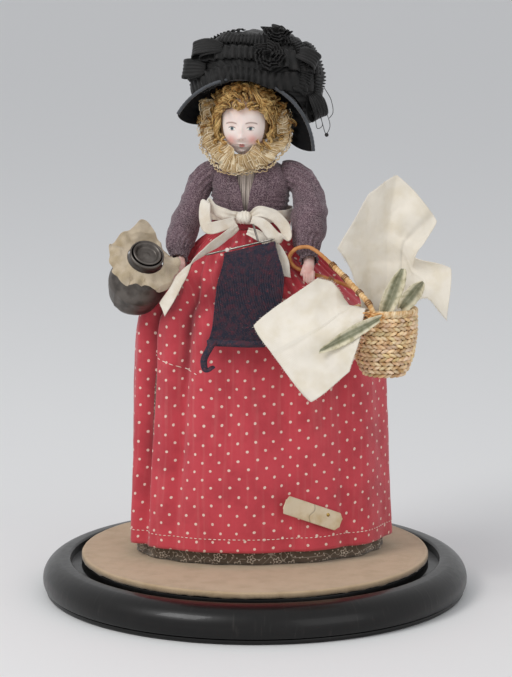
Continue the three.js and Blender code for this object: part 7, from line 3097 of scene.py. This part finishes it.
@dataclass
class Basket:
    """The straw basket on the left wrist, with two napkins and three leaves.

    Attributes:
        hang: the top of its handle.
        mouth: the middle of its mouth, from the handle's top.
        radius: its radius.
        foot: the radius of its foot.
        height: its height.
        wall: its wall.
        lanes: how many rows of straw its wall has.
        stroke: how much of a row one straw takes.
    """

    hang: Place = (32.5, -28.0, 198.6)
    mouth: Place = (44.0, -17.0, -30.1)
    radius: float = 17.0
    foot: float = 9.6
    height: float = 36.0
    wall: float = 2.0
    lanes: int = 15
    stroke: float = 3.3

    def build(self) -> None:
        """Weaves the basket and fills it."""
        self.wicker()
        self.handle()
        self.tie()
        self.upper_napkin()
        self.lower_napkin()
        self.leaf("leaf_front", (12, -42.9, -49.0), (44, -39.4, -31.5), (0.3, -0.1, 1), 10, -1.2)
        self.leaf("leaf_middle", (54, -27.5, -6.6), self.at(270, 12.6, -3), (1, 0.3, 0), 10, -1.6)
        self.leaf("leaf_side", (66, -37, -11.6), self.at(316, 12.8, 2), (0.6, 0.3, -0.5), 9, -1.6)

    def at(self, angle: float, r: float, z: float) -> np.ndarray:
        """A point by the mouth, from the handle's top."""
        a = math.radians(angle)
        return np.array(self.mouth) + np.array([r * math.cos(a), r * math.sin(a), z])

    def side(self, depth: np.ndarray) -> np.ndarray:
        """The basket's radius at a depth below its mouth.

        Args:
            depth: the depth.

        Returns:
            The radii.
        """
        r, h = self.radius, self.height
        return np.interp(
            depth,
            (0, 1, 0.35 * h, 0.7 * h, 0.92 * h, h),
            (r - 0.7, r, r, r * 0.9, self.foot + 2.6, self.foot),
        )

    def wicker(self) -> None:
        """The twined walls over a thin shell, tinted dark brown as painted shade between the straws, and the
        rolled rim.
        """
        depth = np.linspace(0.4, self.height - 0.2, 40)
        outer = [(0.0, -self.height)] + [(self.side(d) - 1.0, -d) for d in depth[::-1]]
        inner = [(self.side(d) - 2.0, -d) for d in depth[:-2]] + [(0.0, -self.height + self.wall)]
        middle = np.array(self.hang) + self.mouth
        # The shell's dark brown tint is painted shade seen between the straws.
        shell = Shape().grid(lathe(np.array(outer + inner), 96, middle), wrap=True, tint=(0.42, 0.28, 0.17))
        rng = np.random.default_rng(3)
        rows, tints = [], []
        for lane in range(self.lanes):
            d = 1.6 + (self.height - 3.0) * lane / (self.lanes - 1)
            r = float(self.side(np.array(d)))
            count = int(2 * np.pi * r / self.stroke)
            for number in range(count):
                a = 2 * np.pi * (number + 0.5 * (lane % 2)) / count + rng.normal(0, 0.012)
                lean = 0.95 if lane % 2 else -0.95
                t = np.linspace(-1, 1, 6)
                angle = a + t * 2.3 / r
                drop = d + t * lean * 1.0
                swell = float(r) - 0.75 + 0.95 * np.cos(t * 1.35) + rng.normal(0, 0.06)
                rows.append(spread(swell * np.cos(angle), swell * np.sin(angle), -drop) + middle)
                light = rng.uniform(0.72, 1.12)
                tints.append((light, light * rng.uniform(0.9, 1), light * rng.uniform(0.8, 1)))
        shell.thread(rows, 0.98 * np.array([0.45, 0.85, 1, 1, 0.85, 0.45]), 6, tints)
        rim = []
        t = np.linspace(0, 1, 500)
        for turn in range(3):
            a = 2 * np.pi * t
            b = 2 * np.pi * (t * 30 + turn / 3)
            r = self.radius - 0.6 + 0.95 * np.cos(b)
            rim.append(spread(r * np.cos(a), r * np.sin(a), 0.95 * np.sin(b) - 0.5) + middle)
        shell.thread(rim, 0.72, 6, [(1, 0.95, 0.9), (0.85, 0.75, 0.62), (1, 1, 1)])
        dress(shell.mesh("basket_straw", STRAW), "basket", "straw", "basket_body")

    def handle(self) -> None:
        """The bent straw handle, wound round where it goes down to the basket."""
        rim = self.radius + 1.5 + 0.4
        mouth = np.array(self.mouth)
        front, back = mouth + (-3, -rim, -4), mouth + (2, rim, -4)
        points = [
            front, front + (-3, 0.5, 8), (27.5, -24, -17), (14.5, -12, -7), (4.5, -3, -0.8), (0, 0, 0.4)
        ]
        points += [(-6, 1, -0.8), (-9.9, 2.8, -5.6), (-8, 4.8, -10.8), (-1.5, 6.8, -14.1), (9.5, 8, -17.6)]
        points += [(22, 9, -22), (36, 6.5, -27.5), back + (0, 0.2, 4), back]
        line = spaced(curve(points, 700), 420) + self.hang
        t = np.linspace(0, 1, 420)
        wound = 1 - smooth(t, 0.3, 0.34)
        radius = 1.05 + 0.15 * wound + 0.06 * np.cos(2 * np.pi * t * 40)
        pale, orange = np.array((0.98, 0.86, 0.68)), np.array((0.62, 0.34, 0.17))
        tint = orange + (pale - orange) * wound[:, None]
        shape = Shape()
        shape.grid(tube_rings(line, radius, 14, (0, 1, 0.2)), wrap=True, caps=True, tint=tint[:, None])
        _, side, deep = across_path(line, (0, 1, 0.2))
        part = slice(0, 132)
        windings = []
        for turn in range(2):
            a = 2 * np.pi * (t * 78 + turn / 2)
            windings.append((line + 1.3 * (side * np.cos(a)[:, None] + deep * np.sin(a)[:, None]))[part])
        shape.thread(windings, 0.42, 5, [(1.0, 0.9, 0.74), (0.86, 0.7, 0.48)])
        for at in (26, 52, 92, 124, 300):
            ring = []
            for number in range(3):
                a = np.linspace(0, 2 * np.pi, 16)
                k = at + number * 3
                ring.append(line[k] + 1.72 * (side[k] * np.cos(a)[:, None] + deep[k] * np.sin(a)[:, None]))
            shape.thread(ring, 0.26, 5, (0.3, 0.18, 0.12))
        dress(shape.mesh("basket_handle_straw", STRAW), "basket", "straw", "basket_handle")

    def tie(self) -> None:
        """The straws knotted round the handle's foot."""
        middle = np.array(self.hang) + self.mouth + (-4, -19.2, -0.6)
        rng = np.random.default_rng(17)
        lines = []
        for number in range(12):
            t = np.linspace(0, 1, 30)
            a = 2 * np.pi * t + rng.random() * 6
            tilt = rng.normal(0, 0.35)
            swing = 2.3 * np.cos(a) + 3 * (t - 0.5) * rng.normal(0, 1)
            loop = spread(swing, 1.9 * np.sin(a), 1.4 * tilt * np.cos(a))
            lines.append(loop + middle + rng.normal(0, 0.5, 3) * (1.3, 0.4, 1))
        for reach in ((-5.5, -2, 1.4), (5.6, -2, 1.0), (-3.5, -2.2, -3), (4.4, -1.6, -2.6)):
            t = row_steps(30)
            lines.append(middle + (0, -1.8, 0) + np.array(reach) * t + (0, 0, 0.8) * np.sin(3 * t))
        shades = np.array([(0.9, 0.62, 0.36), (0.7, 0.42, 0.22), (1, 0.85, 0.6)])
        tint = shades[rng.integers(0, 3, len(lines))]
        shape = Shape()
        shape.thread(lines, 0.42, 5, tint)
        dress(shape.mesh("handle_tie_straw", STRAW), "basket", "straw", "handle_tie")

    def napkin(self, node: str, rows: np.ndarray, seed: int) -> None:
        """Turns a surface into a napkin with creases and a frayed edge.

        Args:
            node: the solid that it stands for.
            rows: its surface, from the handle's top.
            seed: picks its creases.
        """
        along, across = row_steps(rows.shape[0]), column_steps(rows.shape[1])
        soft = crumple(rows, 13, seed) * 0.8 + 0.3 * crumple(rows, 5, seed + 3)
        pressed = 0.5 * bump(across, 0.48, 0.012) - 0.4 * bump(along, 0.62, 0.012) * smooth(across, 0.1, 0.4)
        free = smooth(along, 0.2, 0.45)
        rows = rows + out_of(rows) * ((soft + pressed) * free)[..., None]
        # Painted light on the creases' ridges, painted shade in their hollows and beside the pressed fold.
        shade = 0.97 + 0.07 * crumple(rows, 13, seed) - 0.1 * bump(across, 0.47, 0.012) * free
        tint = grey(shade)
        world = rows + self.hang
        made = sewn(f"{node}_calico", world[::-1], CALICO, 0.45, tint=tint[::-1])
        frayed = self.fringe(node, world, seed)
        piece = dress(made, "basket", "calico", node)

    def fringe(self, node: str, rows: np.ndarray, seed: int) -> bpy.types.Object:
        """Loose threads along the free edges.

        Args:
            node: the solid that it stands for.
            rows: the napkin's surface.
            seed: picks their bends.

        Returns:
            The piece.
        """
        rng = np.random.default_rng(seed)
        lines = []
        half = rows.shape[0] // 2
        edges = ((rows[-1], rows[-1] - rows[-3]), (rows[half:, 0], rows[half:, 0] - rows[half:, 2]))
        edges += ((rows[half:, -1], rows[half:, -1] - rows[half:, -3]),)
        for edge, way in edges:
            fine = spaced(edge, 90)
            even, own = np.linspace(0, 1, 90), np.linspace(0, 1, len(way))
            out = unit(np.stack([np.interp(even, own, way[:, k]) for k in range(3)], -1))
            for k in range(90):
                reach = rng.uniform(0.2, 0.9)
                t = row_steps(5, -0.4, 1)
                bend = rng.normal(0, 0.35, 3) * t**2
                lines.append(fine[k] + out[k] * reach * t + bend)
        shape = Shape()
        shape.thread(lines, 0.08, 3)
        return dress(shape.mesh(f"{node}_threads", CALICO), "basket", "calico")

    def upper_napkin(self) -> None:
        """The napkin that stands up behind the basket and falls over its left side."""
        angles = (168, 128, 90, 50, 20, -10, -38)
        rows = [[self.at(a, 12.9, -7) for a in angles], [self.at(a, 12.9, 2.4) for a in angles]]
        rows.append([(26, -17, -8.1), (33.5, -5, 2.4), (43.5, 2, 10.4), (54, -1, 2.4), (58, -6, -8.6)])
        rows[-1] += [(65.5, -10, -12.6), (67, -22, -22.6)]
        rows.append([(19.3, -22, 2.9), (34.4, -6, 30.4), (48.3, 3, 40), (70.5, -2, 16), (58.8, -10, -3)])
        rows[-1] += [(78.9, -12, -8.2), (77.8, -22, -34.6)]
        self.napkin("napkin_upper", surface_through(rows, 100, 180), 151)

    def lower_napkin(self) -> None:
        """The napkin that hangs down in front of the skirt."""
        angles = (188, 200, 213, 228, 243)
        rows = [[self.at(a, 12.8, -6) for a in angles], [self.at(a, 12.8, 0.6) for a in angles]]
        rows.append([self.at(a, 19, 2.2) for a in angles])
        rows.append(
            [(16, -21.5, -15.6), (8, -29.5, -29.6), (10, -36.5, -40.6), (21, -40, -45.6), (33, -40.5, -43.6)]
        )
        rows.append(
            [(8.5, -24, -13.1), (-24.5, -34, -38.1), (-12.5, -39, -54.1), (7.5, -43, -77.1), (28, -44, -60.1)]
        )
        self.napkin("napkin_lower", surface_through(rows, 120, 140), 171)

    def leaf(self, node: str, tip: Point, root: Point, side: Point, width: float, curl: float) -> None:
        """A dried leaf: three thin layers with scalloped pale edges.

        Args:
            node: the solid that it stands for.
            tip: its tip, from the handle's top.
            root: its root.
            side: the direction across it.
            width: its width.
            curl: how far its edges bend.
        """
        root, tip = np.array(root, float), np.array(tip, float)
        across = unit(np.array(side, float))
        lift = np.cross(unit(tip - root), across)
        shape = Shape()
        for layer in range(3):
            u = column_steps(26)
            v = row_steps(60)
            swell = np.sin(np.pi * np.minimum(0.08 + 0.86 * v, 1)) ** 0.7
            scallop = 1 + 0.06 * np.abs(np.sin(v * 26 + layer)) - 0.02 * layer
            place = root + (tip - root) * v[..., None] * (1 - 0.03 * layer)
            place = place + across * ((u - 0.5) * width * swell * scallop)[..., None]
            rise = curl * (u - 0.5) ** 2 * 4 + 0.5 * np.sin(9 * v + 3 * u) + (layer - 1) * 0.55
            scales = 0.25 * np.sin(v * 26 + layer) * np.abs(2 * u - 1)
            ribs = 0.12 * np.abs(np.sin((v - np.abs(u - 0.5)) * 40))
            rise = rise + scales + ribs
            rows = place + lift * rise[..., None]
            edge = smooth(np.abs(2 * u - 1), 0.3, 0.72)[..., None]
            vein = bump(u, 0.5, 0.02)[..., None]
            olive, cream = rgb("94947A"), rgb("E8DFC2")
            tint = olive + (cream - olive) * np.clip(edge * 0.95 + vein * 0.4, 0, 1)
            shape.grid(rows + self.hang, tint=tint)
        piece = thickened(shape.mesh(f"{node}_dried", LEAF), 0.25)
        dress(piece, "basket", "leaf", node)


# The stitches


def stitch_tree() -> bpy.types.NodeTree:
    """Lays short stitches along a path.

    Returns:
        The tree.
    """
    kinds = {"Path": "Geometry", "Step": "Float", "Length": "Float", "Thickness": "Float", "Seed": "Int"}
    web, given, result = grower("running stitches", {**kinds, "Thread": "Material"}, "Stitches")
    step, length, thick, seed = (web.out(given, n) for n in ("Step", "Length", "Thickness", "Seed"))
    line = web.add("GeometryNodeMeshToCurve", {"Mesh": web.out(given, "Path")})
    places = web.add("GeometryNodeResampleCurve", {"Curve": web.out(line), "Length": step}, mode="LENGTH")
    stitch = web.add("GeometryNodeMeshUVSphere", {"Segments": 8, "Rings": 6, "Radius": 0.5})
    tangent = web.out(web.add("GeometryNodeInputTangent"))
    way = web.add("FunctionNodeAlignRotationToVector", {"Vector": tangent}, axis="X")
    limits = {"Min": (0.75, 0.85, 0.85), "Max": (1.2, 1.15, 1.15), "Seed": seed}
    uneven = web.add("FunctionNodeRandomValue", limits, data_type="FLOAT_VECTOR")
    size = web.add("ShaderNodeCombineXYZ", {0: length, 1: thick, 2: thick})
    scale = web.turn("MULTIPLY", web.out(size), web.out(uneven, "Value"))
    fields = {
        "Points": web.out(places),
        "Instance": web.out(stitch, "Mesh"),
        "Rotation": web.out(way),
        "Scale": scale,
    }
    finished(web, web.out(web.add("GeometryNodeInstanceOnPoints", fields)), given, result)
    return web.tree


@dataclass
class Stitches:
    """The white running stitches of the skirt's hem and of its tacked-up fold.

    Attributes:
        hem: the height of the hem's stitches over the ground.
        step: the distance from stitch to stitch.
        length: a stitch's length.
        thickness: its thickness.
    """

    hem: float = 38.5
    step: float = 2.7
    length: float = 1.7
    thickness: float = 0.42

    def build(self) -> None:
        """Sews the hem and the fold."""
        tree = stitch_tree()
        skirt = bpy.data.objects["skirt_cloth"]
        rays = []
        for a in np.linspace(0, 2 * np.pi, 361):
            c, s = math.cos(a), math.sin(a)
            rays.append(((300 * c, 300 * s, self.hem), (-c, -s, 0)))
        self.sew(tree, skirt, "hem_stitches", rays, self.step, self.length, 1)
        rays = [((x, -300, 137.5 - 7.5 * (x + 51) / 24), (0, 1, 0)) for x in np.linspace(-51, -27, 40)]
        self.sew(tree, skirt, "tacking_stitches", rays, 4.4, 3.0, 2)

    def sew(
        self,
        tree: bpy.types.NodeTree,
        skirt: bpy.types.Object,
        name: str,
        rays: Sequence[tuple[Point, Point]],
        step: float,
        length: float,
        seed: int,
    ) -> None:
        """Lays one row of stitches on the skirt.

        Args:
            tree: the stitches' node tree.
            skirt: the cloth.
            name: the piece's name.
            rays: where to look for the cloth, as points and directions.
            step: the distance from stitch to stitch.
            length: a stitch's length.
            seed: picks their unevenness.
        """
        found = []
        for start, way in rays:
            hit, place, _, _ = skirt.ray_cast(Vector(start) * MM, Vector(way))
            if hit:
                found.append(place / MM - Vector(way) * 0.12)
        pairs = np.array([(k, k + 1) for k in range(len(found) - 1)])
        given = {"Step": step * MM, "Length": length * MM, "Thickness": self.thickness * MM, "Seed": seed}
        made = grown(tree, name, np.array(found), pairs, {**given, "Thread": THREAD.material()})
        made.shade_smooth()
        dress(shown(name, made), "doll", "calico")


def main() -> None:
    """Builds the scene, piece by piece."""
    logging.basicConfig(level=logging.INFO, format="%(message)s")
    wearing = (
        Skirts(), Stitches(), Legs(), Bodice(), RIGHT_ARM, LEFT_ARM, Head(), Wig(), Lace(), Bonnet(), Bow()
    )
    for part in (Studio(), Stand(), *wearing, Knitting(), Tag(), MilkCan(), Basket()):
        part.build()
        log.info("%s built", type(part).__name__)


if __name__ == "__main__":
    main()
